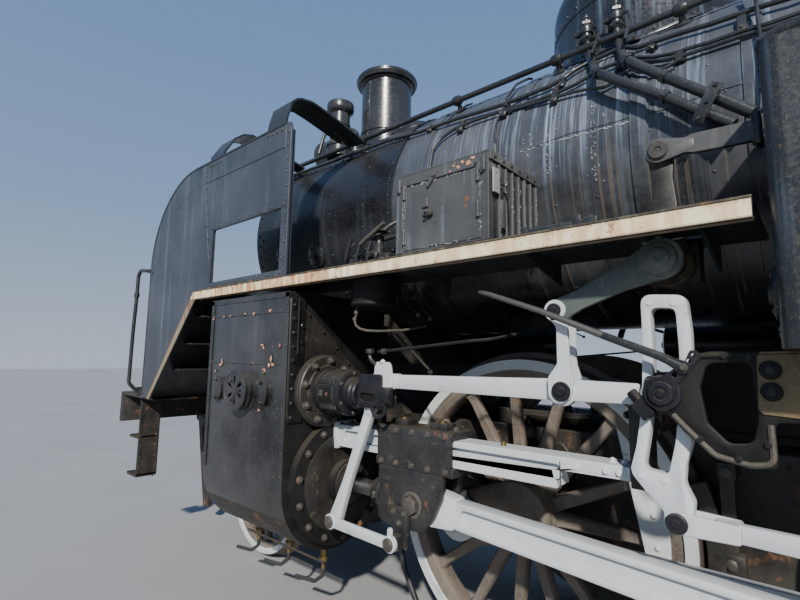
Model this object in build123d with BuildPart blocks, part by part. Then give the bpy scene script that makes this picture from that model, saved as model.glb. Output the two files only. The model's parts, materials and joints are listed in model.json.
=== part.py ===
from build123d import *
from math import sin, cos, tan, radians, hypot, sqrt
import os

# Side-tank steam locomotive, 2-6-4 wheel arrangement, 1067 mm gauge.
# Millimetres. +X is forward, +Y is the left side, +Z is up.
# z = 0 is the bottom of the wheel flanges; the origin is under the middle of the whole length.

os.makedirs("parts", exist_ok=True)

# ------------------------------------------------------------------ driving dimensions
LENGTH = 12650.0            # over coupler faces
D1 = 2425.0                 # x of the first driving axle
DRIVER_PITCH = 1900.0
D2, D3 = D1 - DRIVER_PITCH, D1 - 2 * DRIVER_PITCH
LEAD_X = D1 + 2200.0        # leading axle
TRAIL1_X, TRAIL2_X = D1 - 5700.0, D1 - 7400.0
FLANGE = 28.0
DRIVER_R, SMALL_R = 760.0, 430.0
DRIVER_Z, SMALL_Z = DRIVER_R + FLANGE, SMALL_R + FLANGE
TYRE_IN, TYRE_OUT = 495.0, 625.0        # |y| of the tyre's inner and outer face
BOSS_OUT = 680.0                        # |y| of the crank boss face

CRANK = 305.0               # half the piston stroke
CRANK_LEFT = 11.0           # degrees the left crank stands below the forward horizontal
CRANK_RIGHT = 101.0         # the right crank leads by a quarter turn
PIN_R = 55.0
DRIVER_AXLE_R, SMALL_AXLE_R = 90.0, 66.0
SEAT = 0.25                 # axles and crank pins are pieces of their own, this far inside their seats

FRAME_IN, FRAME_OUT = 380.0, 440.0      # |y| of the frame plates

BOILER_Z = 2486.0
SMOKEBOX_R, BARREL_R = 780.0, 770.0
SMOKEBOX_FRONT = D1 + 2240.0
SMOKEBOX_REAR = D1 + 765.0
BARREL_REAR = D1 - 4482.0

CYL_Y, CYL_Z = 970.0, 850.0             # cylinder axis
CYL_X0, CYL_X1 = D1 + 964.0, D1 + 1794.0
JACKET_R = 370.0
JACKET_TOP = 1884.0
VALVE_Y, VALVE_Z = 1110.0, 1351.0       # steam chest axis

DECK_Z = 1971.0             # top of the running board
DECK_EDGE = 58.0            # depth of its edge angle
DECK_Y = 1340.0             # |y| of its outer edge
BOARD_REAR = D1 - 1047.0
KNEE_X = D1 + 2080.0        # where the board turns down
FOOT_X, PILOT_Z = D1 + 2737.0, 1199.0   # foot of the slope, and the pilot deck

TANK_FRONT, TANK_REAR = D1 - 1085.0, D1 - 4440.0
TANK_BOTTOM, TANK_TOP = 1570.0, 2375.0
SIDE_Y = 1400.0             # |y| of tanks, cab and bunker

CAB_FRONT, CAB_REAR = D1 - 4450.0, D1 - 6450.0
CAB_FLOOR = 1500.0
CAB_BOTTOM = 1440.0
EAVES = 3120.0
ROOF_RISE = 430.0
WALL = 30.0
BUNKER_REAR = D1 - 8180.0
BUNKER_TOP = 2760.0

FRONT_BEAM, REAR_BEAM = D1 + 3500.0, D1 - 8350.0
COUPLER_Z = 908.0

# ------------------------------------------------------------------ shape helpers
def slab_y(points, y0, y1, mode=Mode.ADD):
    """Closed outline of (x, z) points, between y0 and y1."""
    lo, hi = min(y0, y1), max(y0, y1)
    with BuildSketch(Plane.XZ.offset(-hi)) as outline:
        with BuildLine():
            Polyline(*points, close=True)
        make_face()
    extrude(outline.sketch, amount=hi - lo, mode=mode)


def slab_x(points, x0, x1, mode=Mode.ADD):
    """Closed outline of (y, z) points, between x0 and x1."""
    lo, hi = min(x0, x1), max(x0, x1)
    with BuildSketch(Plane.YZ.offset(lo)) as outline:
        with BuildLine():
            Polyline(*points, close=True)
        make_face()
    extrude(outline.sketch, amount=hi - lo, mode=mode)


def slab_z(points, z0, z1, mode=Mode.ADD):
    """Closed outline of (x, y) points, between z0 and z1."""
    with BuildSketch(Plane.XY.offset(z0)) as outline:
        with BuildLine():
            Polyline(*points, close=True)
        make_face()
    extrude(outline.sketch, amount=z1 - z0, mode=mode)


def block(x0, x1, y0, y1, z0, z1, mode=Mode.ADD):
    with Locations(((x0 + x1) / 2, (y0 + y1) / 2, (z0 + z1) / 2)):
        Box(abs(x1 - x0), abs(y1 - y0), abs(z1 - z0), mode=mode)


def rod_x(y, z, r, x0, x1, mode=Mode.ADD):
    with Locations(Location(((x0 + x1) / 2, y, z), (0, 90, 0))):
        Cylinder(r, abs(x1 - x0), mode=mode)


def rod_y(x, z, r, y0, y1, mode=Mode.ADD):
    with Locations(Location((x, (y0 + y1) / 2, z), (90, 0, 0))):
        Cylinder(r, abs(y1 - y0), mode=mode)


def rod_z(x, y, r, z0, z1, mode=Mode.ADD):
    with Locations(Location((x, y, (z0 + z1) / 2))):
        Cylinder(r, abs(z1 - z0), mode=mode)


def bar_y(a, b, half, y0, y1, mode=Mode.ADD):
    """Flat bar between two (x, z) centres, its edges half away from the centre line."""
    dx, dz = b[0] - a[0], b[1] - a[1]
    n = hypot(dx, dz)
    nx, nz = -dz / n * half, dx / n * half
    slab_y([(a[0] + nx, a[1] + nz), (b[0] + nx, b[1] + nz),
            (b[0] - nx, b[1] - nz), (a[0] - nx, a[1] - nz)], y0, y1, mode)


def taper_y(a, ra, b, rb, y0, y1, mode=Mode.ADD):
    """Plate around two (x, z) circles: their outer tangents and both ends."""
    lo, hi = min(y0, y1), max(y0, y1)
    with BuildSketch(Plane.XZ.offset(-hi)) as outline:
        with Locations(a):
            Circle(ra)
        with Locations(b):
            Circle(rb)
        make_hull()
    extrude(outline.sketch, amount=hi - lo, mode=mode)


def done(builder, label):
    builder.part.label = label
    export_step(builder.part, "parts/" + label + ".step")


def crank_point(axle_x, angle):
    """Crank pin centre (x, z); the angle runs from forward towards down."""
    return (axle_x + CRANK * cos(radians(angle)), DRIVER_Z - CRANK * sin(radians(angle)))


# ------------------------------------------------------------------ wheelsets
def wheel(axle_x, axle_z, tread_r, side, hub_r, spokes, spoke_w, rim_in):
    """One spoked wheel. The tyre's section is turned about the axle, the flange on the inside."""
    y_in, y_out = side * TYRE_IN, side * TYRE_OUT
    plane = Plane(origin=(axle_x, 0, axle_z), x_dir=(0, side, 0), z_dir=(side, 0, 0))
    # section in (distance out from the middle, radius)
    with BuildSketch(plane) as section:
        with BuildLine():
            Polyline((TYRE_IN, rim_in), (TYRE_OUT, rim_in), (TYRE_OUT, tread_r - 5),
                     (TYRE_IN + 36, tread_r), (TYRE_IN + 26, tread_r + 22), (TYRE_IN + 18, tread_r + FLANGE),
                     (TYRE_IN + 6, tread_r + FLANGE - 3), (TYRE_IN, tread_r + FLANGE - 12), close=True)
        make_face()
    revolve(section.sketch, axis=Axis((axle_x, 0, axle_z), (0, 1, 0)))
    rod_y(axle_x, axle_z, hub_r, side * (TYRE_IN - 15), side * (TYRE_OUT + 15))
    mid = (hub_r + rim_in) / 2
    length = rim_in - hub_r + 30
    y_mid = side * (TYRE_IN + 62)
    for i in range(spokes):
        a = 360.0 * i / spokes + 180.0 / spokes
        with Locations(Location((axle_x + mid * cos(radians(a)), y_mid, axle_z - mid * sin(radians(a))), (0, a, 0))):
            Box(length, 62, spoke_w)


def driver_half(axle_x, side, angle, weight_half, pin_out):
    """A driving wheel with its crank boss, pin and balance weight."""
    wheel(axle_x, DRIVER_Z, DRIVER_R, side, 165.0, 15, 58.0, 640.0)
    pin = crank_point(axle_x, angle)
    taper_y((axle_x, DRIVER_Z), 165.0, pin, 125.0, side * (TYRE_IN + 40), side * BOSS_OUT)
    # balance weight: a segment of the rim opposite the crank, its ends a given half angle away
    w = radians(angle + 180.0)
    half = radians(weight_half)
    n = 8
    arc = [(axle_x + 645.0 * cos(w - half + 2 * half * k / n), DRIVER_Z - 645.0 * sin(w - half + 2 * half * k / n))
           for k in range(n + 1)]
    slab_y(arc, side * (TYRE_IN + 14), side * (TYRE_OUT - 6))
    # seats of the crank pin and of the axle, then the pin
    rod_y(pin[0], pin[1], PIN_R + SEAT, side * (TYRE_IN + 60), side * (BOSS_OUT + 5), Mode.SUBTRACT)
    rod_y(axle_x, DRIVER_Z, DRIVER_AXLE_R + SEAT, side * (TYRE_IN - 30), side * (BOSS_OUT + 5), Mode.SUBTRACT)
    rod_y(pin[0], pin[1], PIN_R, side * (TYRE_IN + 61), side * pin_out)


# name, axle x, half angle of the balance weight, how far the crank pin reaches out
driver_table = (
    ("wheelset_driver_1", D1, 40.0, 770.0),
    ("wheelset_driver_2", D2, 52.0, 915.0),
    ("wheelset_driver_3", D3, 40.0, 770.0),
)
for name, axle_x, weight_half, pin_out in driver_table:
    with BuildPart() as wheelset:
        for side, angle in ((1, CRANK_LEFT), (-1, CRANK_RIGHT)):
            driver_half(axle_x, side, angle, weight_half, pin_out)
        rod_y(axle_x, DRIVER_Z, DRIVER_AXLE_R, -BOSS_OUT + 1, BOSS_OUT - 1)
    done(wheelset, name)

# name, axle x
small_table = (
    ("wheelset_lead", LEAD_X),
    ("wheelset_trail_1", TRAIL1_X),
    ("wheelset_trail_2", TRAIL2_X),
)
for name, axle_x in small_table:
    with BuildPart() as wheelset:
        for side in (1, -1):
            wheel(axle_x, SMALL_Z, SMALL_R, side, 115.0, 10, 48.0, 350.0)
        rod_y(axle_x, SMALL_Z, SMALL_AXLE_R + SEAT, -TYRE_OUT - 30, TYRE_OUT + 30, Mode.SUBTRACT)
        rod_y(axle_x, SMALL_Z, SMALL_AXLE_R, -TYRE_OUT - 30, TYRE_OUT + 30)
    done(wheelset, name)

# ------------------------------------------------------------------ coupling rods
ROD_IN, ROD_OUT = 690.0, 750.0
for name, side, angle in (("coupling_rod_left", 1, CRANK_LEFT), ("coupling_rod_right", -1, CRANK_RIGHT)):
    with BuildPart() as rod:
        pins = [crank_point(x, angle) for x in (D1, D2, D3)]
        bar_y(pins[0], pins[2], 52.0, side * (ROD_IN + 6), side * (ROD_OUT - 6))
        for (px, pz), r in zip(pins, (108.0, 122.0, 108.0)):
            rod_y(px, pz, r, side * ROD_IN, side * ROD_OUT)
        for (px, pz) in pins:
            # oil cup on each eye
            rod_z(px, side * (ROD_IN + ROD_OUT) / 2, 22.0, pz + 95.0, pz + 150.0)
        # long flute down the outer face of each half
        for a, b in ((pins[0], pins[1]), (pins[1], pins[2])):
            bar_y((a[0] - 190, a[1]), (b[0] + 190, b[1]), 28.0, side * (ROD_OUT - 24), side * (ROD_OUT + 2), Mode.SUBTRACT)
        for (px, pz) in pins:
            rod_y(px, pz, PIN_R + 0.08, side * (ROD_IN - 5), side * (ROD_OUT + 5), Mode.SUBTRACT)
    done(rod, name)

# ------------------------------------------------------------------ crossheads, main rods
MAIN_IN, MAIN_OUT = CYL_Y - 45.0, CYL_Y + 45.0
BAR_HALF = 62.0             # half width of the slide bar
BAR_TOP, BAR_BOTTOM = 1167.0, 1048.0
MAIN_LENGTH = 1946.0
GUDGEON_LEFT = D1 + 345.0


def gudgeon_x(angle):
    px, pz = crank_point(D2, angle)
    return px + sqrt(MAIN_LENGTH ** 2 - (CYL_Z - pz) ** 2)


GX = {1: gudgeon_x(CRANK_LEFT), -1: gudgeon_x(CRANK_RIGHT)}
MID_X = D2 + sqrt(MAIN_LENGTH ** 2 - (CYL_Z - DRIVER_Z) ** 2)
PISTON_ROD_R = 40.0
UNION_Z = 688.0             # height of the union link
LEVER_IN, LEVER_OUT = 1092.0, 1128.0
LEVER_TOP = (D1 + 505.0, 1418.0)
LEVER_LENGTH = 779.0


def lever_foot(side):
    """Foot of the combination lever: it stands upright at mid stroke."""
    dx = GX[side] - MID_X
    return (LEVER_TOP[0] + dx, LEVER_TOP[1] - sqrt(LEVER_LENGTH ** 2 - dx ** 2))


for name, side, angle in (("main_rod_left", 1, CRANK_LEFT), ("main_rod_right", -1, CRANK_RIGHT)):
    with BuildPart() as rod:
        front = (GX[side], CYL_Z)
        rear = crank_point(D2, angle)
        ux, uz = (front[0] - rear[0]) / MAIN_LENGTH, (front[1] - rear[1]) / MAIN_LENGTH
        at = lambda s: (rear[0] + ux * s, rear[1] + uz * s)
        n = (-uz, ux)
        off = lambda p, d: (p[0] + n[0] * d, p[1] + n[1] * d)
        # shank: deeper at the big end
        s0, s1, d0, d1 = 60.0, MAIN_LENGTH - 40.0, 66.0, 56.0
        slab_y([off(at(s0), d0), off(at(s1), d1), off(at(s1), -d1), off(at(s0), -d0)], side * (MAIN_IN + 8), side * (MAIN_OUT - 8))
        # strap-type big end with its cotter block, and the small end
        slab_y([off(at(-150), 118), off(at(210), 118), off(at(260), 80), off(at(260), -80), off(at(210), -118), off(at(-150), -118)],
               side * MAIN_IN, side * MAIN_OUT)
        rod_y(front[0], front[1], 88.0, side * MAIN_IN, side * MAIN_OUT)
        slab_y([off(at(MAIN_LENGTH - 200), 74), off(at(MAIN_LENGTH), 86), off(at(MAIN_LENGTH), -86), off(at(MAIN_LENGTH - 200), -74)],
               side * MAIN_IN, side * MAIN_OUT)
        # flutes on both faces
        for y0, y1 in ((MAIN_OUT - 32, MAIN_OUT), (MAIN_IN, MAIN_IN + 32)):
            slab_y([off(at(330), 38), off(at(MAIN_LENGTH - 260), 30), off(at(MAIN_LENGTH - 260), -30), off(at(330), -38)],
                   side * y0, side * y1, Mode.SUBTRACT)
        # bearing cap over the crank pin's end
        rod_y(rear[0], rear[1], 84.0, side * (MAIN_OUT - 2), side * (MAIN_OUT + 14))
        rod_y(front[0], front[1], 45.1, side * (MAIN_IN - 5), side * (MAIN_OUT + 5), Mode.SUBTRACT)
    done(rod, name)

for name, side in (("crosshead_left", 1), ("crosshead_right", -1)):
    with BuildPart() as crosshead:
        gx = GX[side]
        y_in, y_out = CYL_Y - 90.0, CYL_Y + 88.0
        gap = 2.0
        # slipper box around the slide bar
        block(gx - 235, gx + 235, side * (CYL_Y - BAR_HALF - 26), side * (CYL_Y + BAR_HALF + 26), BAR_BOTTOM - 42, BAR_TOP + 34)
        block(gx - 240, gx + 240, side * (CYL_Y - BAR_HALF - gap), side * (CYL_Y + BAR_HALF + gap),
              BAR_BOTTOM - gap, BAR_TOP + gap, Mode.SUBTRACT)
        # two cheeks down to the gudgeon pin
        for y0, y1 in ((CYL_Y - 84, MAIN_IN - 5), (MAIN_OUT + 5, CYL_Y + 84)):
            slab_y([(gx - 170, BAR_BOTTOM - 20), (gx + 190, BAR_BOTTOM - 20), (gx + 190, CYL_Z - 110), (gx - 60, CYL_Z - 110), (gx - 150, CYL_Z)],
                   side * y0, side * y1)
        rod_y(gx, CYL_Z, 45.0, side * (CYL_Y - 84), side * (CYL_Y + 88))
        # front block that takes the piston rod
        block(gx + 125, gx + 225, side * (CYL_Y - 84), side * (CYL_Y + 84), CYL_Z - 100, BAR_BOTTOM - 20)
        rod_x(side * CYL_Y, CYL_Z, 68.0, gx + 220, gx + 300)
        rod_x(side * CYL_Y, CYL_Z, PISTON_ROD_R, gx + 280, gx + 1300)
        # drop arm and union link to the combination lever's foot
        arm_x = gx + 50.0
        block(arm_x - 38, arm_x + 38, side * (CYL_Y + 70), side * 1090, UNION_Z - 40, CYL_Z - 20)
        block(arm_x - 30, arm_x + 30, side * 1085, side * 1140, UNION_Z - 30, UNION_Z + 44)
        foot = lever_foot(side)
        bar_y((arm_x, UNION_Z), foot, 24.0, side * 1134, side * 1152)
        for p in ((arm_x, UNION_Z), foot):
            rod_y(p[0], p[1], 38.0, side * 1133, side * 1158)
    done(crosshead, name)

for name, side in (("combination_lever_left", 1), ("combination_lever_right", -1)):
    with BuildPart() as lever:
        foot = lever_foot(side)
        taper_y(LEVER_TOP, 34.0, foot, 34.0, side * LEVER_IN, side * LEVER_OUT)
        rod_y(LEVER_TOP[0], LEVER_TOP[1], 18.08, side * (LEVER_IN - 5), side * (LEVER_OUT + 5), Mode.SUBTRACT)
        rod_y(foot[0], foot[1], 18.0, side * (LEVER_IN - 5), side * (LEVER_OUT + 5), Mode.SUBTRACT)
    done(lever, name)

# ------------------------------------------------------------------ main frame
PONY_PIVOT_X = D1 + 1020.0
with BuildPart() as main_frame:
    # outline of one plate (x, z): deep between the drivers, raised over the trucks
    outline = [
        (FRONT_BEAM - 60, 1187), (D1 + 2280, 1187), (D1 + 1850, 1300), (D1 + 1000, 1300), (D1 + 900, 1180),
        (D3 - 500, 1180), (D3 - 800, 1360), (REAR_BEAM + 60, 1360), (REAR_BEAM + 60, 1010), (TRAIL2_X, 950),
        (TRAIL1_X, 950), (D3 - 1150, 950), (D3 - 850, 560), (D1 + 700, 560), (D1 + 1500, 620),
        (D1 + 1700, 950), (D1 + 2700, 950), (FRONT_BEAM - 60, 1000),
    ]
    for side in (1, -1):
        slab_y(outline, side * FRAME_IN, side * FRAME_OUT)
    # cross members: x, half length in x, z low, z high
    for x, hx, z0, z1 in (
        (FRONT_BEAM - 480, 40, 1020, 1180), (D1 + 2650, 40, 980, 1180), (D1 + 1700, 40, 1000, 1180), (D1 + 780, 40, 700, 1170),
        (D1 - 350, 30, 620, 1170), (D1 - 1250, 30, 620, 1170), (D2 - 350, 30, 620, 1000),
        (D3 - 420, 30, 640, 1170), (D3 - 1300, 40, 980, 1350), (TRAIL1_X - 850, 240, 980, 1350),
        (TRAIL2_X - 420, 40, 980, 1350),
    ):
        block(x - hx, x + hx, -FRAME_IN - 5, FRAME_IN + 5, z0, z1)
    # cross member that carries the leading truck's pin
    block(PONY_PIVOT_X - 160, PONY_PIVOT_X + 110, -FRAME_IN - 5, FRAME_IN + 5, 600, 700)
    rod_z(PONY_PIVOT_X, 0, 35.4, 380, 620)
    rod_z(PONY_PIVOT_X, 0, 60, 365, 392)
    # top plate over the trailing truck
    block(REAR_BEAM + 60, D3 - 900, -FRAME_OUT, FRAME_OUT, 1345, 1360)
    for x in (D1, D2, D3):
        rod_y(x, DRIVER_Z, 93.0, -500, 500, Mode.SUBTRACT)
    # clearance in the middle of the cross members for the leading truck's pin and the trailing truck's centre
    rod_z(TRAIL1_X - 850, 0, 70.5, 900, 1250, Mode.SUBTRACT)
done(main_frame, "main_frame")

with BuildPart() as front_beam:
    block(FRONT_BEAM - 50, FRONT_BEAM, -1250, 1250, 960, 1210)
    # pilot deck behind the beam
    slab_z([(FRONT_BEAM - 50, -1250), (FRONT_BEAM - 50, 1250), (FOOT_X - 30, 1300), (FOOT_X - 30, 520),
            (D1 + 2300, 520), (D1 + 2300, -520), (FOOT_X - 30, -520), (FOOT_X - 30, -1300)], PILOT_Z - 12, PILOT_Z)
    # draft gear box under the beam
    block(FRONT_BEAM - 420, FRONT_BEAM - 45, -130, 130, COUPLER_Z - 110, COUPLER_Z + 110)
    block(FRONT_BEAM - 400, FRONT_BEAM - 60, -60, 60, COUPLER_Z + 100, PILOT_Z - 5)
    # guard irons in front of the leading wheels, clear of the swinging wheels
    for side in (1, -1):
        slab_y([(FRONT_BEAM - 5, 975), (FRONT_BEAM - 160, 975), (FRONT_BEAM - 300, 150), (FRONT_BEAM - 210, 150)],
               side * 505, side * 545)
        # step at each corner
        block(FRONT_BEAM - 420, FRONT_BEAM - 408, side * 1080, side * 1240, 560, 1195)
        block(FRONT_BEAM - 420, FRONT_BEAM - 230, side * 1080, side * 1240, 548, 562)
        block(FRONT_BEAM - 420, FRONT_BEAM - 230, side * 1080, side * 1240, 850, 862)
done(front_beam, "front_beam")

with BuildPart() as rear_beam:
    block(REAR_BEAM, REAR_BEAM + 50, -1250, 1250, 1000, 1380)
    block(REAR_BEAM + 45, REAR_BEAM + 420, -130, 130, COUPLER_Z - 110, COUPLER_Z + 110)
    block(REAR_BEAM + 60, REAR_BEAM + 400, -60, 60, COUPLER_Z + 100, 1340)
    for side in (1, -1):
        block(REAR_BEAM + 130, REAR_BEAM + 142, side * 1080, side * 1240, 560, 1370)
        block(REAR_BEAM + 20, REAR_BEAM + 142, side * 1080, side * 1240, 548, 562)
        block(REAR_BEAM + 20, REAR_BEAM + 142, side * 1080, side * 1240, 850, 862)
        block(REAR_BEAM + 20, REAR_BEAM + 142, side * 1080, side * 1240, 1358, 1370)
done(rear_beam, "rear_beam")

# ------------------------------------------------------------------ couplers
for tag, sx, face in (("front", 1, FRONT_BEAM), ("rear", -1, REAR_BEAM)):
    end = sx * LENGTH / 2
    with BuildPart() as coupler:
        block(face + sx * 4, end - sx * 245, -75, 75, COUPLER_Z - 75, COUPLER_Z + 75)
        # head with its guard arm on one side; the mouth faces outward
        head = [(end - sx * 260, -115), (end - sx * 260, 130), (end - sx * 190, 190), (end - sx * 20, 215),
                (end - sx * 8, 170), (end - sx * 110, 120), (end - sx * 140, 20), (end - sx * 160, -60), (end - sx * 175, -115)]
        slab_z([(x, sx * y) for x, y in head], COUPLER_Z - 130, COUPLER_Z + 130)
    done(coupler, tag + "_coupler")
    with BuildPart() as knuckle:
        # the knuckle turns on an upright pin at the head's other side
        outline = [(end - sx * 168, -120), (end - sx * 168, -190), (end - sx * 40, -190), (end, -150), (end, -60),
                   (end - sx * 55, -35), (end - sx * 80, -60), (end - sx * 80, -112)]
        slab_z([(x, sx * y) for x, y in outline], COUPLER_Z - 115, COUPLER_Z + 115)
        rod_z(end - sx * 120, -sx * 152, 24, COUPLER_Z - 150, COUPLER_Z + 150)
    done(knuckle, tag + "_knuckle")

# ------------------------------------------------------------------ cylinders and saddle
with BuildPart() as cylinders:
    for side in (1, -1):
        # jacket section: flat outer face, round belly under the cylinder
        with BuildSketch(Plane.YZ.offset(CYL_X0)):
            with BuildLine():
                Polyline((side * (CYL_Y - JACKET_R), CYL_Z), (side * (CYL_Y - JACKET_R), JACKET_TOP),
                              (side * DECK_Y, JACKET_TOP), (side * DECK_Y, CYL_Z))
                ThreePointArc((side * DECK_Y, CYL_Z), (side * CYL_Y, CYL_Z - JACKET_R), (side * (CYL_Y - JACKET_R), CYL_Z))
            make_face()
        extrude(amount=CYL_X1 - CYL_X0)
        # rear flange, cylinder cover and gland
        rod_x(side * CYL_Y, CYL_Z, 335, CYL_X0 - 45, CYL_X0 + 10)
        rod_x(side * CYL_Y, CYL_Z, 120, CYL_X0 - 110, CYL_X0 - 40)
        rod_x(side * CYL_Y, CYL_Z, 300, CYL_X1 - 10, CYL_X1 + 40)
        # steam chest flange, spindle guide and its two guide plates
        rod_x(side * VALVE_Y, VALVE_Z, 190, CYL_X0 - 55, CYL_X0 + 10)
        rod_x(side * VALVE_Y, VALVE_Z, 112, CYL_X0 - 250, CYL_X0 - 50)
        for y0, y1 in ((1070, 1086), (1134, 1150)):
            block(D1 + 430, CYL_X0 - 240, side * y0, side * y1, 1288, 1379)
        rod_x(side * VALVE_Y, VALVE_Z, 170, CYL_X1 - 10, CYL_X1 + 60)
        rod_x(side * CYL_Y, CYL_Z, PISTON_ROD_R + 1.0, CYL_X0 - 200, CYL_X1 - 60, Mode.SUBTRACT)
    # saddle between the frames, up to the smokebox
    block(CYL_X0 + 60, CYL_X1 - 60, -(CYL_Y - JACKET_R + 10), CYL_Y - JACKET_R + 10, 1310, 1500)
    block(CYL_X0 + 120, CYL_X1 - 120, -430, 430, 1490, 1860)
    rod_x(0, BOILER_Z, SMOKEBOX_R + 0.3, CYL_X0 - 50, CYL_X1 + 50, Mode.SUBTRACT)
    # scoop for the swing of the leading wheels
    for side in (1, -1):
        rod_y(LEAD_X, SMALL_Z, 493, side * 590, side * 760, Mode.SUBTRACT)
done(cylinders, "cylinders")

# ------------------------------------------------------------------ slide bars and the plate that carries them
YOKE_X = D1 - 640.0
with BuildPart() as slide_bars:
    for side in (1, -1):
        slab_y([(CYL_X0 - 46, BAR_TOP), (YOKE_X + 12, BAR_TOP), (YOKE_X + 12, 1118), (D1 - 345, 1118), (D1 - 362, BAR_BOTTOM),
                (CYL_X0 - 46, BAR_BOTTOM)], side * (CYL_Y - BAR_HALF), side * (CYL_Y + BAR_HALF))
        # flute along the outer face
        slab_y([(CYL_X0 - 120, BAR_TOP - 34), (D1 - 300, BAR_TOP - 34), (D1 - 320, BAR_BOTTOM + 34), (CYL_X0 - 120, BAR_BOTTOM + 34)],
               side * (CYL_Y + BAR_HALF - 22), side * (CYL_Y + BAR_HALF + 5), Mode.SUBTRACT)
done(slide_bars, "slide_bars")

with BuildPart() as motion_plate:
    for side in (1, -1):
        # beam from the frame out to the slide bar's end, over the first driving wheel's rear
        slab_x([(side * 442, 1100), (side * 442, 1380), (side * 1050, 1380), (side * 1050, 1100),
                (side * 880, 1100), (side * 880, 1265), (side * 488, 1265), (side * 488, 1100)],
               YOKE_X - 40, YOKE_X + 8)
done(motion_plate, "motion_plate")

# ------------------------------------------------------------------ valve gear held in mid gear
LINK_X, LINK_Z = D1 - 775.0, 1433.0
LINK_TILT = 4.6
GEAR_IN, GEAR_OUT = 1085.0, 1135.0


def link_point(u, v):
    """A point beside the link's middle: u forward, v up along the tilted link."""
    t = radians(LINK_TILT)
    return (LINK_X + u * cos(t) - v * sin(t), LINK_Z + u * sin(t) + v * cos(t))


with BuildPart() as expansion_links:
    for side in (1, -1):
        # curved slotted link: sections (height, bow, half width) from the foot up
        rows = [(-295, 26, 70), (-150, 8, 72), (0, 0, 72), (150, 8, 70), (282, 24, 66), (312, 30, 42)]
        front = [link_point(w + b, v) for v, b, w in rows]
        back = [link_point(-w + b, v) for v, b, w in reversed(rows)]
        slab_y(front + back, side * GEAR_IN, side * GEAR_OUT)
        inner_rows = [(-258, 20, 22), (-240, 18, 36), (-150, 8, 38), (0, 0, 38), (150, 8, 38), (252, 20, 36), (270, 22, 22)]
        slab_y([link_point(w + b, v) for v, b, w in inner_rows] + [link_point(-w + b, v) for v, b, w in reversed(inner_rows)],
               side * (GEAR_IN - 5), side * (GEAR_OUT + 5), Mode.SUBTRACT)
        # tail down to the eccentric rod
        slab_y([link_point(100, -290), link_point(-40, -290), (D1 - 830, 1046), (D1 - 790, 1005), (D1 - 750, 1046)],
               side * GEAR_IN, side * GEAR_OUT)
        # side plates with trunnions
        rod_y(LINK_X, LINK_Z, 62, side * (GEAR_OUT - 2), side * (GEAR_OUT + 14))
        rod_y(LINK_X, LINK_Z, 62, side * (GEAR_IN - 14), side * (GEAR_IN + 2))
        block(LINK_X - 60, LINK_X + 60, side * (GEAR_OUT - 1), side * (GEAR_OUT + 12), LINK_Z - 60, LINK_Z + 60)
        block(LINK_X - 60, LINK_X + 60, side * (GEAR_IN - 12), side * (GEAR_IN + 1), LINK_Z - 60, LINK_Z + 60)
done(expansion_links, "expansion_links")

with BuildPart() as radius_rods:
    for side in (1, -1):
        # body, with the fork at the front around the combination lever
        slab_y([(D1 + 450, 1388), (D1 + 450, 1455), (LINK_X + 92, 1452), (LINK_X + 92, 1388)], side * 1093, side * 1127)
        for y0, y1 in ((1072, 1087), (1133, 1148)):
            block(D1 + 395, D1 + 540, side * y0, side * y1, 1385, 1456)
        block(D1 + 395, D1 + 450, side * 1072, side * 1148, 1385, 1456)
        rod_y(LEVER_TOP[0], LEVER_TOP[1], 18.0, side * 1066, side * 1156)
        # lifting link eye
        rod_y(D1 - 428, 1421, 52, side * 1090, side * 1131)
done(radius_rods, "radius_rods")

ARM_X, ARM_Z = D1 - 776.0, 1873.0
with BuildPart() as lifting_arms:
    for side in (1, -1):
        pin = (D1 - 418.0, 1718.0)
        low = (D1 - 428.0, 1421.0)
        taper_y((ARM_X, ARM_Z), 68.0, pin, 44.0, side * 1104, side * 1136)
        rod_y(ARM_X, ARM_Z, 52, side * 960, side * 1150)
        # twin plates of the link that hangs on the arm
        taper_y(pin, 40.0, low, 40.0, side * 1137, side * 1152)
        taper_y(pin, 40.0, low, 40.0, side * 1068, side * 1083)
        rod_y(pin[0], pin[1], 22, side * 1064, side * 1166)
        rod_y(low[0], low[1], 22, side * 1132, side * 1166)
        rod_y(low[0], low[1], 22, side * 1064, side * 1089)
done(lifting_arms, "lifting_arms")

RETURN_PIN = (D2 + 20.0, 1022.0)
with BuildPart() as eccentric_rods:
    for side in (1, -1):
        foot = (D1 - 790.0, 1046.0)
        bar_y((foot[0] - 100, foot[1] - 2), RETURN_PIN, 24.0, side * 1093, side * 1127)
        rod_y(RETURN_PIN[0], RETURN_PIN[1], 58, side * 1085, side * 1135)
        # fork over the link's tail
        for y0, y1 in ((1068, 1084), (1136, 1152)):
            block(foot[0] - 150, foot[0] + 45, side * y0, side * y1, foot[1] - 38, foot[1] + 34)
        block(foot[0] - 150, foot[0] - 90, side * 1068, side * 1152, foot[1] - 38, foot[1] + 34)
        rod_y(foot[0], foot[1], 40, side * 1150, side * 1172)
        # return crank from the main crank pin to the rod's rear eye
        taper_y(crank_point(D2, CRANK_LEFT), 70.0, RETURN_PIN, 58.0, side * 1040, side * 1078)
        rod_y(RETURN_PIN[0], RETURN_PIN[1], 30, side * 1070, side * 1090)
done(eccentric_rods, "eccentric_rods")

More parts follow.
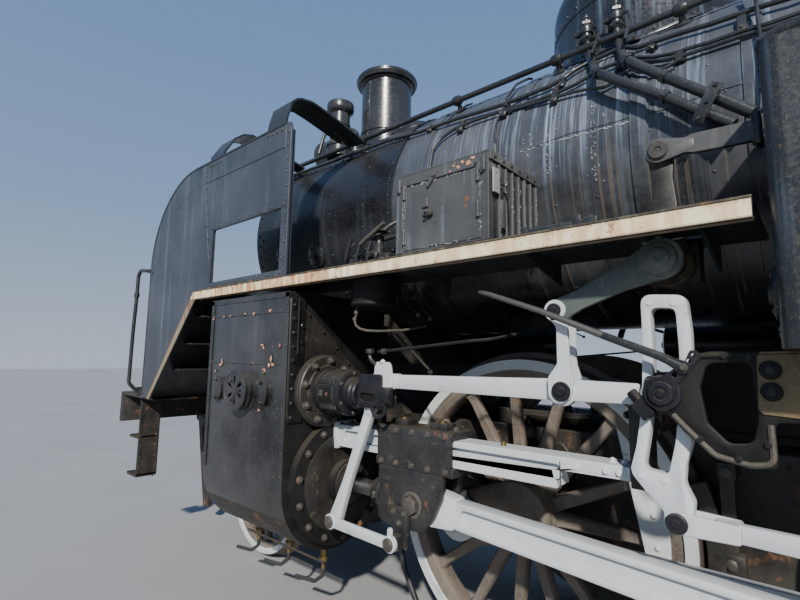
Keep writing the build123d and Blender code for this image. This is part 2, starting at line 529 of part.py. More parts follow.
with BuildPart() as link_brackets:
    for side in (1, -1):
        # cast frame outside the link: outer outline and the open window in it (x from the first axle, z)
        outer = [(-768, 1440), (-873, 1550), (-1004, 1562), (-1150, 1566), (-1150, 1375), (-1049, 1375), (-1049, 1246), (-903, 1256), (-789, 1362)]
        inner = [(-896, 1529), (-1004, 1538), (-1009, 1377), (-996, 1309), (-940, 1302), (-891, 1354), (-882, 1458)]
        slab_y([(D1 + x, z) for x, z in outer], side * 1156, side * 1180)
        slab_y([(D1 + x, z) for x, z in inner], side * 1150, side * 1190, Mode.SUBTRACT)
        rod_y(LINK_X, LINK_Z, 64, side * 1151, side * 1196)
        # pad and arm back to the frame, behind the gear
        block(D1 - 1150, D1 - 1100, side * 442, side * 1180, 1400, 1568)
done(link_brackets, "link_brackets")

with BuildPart() as reverse_lever:
    # arm on the weigh shaft, up through the board, and the rod back along the tank
    y0, y1 = 975.0, 1003.0
    taper_y((ARM_X, ARM_Z), 76.0, (D1 - 765.0, 2286.0), 50.0, y0, y1)
    taper_y((D1 - 765.0, 2286.0), 46.0, (TANK_FRONT + 36, 2276.0), 34.0, 1004.0, 1026.0)
    rod_y(D1 - 765.0, 2286.0, 22, 970, 1034)
    rod_y(ARM_X, ARM_Z, 52.3, 955, 1010, Mode.SUBTRACT)
done(reverse_lever, "reverse_lever")

# ------------------------------------------------------------------ boiler and what stands on it
with BuildPart() as boiler:
    rod_x(0, BOILER_Z, BARREL_R, BARREL_REAR, SMOKEBOX_REAR - 0.5)
    # bands: x from the first axle
    for x in (560, -60, -640, -1040):
        rod_x(0, BOILER_Z, BARREL_R + 5, D1 + x - 30, D1 + x + 30)
done(boiler, "boiler")

with BuildPart() as firebox:
    block(D2 - 1600, D2 - 400, -368, 368, 640, 1740)
    rod_x(0, BOILER_Z, BARREL_R + 0.5, D2 - 1700, D2, Mode.SUBTRACT)
done(firebox, "firebox")

with BuildPart() as smokebox:
    rod_x(0, BOILER_Z, SMOKEBOX_R, SMOKEBOX_REAR, SMOKEBOX_FRONT - 40)
    # front ring the door closes on
    rod_x(0, BOILER_Z, SMOKEBOX_R - 12, SMOKEBOX_FRONT - 41, SMOKEBOX_FRONT)
done(smokebox, "smokebox")

DOOR_R = 560.0
with BuildPart() as smokebox_door:
    # dished door: turned section (radius, distance ahead of the smokebox front)
    with BuildSketch(Plane(origin=(SMOKEBOX_FRONT, 0, BOILER_Z), x_dir=(0, 1, 0), z_dir=(0, 0, 1))):
        with BuildLine():
            Polyline((0, -6), (DOOR_R, -6), (DOOR_R, -34))
            ThreePointArc((DOOR_R, -34), (DOOR_R * 0.55, -104), (0, -128))
            Line((0, -128), (0, -6))
        make_face()
    revolve(axis=Axis((SMOKEBOX_FRONT, 0, BOILER_Z), (1, 0, 0)))
    # hinge straps to the right side, and the dart handle in the middle
    for z in (BOILER_Z + 190, BOILER_Z - 190):
        block(SMOKEBOX_FRONT + 20, SMOKEBOX_FRONT + 50, -DOOR_R - 62, -DOOR_R + 60, z - 30, z + 30)
    rod_z(SMOKEBOX_FRONT + 35, -DOOR_R - 62, 20, BOILER_Z - 260, BOILER_Z + 260)
    rod_x(0, BOILER_Z, 40, SMOKEBOX_FRONT + 120, SMOKEBOX_FRONT + 175)
    bar_y((SMOKEBOX_FRONT + 165, BOILER_Z), (SMOKEBOX_FRONT + 165, BOILER_Z - 190), 13, -13, 13)
done(smokebox_door, "smokebox_door")

STACK_X = D1 + 1545.0
STACK_TOP = 3928.0
with BuildPart() as chimney:
    # base skirt, barrel and rolled cap: turned section (radius, z)
    with BuildSketch(Plane.XZ):
        with BuildLine():
            Polyline((STACK_X + 160, 3120), (STACK_X + 330, 3120), (STACK_X + 330, 3150), (STACK_X + 270, 3230), (STACK_X + 222, 3300),
                     (STACK_X + 214, 3400), (STACK_X + 212, STACK_TOP - 60), (STACK_X + 250, STACK_TOP - 58), (STACK_X + 260, STACK_TOP - 36),
                     (STACK_X + 252, STACK_TOP - 8), (STACK_X + 225, STACK_TOP), (STACK_X + 190, STACK_TOP), (STACK_X + 180, STACK_TOP - 40), close=True)
        make_face()
    revolve(axis=Axis((STACK_X, 0, 0), (0, 0, 1)))
    rod_x(0, BOILER_Z, SMOKEBOX_R + 0.3, STACK_X - 500, STACK_X + 500, Mode.SUBTRACT)
done(chimney, "chimney")

AUX_X, AUX_Y = D1 + 1780.0, 320.0
with BuildPart() as exhaust_stack:
    rod_z(AUX_X, AUX_Y, 82, 3190, 3640)
    rod_z(AUX_X, AUX_Y, 108, 3600, 3660)
    rod_z(AUX_X, AUX_Y, 105, 3190, 3290)
    rod_x(0, BOILER_Z, SMOKEBOX_R + 0.3, AUX_X - 300, AUX_X + 300, Mode.SUBTRACT)
    rod_z(AUX_X, AUX_Y, 66, 3520, 3700, Mode.SUBTRACT)
done(exhaust_stack, "exhaust_stack")

with BuildPart() as headlights:
    # x of the lamp's back, its height, and which way it faces
    for x, z, sx, foot in ((D1 + 2170.0, 3440.0, 1, 3180.0), (BUNKER_REAR + 190.0, 3010.0, -1, BUNKER_TOP)):
        rod_x(0, z, 148, x, x + sx * 150)
        with Locations(Location((x, 0, z))):
            Sphere(148)
        block(x - 40, x + sx * 120, -55, 55, foot, z - 100)
    block(D1 + 1900, D1 + 1990, -5, 5, 3200, 3230, Mode.SUBTRACT)
    rod_x(0, BOILER_Z, SMOKEBOX_R + 0.3, D1 + 1800, D1 + 2400, Mode.SUBTRACT)
done(headlights, "headlights")


def dome(x, r, top, foot_r):
    """A dome: straight side and rounded crown turned about its upright axis, on a saddle that follows the barrel."""
    rod_z(x, 0, foot_r, 2950, 3300)
    rod_x(0, BOILER_Z, BARREL_R + 20, x - 900, x + 900, Mode.INTERSECT)
    # crown: a corner arc of half the radius through 60 degrees, then a flatter arc to the top
    rc = r * 0.5
    crown = top + (r - rc) * tan(radians(60)) - (rc + (r - rc) / cos(radians(60)))
    shoulder = (x + r - rc + rc * cos(radians(60)), crown + rc * sin(radians(60)))
    flat_r = rc + (r - rc) / cos(radians(60))
    flat_c = top - flat_r
    with BuildSketch(Plane.XZ) as section:
        with BuildLine():
            Polyline((x, 3000), (x + r, 3000), (x + r, crown))
            ThreePointArc((x + r, crown), (x + r - rc + rc * cos(radians(30)), crown + rc * sin(radians(30))), shoulder)
            ThreePointArc(shoulder, (x + flat_r * sin(radians(15)), flat_c + flat_r * cos(radians(15))), (x, top))
            Line((x, top), (x, 3000))
        make_face()
    revolve(section.sketch, axis=Axis((x, 0, 0), (0, 0, 1)))
    rod_x(0, BOILER_Z, BARREL_R + 5.6, x - 900, x + 900, Mode.SUBTRACT)


with BuildPart() as sand_dome:
    dome(D1 - 490.0, 480.0, 3830.0, 512.0)
done(sand_dome, "sand_dome")
with BuildPart() as steam_dome:
    dome(D1 - 1900.0, 400.0, 3800.0, 430.0)
done(steam_dome, "steam_dome")

with BuildPart() as safety_valves:
    for y in (-105, 105):
        rod_z(D1 - 3300, y, 62, 3200, 3520)
        rod_z(D1 - 3300, y, 80, 3470, 3500)
    block(D1 - 3420, D1 - 3180, -180, 180, 3180, 3290)
    rod_z(D1 - 3560, 0, 36, 3200, 3560)
    block(D1 - 3600, D1 - 3400, -60, 60, 3200, 3280)
    rod_x(0, BOILER_Z, BARREL_R + 0.3, D1 - 4000, D1 - 3000, Mode.SUBTRACT)
done(safety_valves, "safety_valves")

# ------------------------------------------------------------------ running boards, pilot slope
with BuildPart() as running_boards:
    for side in (1, -1):
        rear = BOARD_REAR
        # deck and its turned-down edge
        slab_z([(rear, side * 800), (KNEE_X, side * 800), (KNEE_X, side * DECK_Y), (rear, side * DECK_Y)], DECK_Z - 12, DECK_Z)
        # edge angle and the slope as one (x, z) strip
        nx, nz = 0.762, 0.648
        slab_y([(rear, DECK_Z), (KNEE_X, DECK_Z), (FOOT_X, PILOT_Z), (FOOT_X - nx * DECK_EDGE, PILOT_Z),
                (KNEE_X - 30, DECK_Z - DECK_EDGE), (rear, DECK_Z - DECK_EDGE)], side * (DECK_Y - 12), side * DECK_Y)
        slab_y([(KNEE_X - 16, DECK_Z - 12), (KNEE_X, DECK_Z), (FOOT_X, PILOT_Z), (FOOT_X - 16, PILOT_Z)], side * 800, side * DECK_Y)
        # board brackets off the boiler: x from the first axle
        for x in (-900, -300, 300, 800):
            slab_x([(side * 800, DECK_Z - 12), (side * (DECK_Y - 130), DECK_Z - 12), (side * 800, DECK_Z - 110)], D1 + x - 6, D1 + x + 6)
    # slot for the reversing arm in the left board
    block(D1 - 880, D1 - 690, 965, 1013, DECK_Z - 80, DECK_Z + 10, Mode.SUBTRACT)
done(running_boards, "running_boards")

DEFL_Y = 1296.0
with BuildPart() as smoke_deflectors:
    for side in (1, -1):
        x0, x1, top, r = D1 + 1067.0, D1 + 2930.0, 2905.0, 690.0
        with BuildSketch(Plane.XZ.offset(-(side * DEFL_Y + 5))):
            with BuildLine():
                Polyline((x1, top - r), (x1, PILOT_Z), (FOOT_X + 14, PILOT_Z + 1), (KNEE_X + 12, DECK_Z + 1), (x0, DECK_Z + 1), (x0, top - 45), (x0 + 45, top),
                         (x1 - r, top))
                CenterArc((x1 - r, top - r), r, 0, 90)
            make_face()
            # look-out window
            with BuildLine():
                Polyline((D1 + 1130, 2021), (D1 + 1922, 2021), (D1 + 1922, 2385), (D1 + 1130, 2385), close=True)
            make_face(mode=Mode.SUBTRACT)
        extrude(amount=10)
done(smoke_deflectors, "smoke_deflectors")

with BuildPart() as equipment_box:
    # steel box on the left board, on angle feet
    block(D1 - 203, D1 + 282, 832, 1250, 2003, 2362)
    for x in (D1 - 190, D1 + 245):
        block(x, x + 25, 840, 1245, DECK_Z, 2004)
done(equipment_box, "equipment_box")

with BuildPart() as air_compressor:
    # upright steam-driven pump on the right board
    x, y = D1 + 250.0, -1060.0
    for r, z0, z1 in ((170, DECK_Z, 2010), (150, 2005, 2250), (168, 2245, 2275), (60, 2270, 2400), (168, 2395, 2425), (140, 2420, 2640), (158, 2635, 2670)):
        rod_z(x, y, r, z0, z1)
    block(x - 60, x + 60, -905, -790, 2330, 2560)
    block(x - 40, x + 40, -1000, -880, 2420, 2520)
    rod_x(0, BOILER_Z, BARREL_R + 5.6, D1 - 200, D1 + 900, Mode.SUBTRACT)
    # its two air reservoirs under the board: rear and front end
    for x0, x1 in ((D1 + 400, D1 + 930), (D1 - 1060, D1 - 370)):
        rod_x(-860, 1650, 150, x0, x1)
done(air_compressor, "air_compressor")

# ------------------------------------------------------------------ side tanks
with BuildPart() as side_tanks:
    for side in (1, -1):
        inner = 800.0
        with BuildSketch(Plane.XY.offset(TANK_BOTTOM)):
            with BuildLine():
                Polyline((TANK_REAR, side * inner), (TANK_REAR, side * SIDE_Y), (TANK_FRONT - 45, side * SIDE_Y))
                ThreePointArc((TANK_FRONT - 45, side * SIDE_Y), (TANK_FRONT - 13, side * (SIDE_Y - 13)), (TANK_FRONT, side * (SIDE_Y - 45)))
                Polyline((TANK_FRONT, side * (SIDE_Y - 45)), (TANK_FRONT, side * inner), (TANK_REAR, side * inner))
            make_face()
        extrude(amount=TANK_TOP - TANK_BOTTOM)
        # filler neck
        rod_z(D1 - 2500, side * 1130, 190, TANK_TOP - 5, TANK_TOP + 55)
        # inner bearers from the tank down to the frame
        for x in (D1 - 1300, D1 - 2900, D1 - 4300):
            block(x - 30, x + 30, side * 445, side * 900, TANK_BOTTOM, TANK_BOTTOM + 50)
done(side_tanks, "side_tanks")

for name, side in (("tank_lid_left", 1), ("tank_lid_right", -1)):
    with BuildPart() as lid:
        rod_z(D1 - 2500, side * 1130, 200, TANK_TOP + 56, TANK_TOP + 76)
        rod_z(D1 - 2500, side * 1130, 120, TANK_TOP + 75, TANK_TOP + 90)
        block(D1 - 2540, D1 - 2460, side * 900, side * 1000, TANK_TOP + 60, TANK_TOP + 76)
        rod_x(side * 905, TANK_TOP + 68, 14, D1 - 2560, D1 - 2440)
    done(lid, name)

# ------------------------------------------------------------------ cab
ROOF_Y = 1420.0
ROOF_R = (ROOF_Y ** 2 + ROOF_RISE ** 2) / (2 * ROOF_RISE)
ROOF_C = EAVES + ROOF_RISE - ROOF_R


def roof_z(y, drop=0.0):
    """Height of the roof's outer skin at y, less a given depth square to it."""
    return ROOF_C + sqrt((ROOF_R - drop) ** 2 - y ** 2)


def cab_end(x0, x1, bottom):
    """End wall of the cab under the curved roof."""
    y = SIDE_Y - WALL - 0.5
    drop = WALL + 1.0
    with BuildSketch(Plane.YZ.offset(x0)) as outline:
        with BuildLine():
            Polyline((y, roof_z(y, drop)), (y, bottom), (-y, bottom), (-y, roof_z(y, drop)))
            ThreePointArc((-y, roof_z(y, drop)), (0, roof_z(0, drop)), (y, roof_z(y, drop)))
        make_face()
    extrude(outline.sketch, amount=x1 - x0)


DOOR_X0, DOOR_X1 = CAB_REAR + 90.0, CAB_REAR + 690.0
with BuildPart() as cab_sides:
    for side in (1, -1):
        y0, y1 = side * (SIDE_Y - WALL), side * SIDE_Y
        block(CAB_REAR, CAB_FRONT, y0, y1, CAB_BOTTOM, roof_z(SIDE_Y, WALL + 1.0))
        # side window and the doorway behind it
        block(CAB_FRONT - 1130, CAB_FRONT - 230, side * (SIDE_Y - 60), side * (SIDE_Y + 20), 2400, 2980, Mode.SUBTRACT)
        block(DOOR_X0, DOOR_X1, side * (SIDE_Y - 60), side * (SIDE_Y + 20), CAB_FLOOR, 3020, Mode.SUBTRACT)
done(cab_sides, "cab_sides")

with BuildPart() as cab_front:
    cab_end(CAB_FRONT - WALL, CAB_FRONT, CAB_FLOOR + 0.5)
    rod_x(0, BOILER_Z, BARREL_R + 1.0, CAB_FRONT - 100, CAB_FRONT + 100, Mode.SUBTRACT)
    # spectacle windows above the boiler's shoulders
    for side in (1, -1):
        block(CAB_FRONT - 60, CAB_FRONT + 60, side * 860, side * 1280, 2480, 3000, Mode.SUBTRACT)
done(cab_front, "cab_front")

with BuildPart() as cab_rear:
    cab_end(CAB_REAR, CAB_REAR + WALL, CAB_FLOOR + 0.5)
    for side in (1, -1):
        block(CAB_REAR - 60, CAB_REAR + 60, side * 620, side * 1150, 2800, 3060, Mode.SUBTRACT)
    # coal gate opening, low in the middle
    block(CAB_REAR - 60, CAB_REAR + 60, -300, 300, 1700, 2250, Mode.SUBTRACT)
done(cab_rear, "cab_rear")

with BuildPart() as cab_roof:
    over = 120.0
    x0, x1 = CAB_REAR - over, CAB_FRONT + over
    with BuildSketch(Plane.YZ.offset(x0)):
        with BuildLine():
            y = ROOF_Y
            yi = ROOF_Y - 8
            ThreePointArc((-y, roof_z(y)), (0, roof_z(0)), (y, roof_z(y)))
            Line((y, roof_z(y)), (yi, roof_z(yi, WALL)))
            ThreePointArc((yi, roof_z(yi, WALL)), (0, roof_z(0, WALL)), (-yi, roof_z(yi, WALL)))
            Line((-yi, roof_z(yi, WALL)), (-y, roof_z(y)))
        make_face()
    extrude(amount=x1 - x0)
    # raised ventilator on the crown
    block(CAB_REAR + 620, CAB_REAR + 1420, -420, 420, roof_z(420) - 40, roof_z(0) + 70)
    rod_x(0, ROOF_C, ROOF_R - WALL, x0 - 10, x1 + 10, Mode.SUBTRACT)
done(cab_roof, "cab_roof")

with BuildPart() as cab_floor:
    block(CAB_REAR, CAB_FRONT - 0.5, -SIDE_Y + WALL + 0.5, SIDE_Y - WALL - 0.5, CAB_FLOOR - 40, CAB_FLOOR)
    # bearers down to the frame
    for side in (1, -1):
        block(CAB_REAR, CAB_FRONT, side * FRAME_IN, side * FRAME_OUT, 1360.5, CAB_FLOOR - 40)
done(cab_floor, "cab_floor")

with BuildPart() as cab_steps:
    # two treads and two hangers below each doorway
    for side in (1, -1):
        for z in (700, 1060):
            block(DOOR_X0 + 30, DOOR_X1 - 30, side * 1060, side * 1340, z, z + 14)
        for x in (DOOR_X0 + 30, DOOR_X1 - 44):
            block(x, x + 14, side * 1190, side * 1230, 700, CAB_FLOOR - 40.5)
        block(DOOR_X0 + 30, DOOR_X1 - 30, side * 1180, side * 1230, CAB_FLOOR - 62, CAB_FLOOR - 40.5)
done(cab_steps, "cab_steps")

for name, side in (("cab_door_left", 1), ("cab_door_right", -1)):
    with BuildPart() as door:
        # low door in the doorway, hinged at its front edge
        block(DOOR_X0 + 10, DOOR_X1 - 22, side * (SIDE_Y - WALL + 3), side * (SIDE_Y - 3), CAB_FLOOR + 14, 2330)
        rod_z(DOOR_X1 - 22, side * (SIDE_Y - WALL / 2), 12, CAB_FLOOR + 14, 2330)
        rod_y((DOOR_X0 + 90), 2240, 14, side * (SIDE_Y - WALL - 25), side * (SIDE_Y - 10))
    done(door, name)

with BuildPart() as backhead:
    # rear of the boiler inside the cab, with the fire door ring and a shelf
    x = BARREL_REAR
    rod_x(0, BOILER_Z - 40, 690, x - 60, x - 0.5)
    block(x - 60, x - 0.5, -560, 560, CAB_FLOOR + 0.5, BOILER_Z - 40)
    rod_x(0, 1900, 210, x - 95, x - 55)
    block(x - 110, x - 55, -330, 330, 2500, 2540)
    block(x - 150, x - 55, -30, 30, 2660, 2780)
done(backhead, "backhead")

# ------------------------------------------------------------------ coal bunker
with BuildPart() as coal_bunker:
    x0, x1 = BUNKER_REAR, CAB_REAR - 1.0
    block(x0, x1, -SIDE_Y, SIDE_Y, CAB_BOTTOM, 2300)
    # upper coal plates lean in a little: (|y|, z) outline
    slab_x([(-SIDE_Y, 2299), (-SIDE_Y, 2420), (-SIDE_Y + 150, BUNKER_TOP), (SIDE_Y - 150, BUNKER_TOP), (SIDE_Y, 2420), (SIDE_Y, 2299)], x0, x1)
    # coal space, open at the top, its floor sloping to the cab
    slab_y([(x0 + WALL, BUNKER_TOP + 50), (x0 + WALL, 2250), (x1 - WALL, 1760), (x1 - WALL, BUNKER_TOP + 50)], -1200, 1200, Mode.SUBTRACT)
    block(x0 + WALL, x1 - WALL, -SIDE_Y + WALL + 60, SIDE_Y - WALL - 60, 2330, 2420, Mode.SUBTRACT)
    # gate hole towards the cab
    block(x1 - 60, x1 + 10, -300, 300, 1700 + 80, 2250, Mode.SUBTRACT)
    for side in (1, -1):
        block(x0 + 20, x1, side * FRAME_IN, side * FRAME_OUT, 1360.5, CAB_BOTTOM + 1)
done(coal_bunker, "coal_bunker")

# ------------------------------------------------------------------ trucks
with BuildPart() as pony_frame:
    # radial arm: a pivot block behind, two arms forward to a box round the axle
    block(PONY_PIVOT_X - 70, PONY_PIVOT_X + 90, -95, 95, 400, 545)
    for side in (1, -1):
        slab_z([(PONY_PIVOT_X + 40, side * 30), (PONY_PIVOT_X + 40, side * 95), (LEAD_X - 420, side * 360), (LEAD_X - 420, side * 260)], 410, 520)
        slab_y([(LEAD_X - 430, 400), (LEAD_X + 330, 400), (LEAD_X + 330, 520), (LEAD_X + 150, 590), (LEAD_X - 150, 590), (LEAD_X - 430, 520)], side * 300, side * 362)
        rod_y(LEAD_X, SMALL_Z, 118, side * 250, side * 420)
    block(LEAD_X - 420, LEAD_X - 340, -310, 310, 405, 515)
    block(LEAD_X + 250, LEAD_X + 330, -310, 310, 405, 515)
    # centring block that bears on the frame above
    block(LEAD_X - 120, LEAD_X + 120, -310, 310, 555, 640)
    rod_z(LEAD_X, 0, 110, 630, 900)
    rod_y(LEAD_X, SMALL_Z, 67.0, -500, 500, Mode.SUBTRACT)
    rod_z(PONY_PIVOT_X, 0, 35.5, 350, 600, Mode.SUBTRACT)
done(pony_frame, "pony_frame")

BOGIE_X = (TRAIL1_X + TRAIL2_X) / 2
with BuildPart() as bogie_frame:
    for side in (1, -1):
        slab_y([(TRAIL2_X - 330, 430), (TRAIL2_X - 330, 560), (TRAIL2_X - 160, 640), (TRAIL2_X + 160, 640), (BOGIE_X - 420, 560), (BOGIE_X + 420, 560),
                (TRAIL1_X - 160, 640), (TRAIL1_X + 160, 640), (TRAIL1_X + 330, 560), (TRAIL1_X + 330, 430), (TRAIL1_X - 250, 380), (TRAIL2_X + 250, 380)],
               side * 320, side * 372)
        for x in (TRAIL1_X, TRAIL2_X):
            rod_y(x, SMALL_Z, 122, side * 280, side * 424)
    for x in (TRAIL1_X + 290, TRAIL2_X - 290):
        block(x - 35, x + 35, -330, 330, 440, 550)
    block(BOGIE_X - 230, BOGIE_X + 230, -330, 330, 400, 620)
    rod_z(BOGIE_X, 0, 190, 610, 860)
    rod_z(BOGIE_X, 0, 70.0, 850, 1240)
    for x in (TRAIL1_X, TRAIL2_X):
        rod_y(x, SMALL_Z, 67.0, -500, 500, Mode.SUBTRACT)
done(bogie_frame, "bogie_frame")

# ------------------------------------------------------------------ brake gear
with BuildPart() as brake_gear:
    # one beam with two shoes and hangers ahead of or behind each driver: axle x, which side of it
    for x, s in ((D1, -1), (D2, -1), (D3, -1)):
        reach = DRIVER_R + 14
        for side in (1, -1):
            y0, y1 = side * (TYRE_IN + 34), side * (TYRE_OUT - 10)
            with BuildSketch(Plane.XZ.offset(-max(y0, y1))):
                with BuildLine():
                    a0, a1 = (200, 160) if s < 0 else (-20, 20)
                    pts_o = [(x + (reach + 58) * cos(radians(a)), DRIVER_Z + (reach + 58) * sin(radians(a))) for a in (a0, 180 if s < 0 else 0, a1)]
                    pts_i = [(x + reach * cos(radians(a)), DRIVER_Z + reach * sin(radians(a))) for a in (a1, 180 if s < 0 else 0, a0)]
                    ThreePointArc(*pts_o)
                    Line(pts_o[2], pts_i[0])
                    ThreePointArc(*pts_i)
                    Line(pts_i[2], pts_o[0])
                make_face()
            extrude(amount=abs(y1 - y0))
            # hanger up to a bracket on the frame
            hx = x + s * (reach + 74)
            slab_y([(hx - 24, 700), (hx + 24, 700), (hx + 24, 1140), (hx - 24, 1140)], side * 560, side * 596)
            block(hx - 30, hx + 30, side * FRAME_OUT, side * 600, 1090, 1150)
        hx = x + s * (reach + 74)
        block(hx - 30, hx + 30, -600, 600, 470, 550)
        for side in (1, -1):
            block(hx - 24, hx + 24, side * 560, side * 596, 500, 720)
done(brake_gear, "brake_gear")

print("left gudgeon", GX[1] - D1, "right", GX[-1] - D1, "mid", MID_X - D1)
print("lever foot left", lever_foot(1), "right", lever_foot(-1))
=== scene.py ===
import bpy
import bmesh
import json
import random
from math import sin, cos, tan, radians, degrees, pi, sqrt, hypot, atan2
from mathutils import Vector, Matrix


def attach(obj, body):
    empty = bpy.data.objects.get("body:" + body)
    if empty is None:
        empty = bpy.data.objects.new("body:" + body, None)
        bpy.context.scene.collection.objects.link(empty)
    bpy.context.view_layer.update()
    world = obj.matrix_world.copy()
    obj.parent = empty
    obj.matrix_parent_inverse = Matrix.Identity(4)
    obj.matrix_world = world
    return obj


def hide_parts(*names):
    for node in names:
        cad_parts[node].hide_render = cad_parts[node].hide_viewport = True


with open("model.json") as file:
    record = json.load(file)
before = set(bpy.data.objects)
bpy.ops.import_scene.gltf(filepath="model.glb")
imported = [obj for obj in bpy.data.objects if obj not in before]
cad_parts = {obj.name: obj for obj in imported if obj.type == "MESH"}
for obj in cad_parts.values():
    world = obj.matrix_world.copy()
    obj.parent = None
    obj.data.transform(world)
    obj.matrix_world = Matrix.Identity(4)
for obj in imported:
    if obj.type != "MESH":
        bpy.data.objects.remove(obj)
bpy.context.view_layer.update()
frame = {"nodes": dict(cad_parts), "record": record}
random.seed(7)

# ------------------------------------------------------------------ places, as in the CAD source (metres)
D1, D2, D3 = 2.425, 0.525, -1.375
LEAD_X, TRAIL1_X, TRAIL2_X = 4.625, -3.275, -4.975
DRIVER_Z, SMALL_Z = 0.788, 0.458
DRIVER_R, SMALL_R = 0.760, 0.430
BZ = 2.486
SMOKE_R, BARREL_R = 0.780, 0.770
SMOKE_F, SMOKE_B = D1 + 2.240, D1 + 0.765
CYL_Y, CYL_Z = 0.970, 0.850
CX0, CX1 = D1 + 0.964, D1 + 1.794
JACKET_TOP = 1.884
VY, VZ = 1.110, 1.351
DECK_Z, DECK_Y, DECK_E = 1.971, 1.340, 0.058
KNEE_X, FOOT_X, PILOT_Z = D1 + 2.080, D1 + 2.737, 1.199
BOARD_REAR = D1 - 1.047
TANK_F, TANK_B = D1 - 1.085, D1 - 4.440
TANK_LO, TANK_HI = 1.570, 2.375
SIDE_Y = 1.400
CAB_F, CAB_B = D1 - 4.450, D1 - 6.450
BUNK_B = D1 - 8.180
BEAM_F, BEAM_B = D1 + 3.500, D1 - 8.350
COUPLER_Z = 0.908
CRANK = 0.305
CRANK_A = {1: 11.0, -1: 101.0}
EAVES, RISE, ROOF_Y = 3.120, 0.430, 1.420
ROOF_R = (ROOF_Y ** 2 + RISE ** 2) / (2 * RISE)
ROOF_C = EAVES + RISE - ROOF_R
DEFL_Y = 1.296


def roof_z(y, drop=0.0):
    return ROOF_C + sqrt((ROOF_R - drop) ** 2 - y ** 2)


def crank_point(axle_x, side):
    a = radians(CRANK_A[side])
    return (axle_x + CRANK * cos(a), DRIVER_Z - CRANK * sin(a))


def F(x):
    """x measured from the first driving axle, in millimetres."""
    return D1 + x / 1000.0


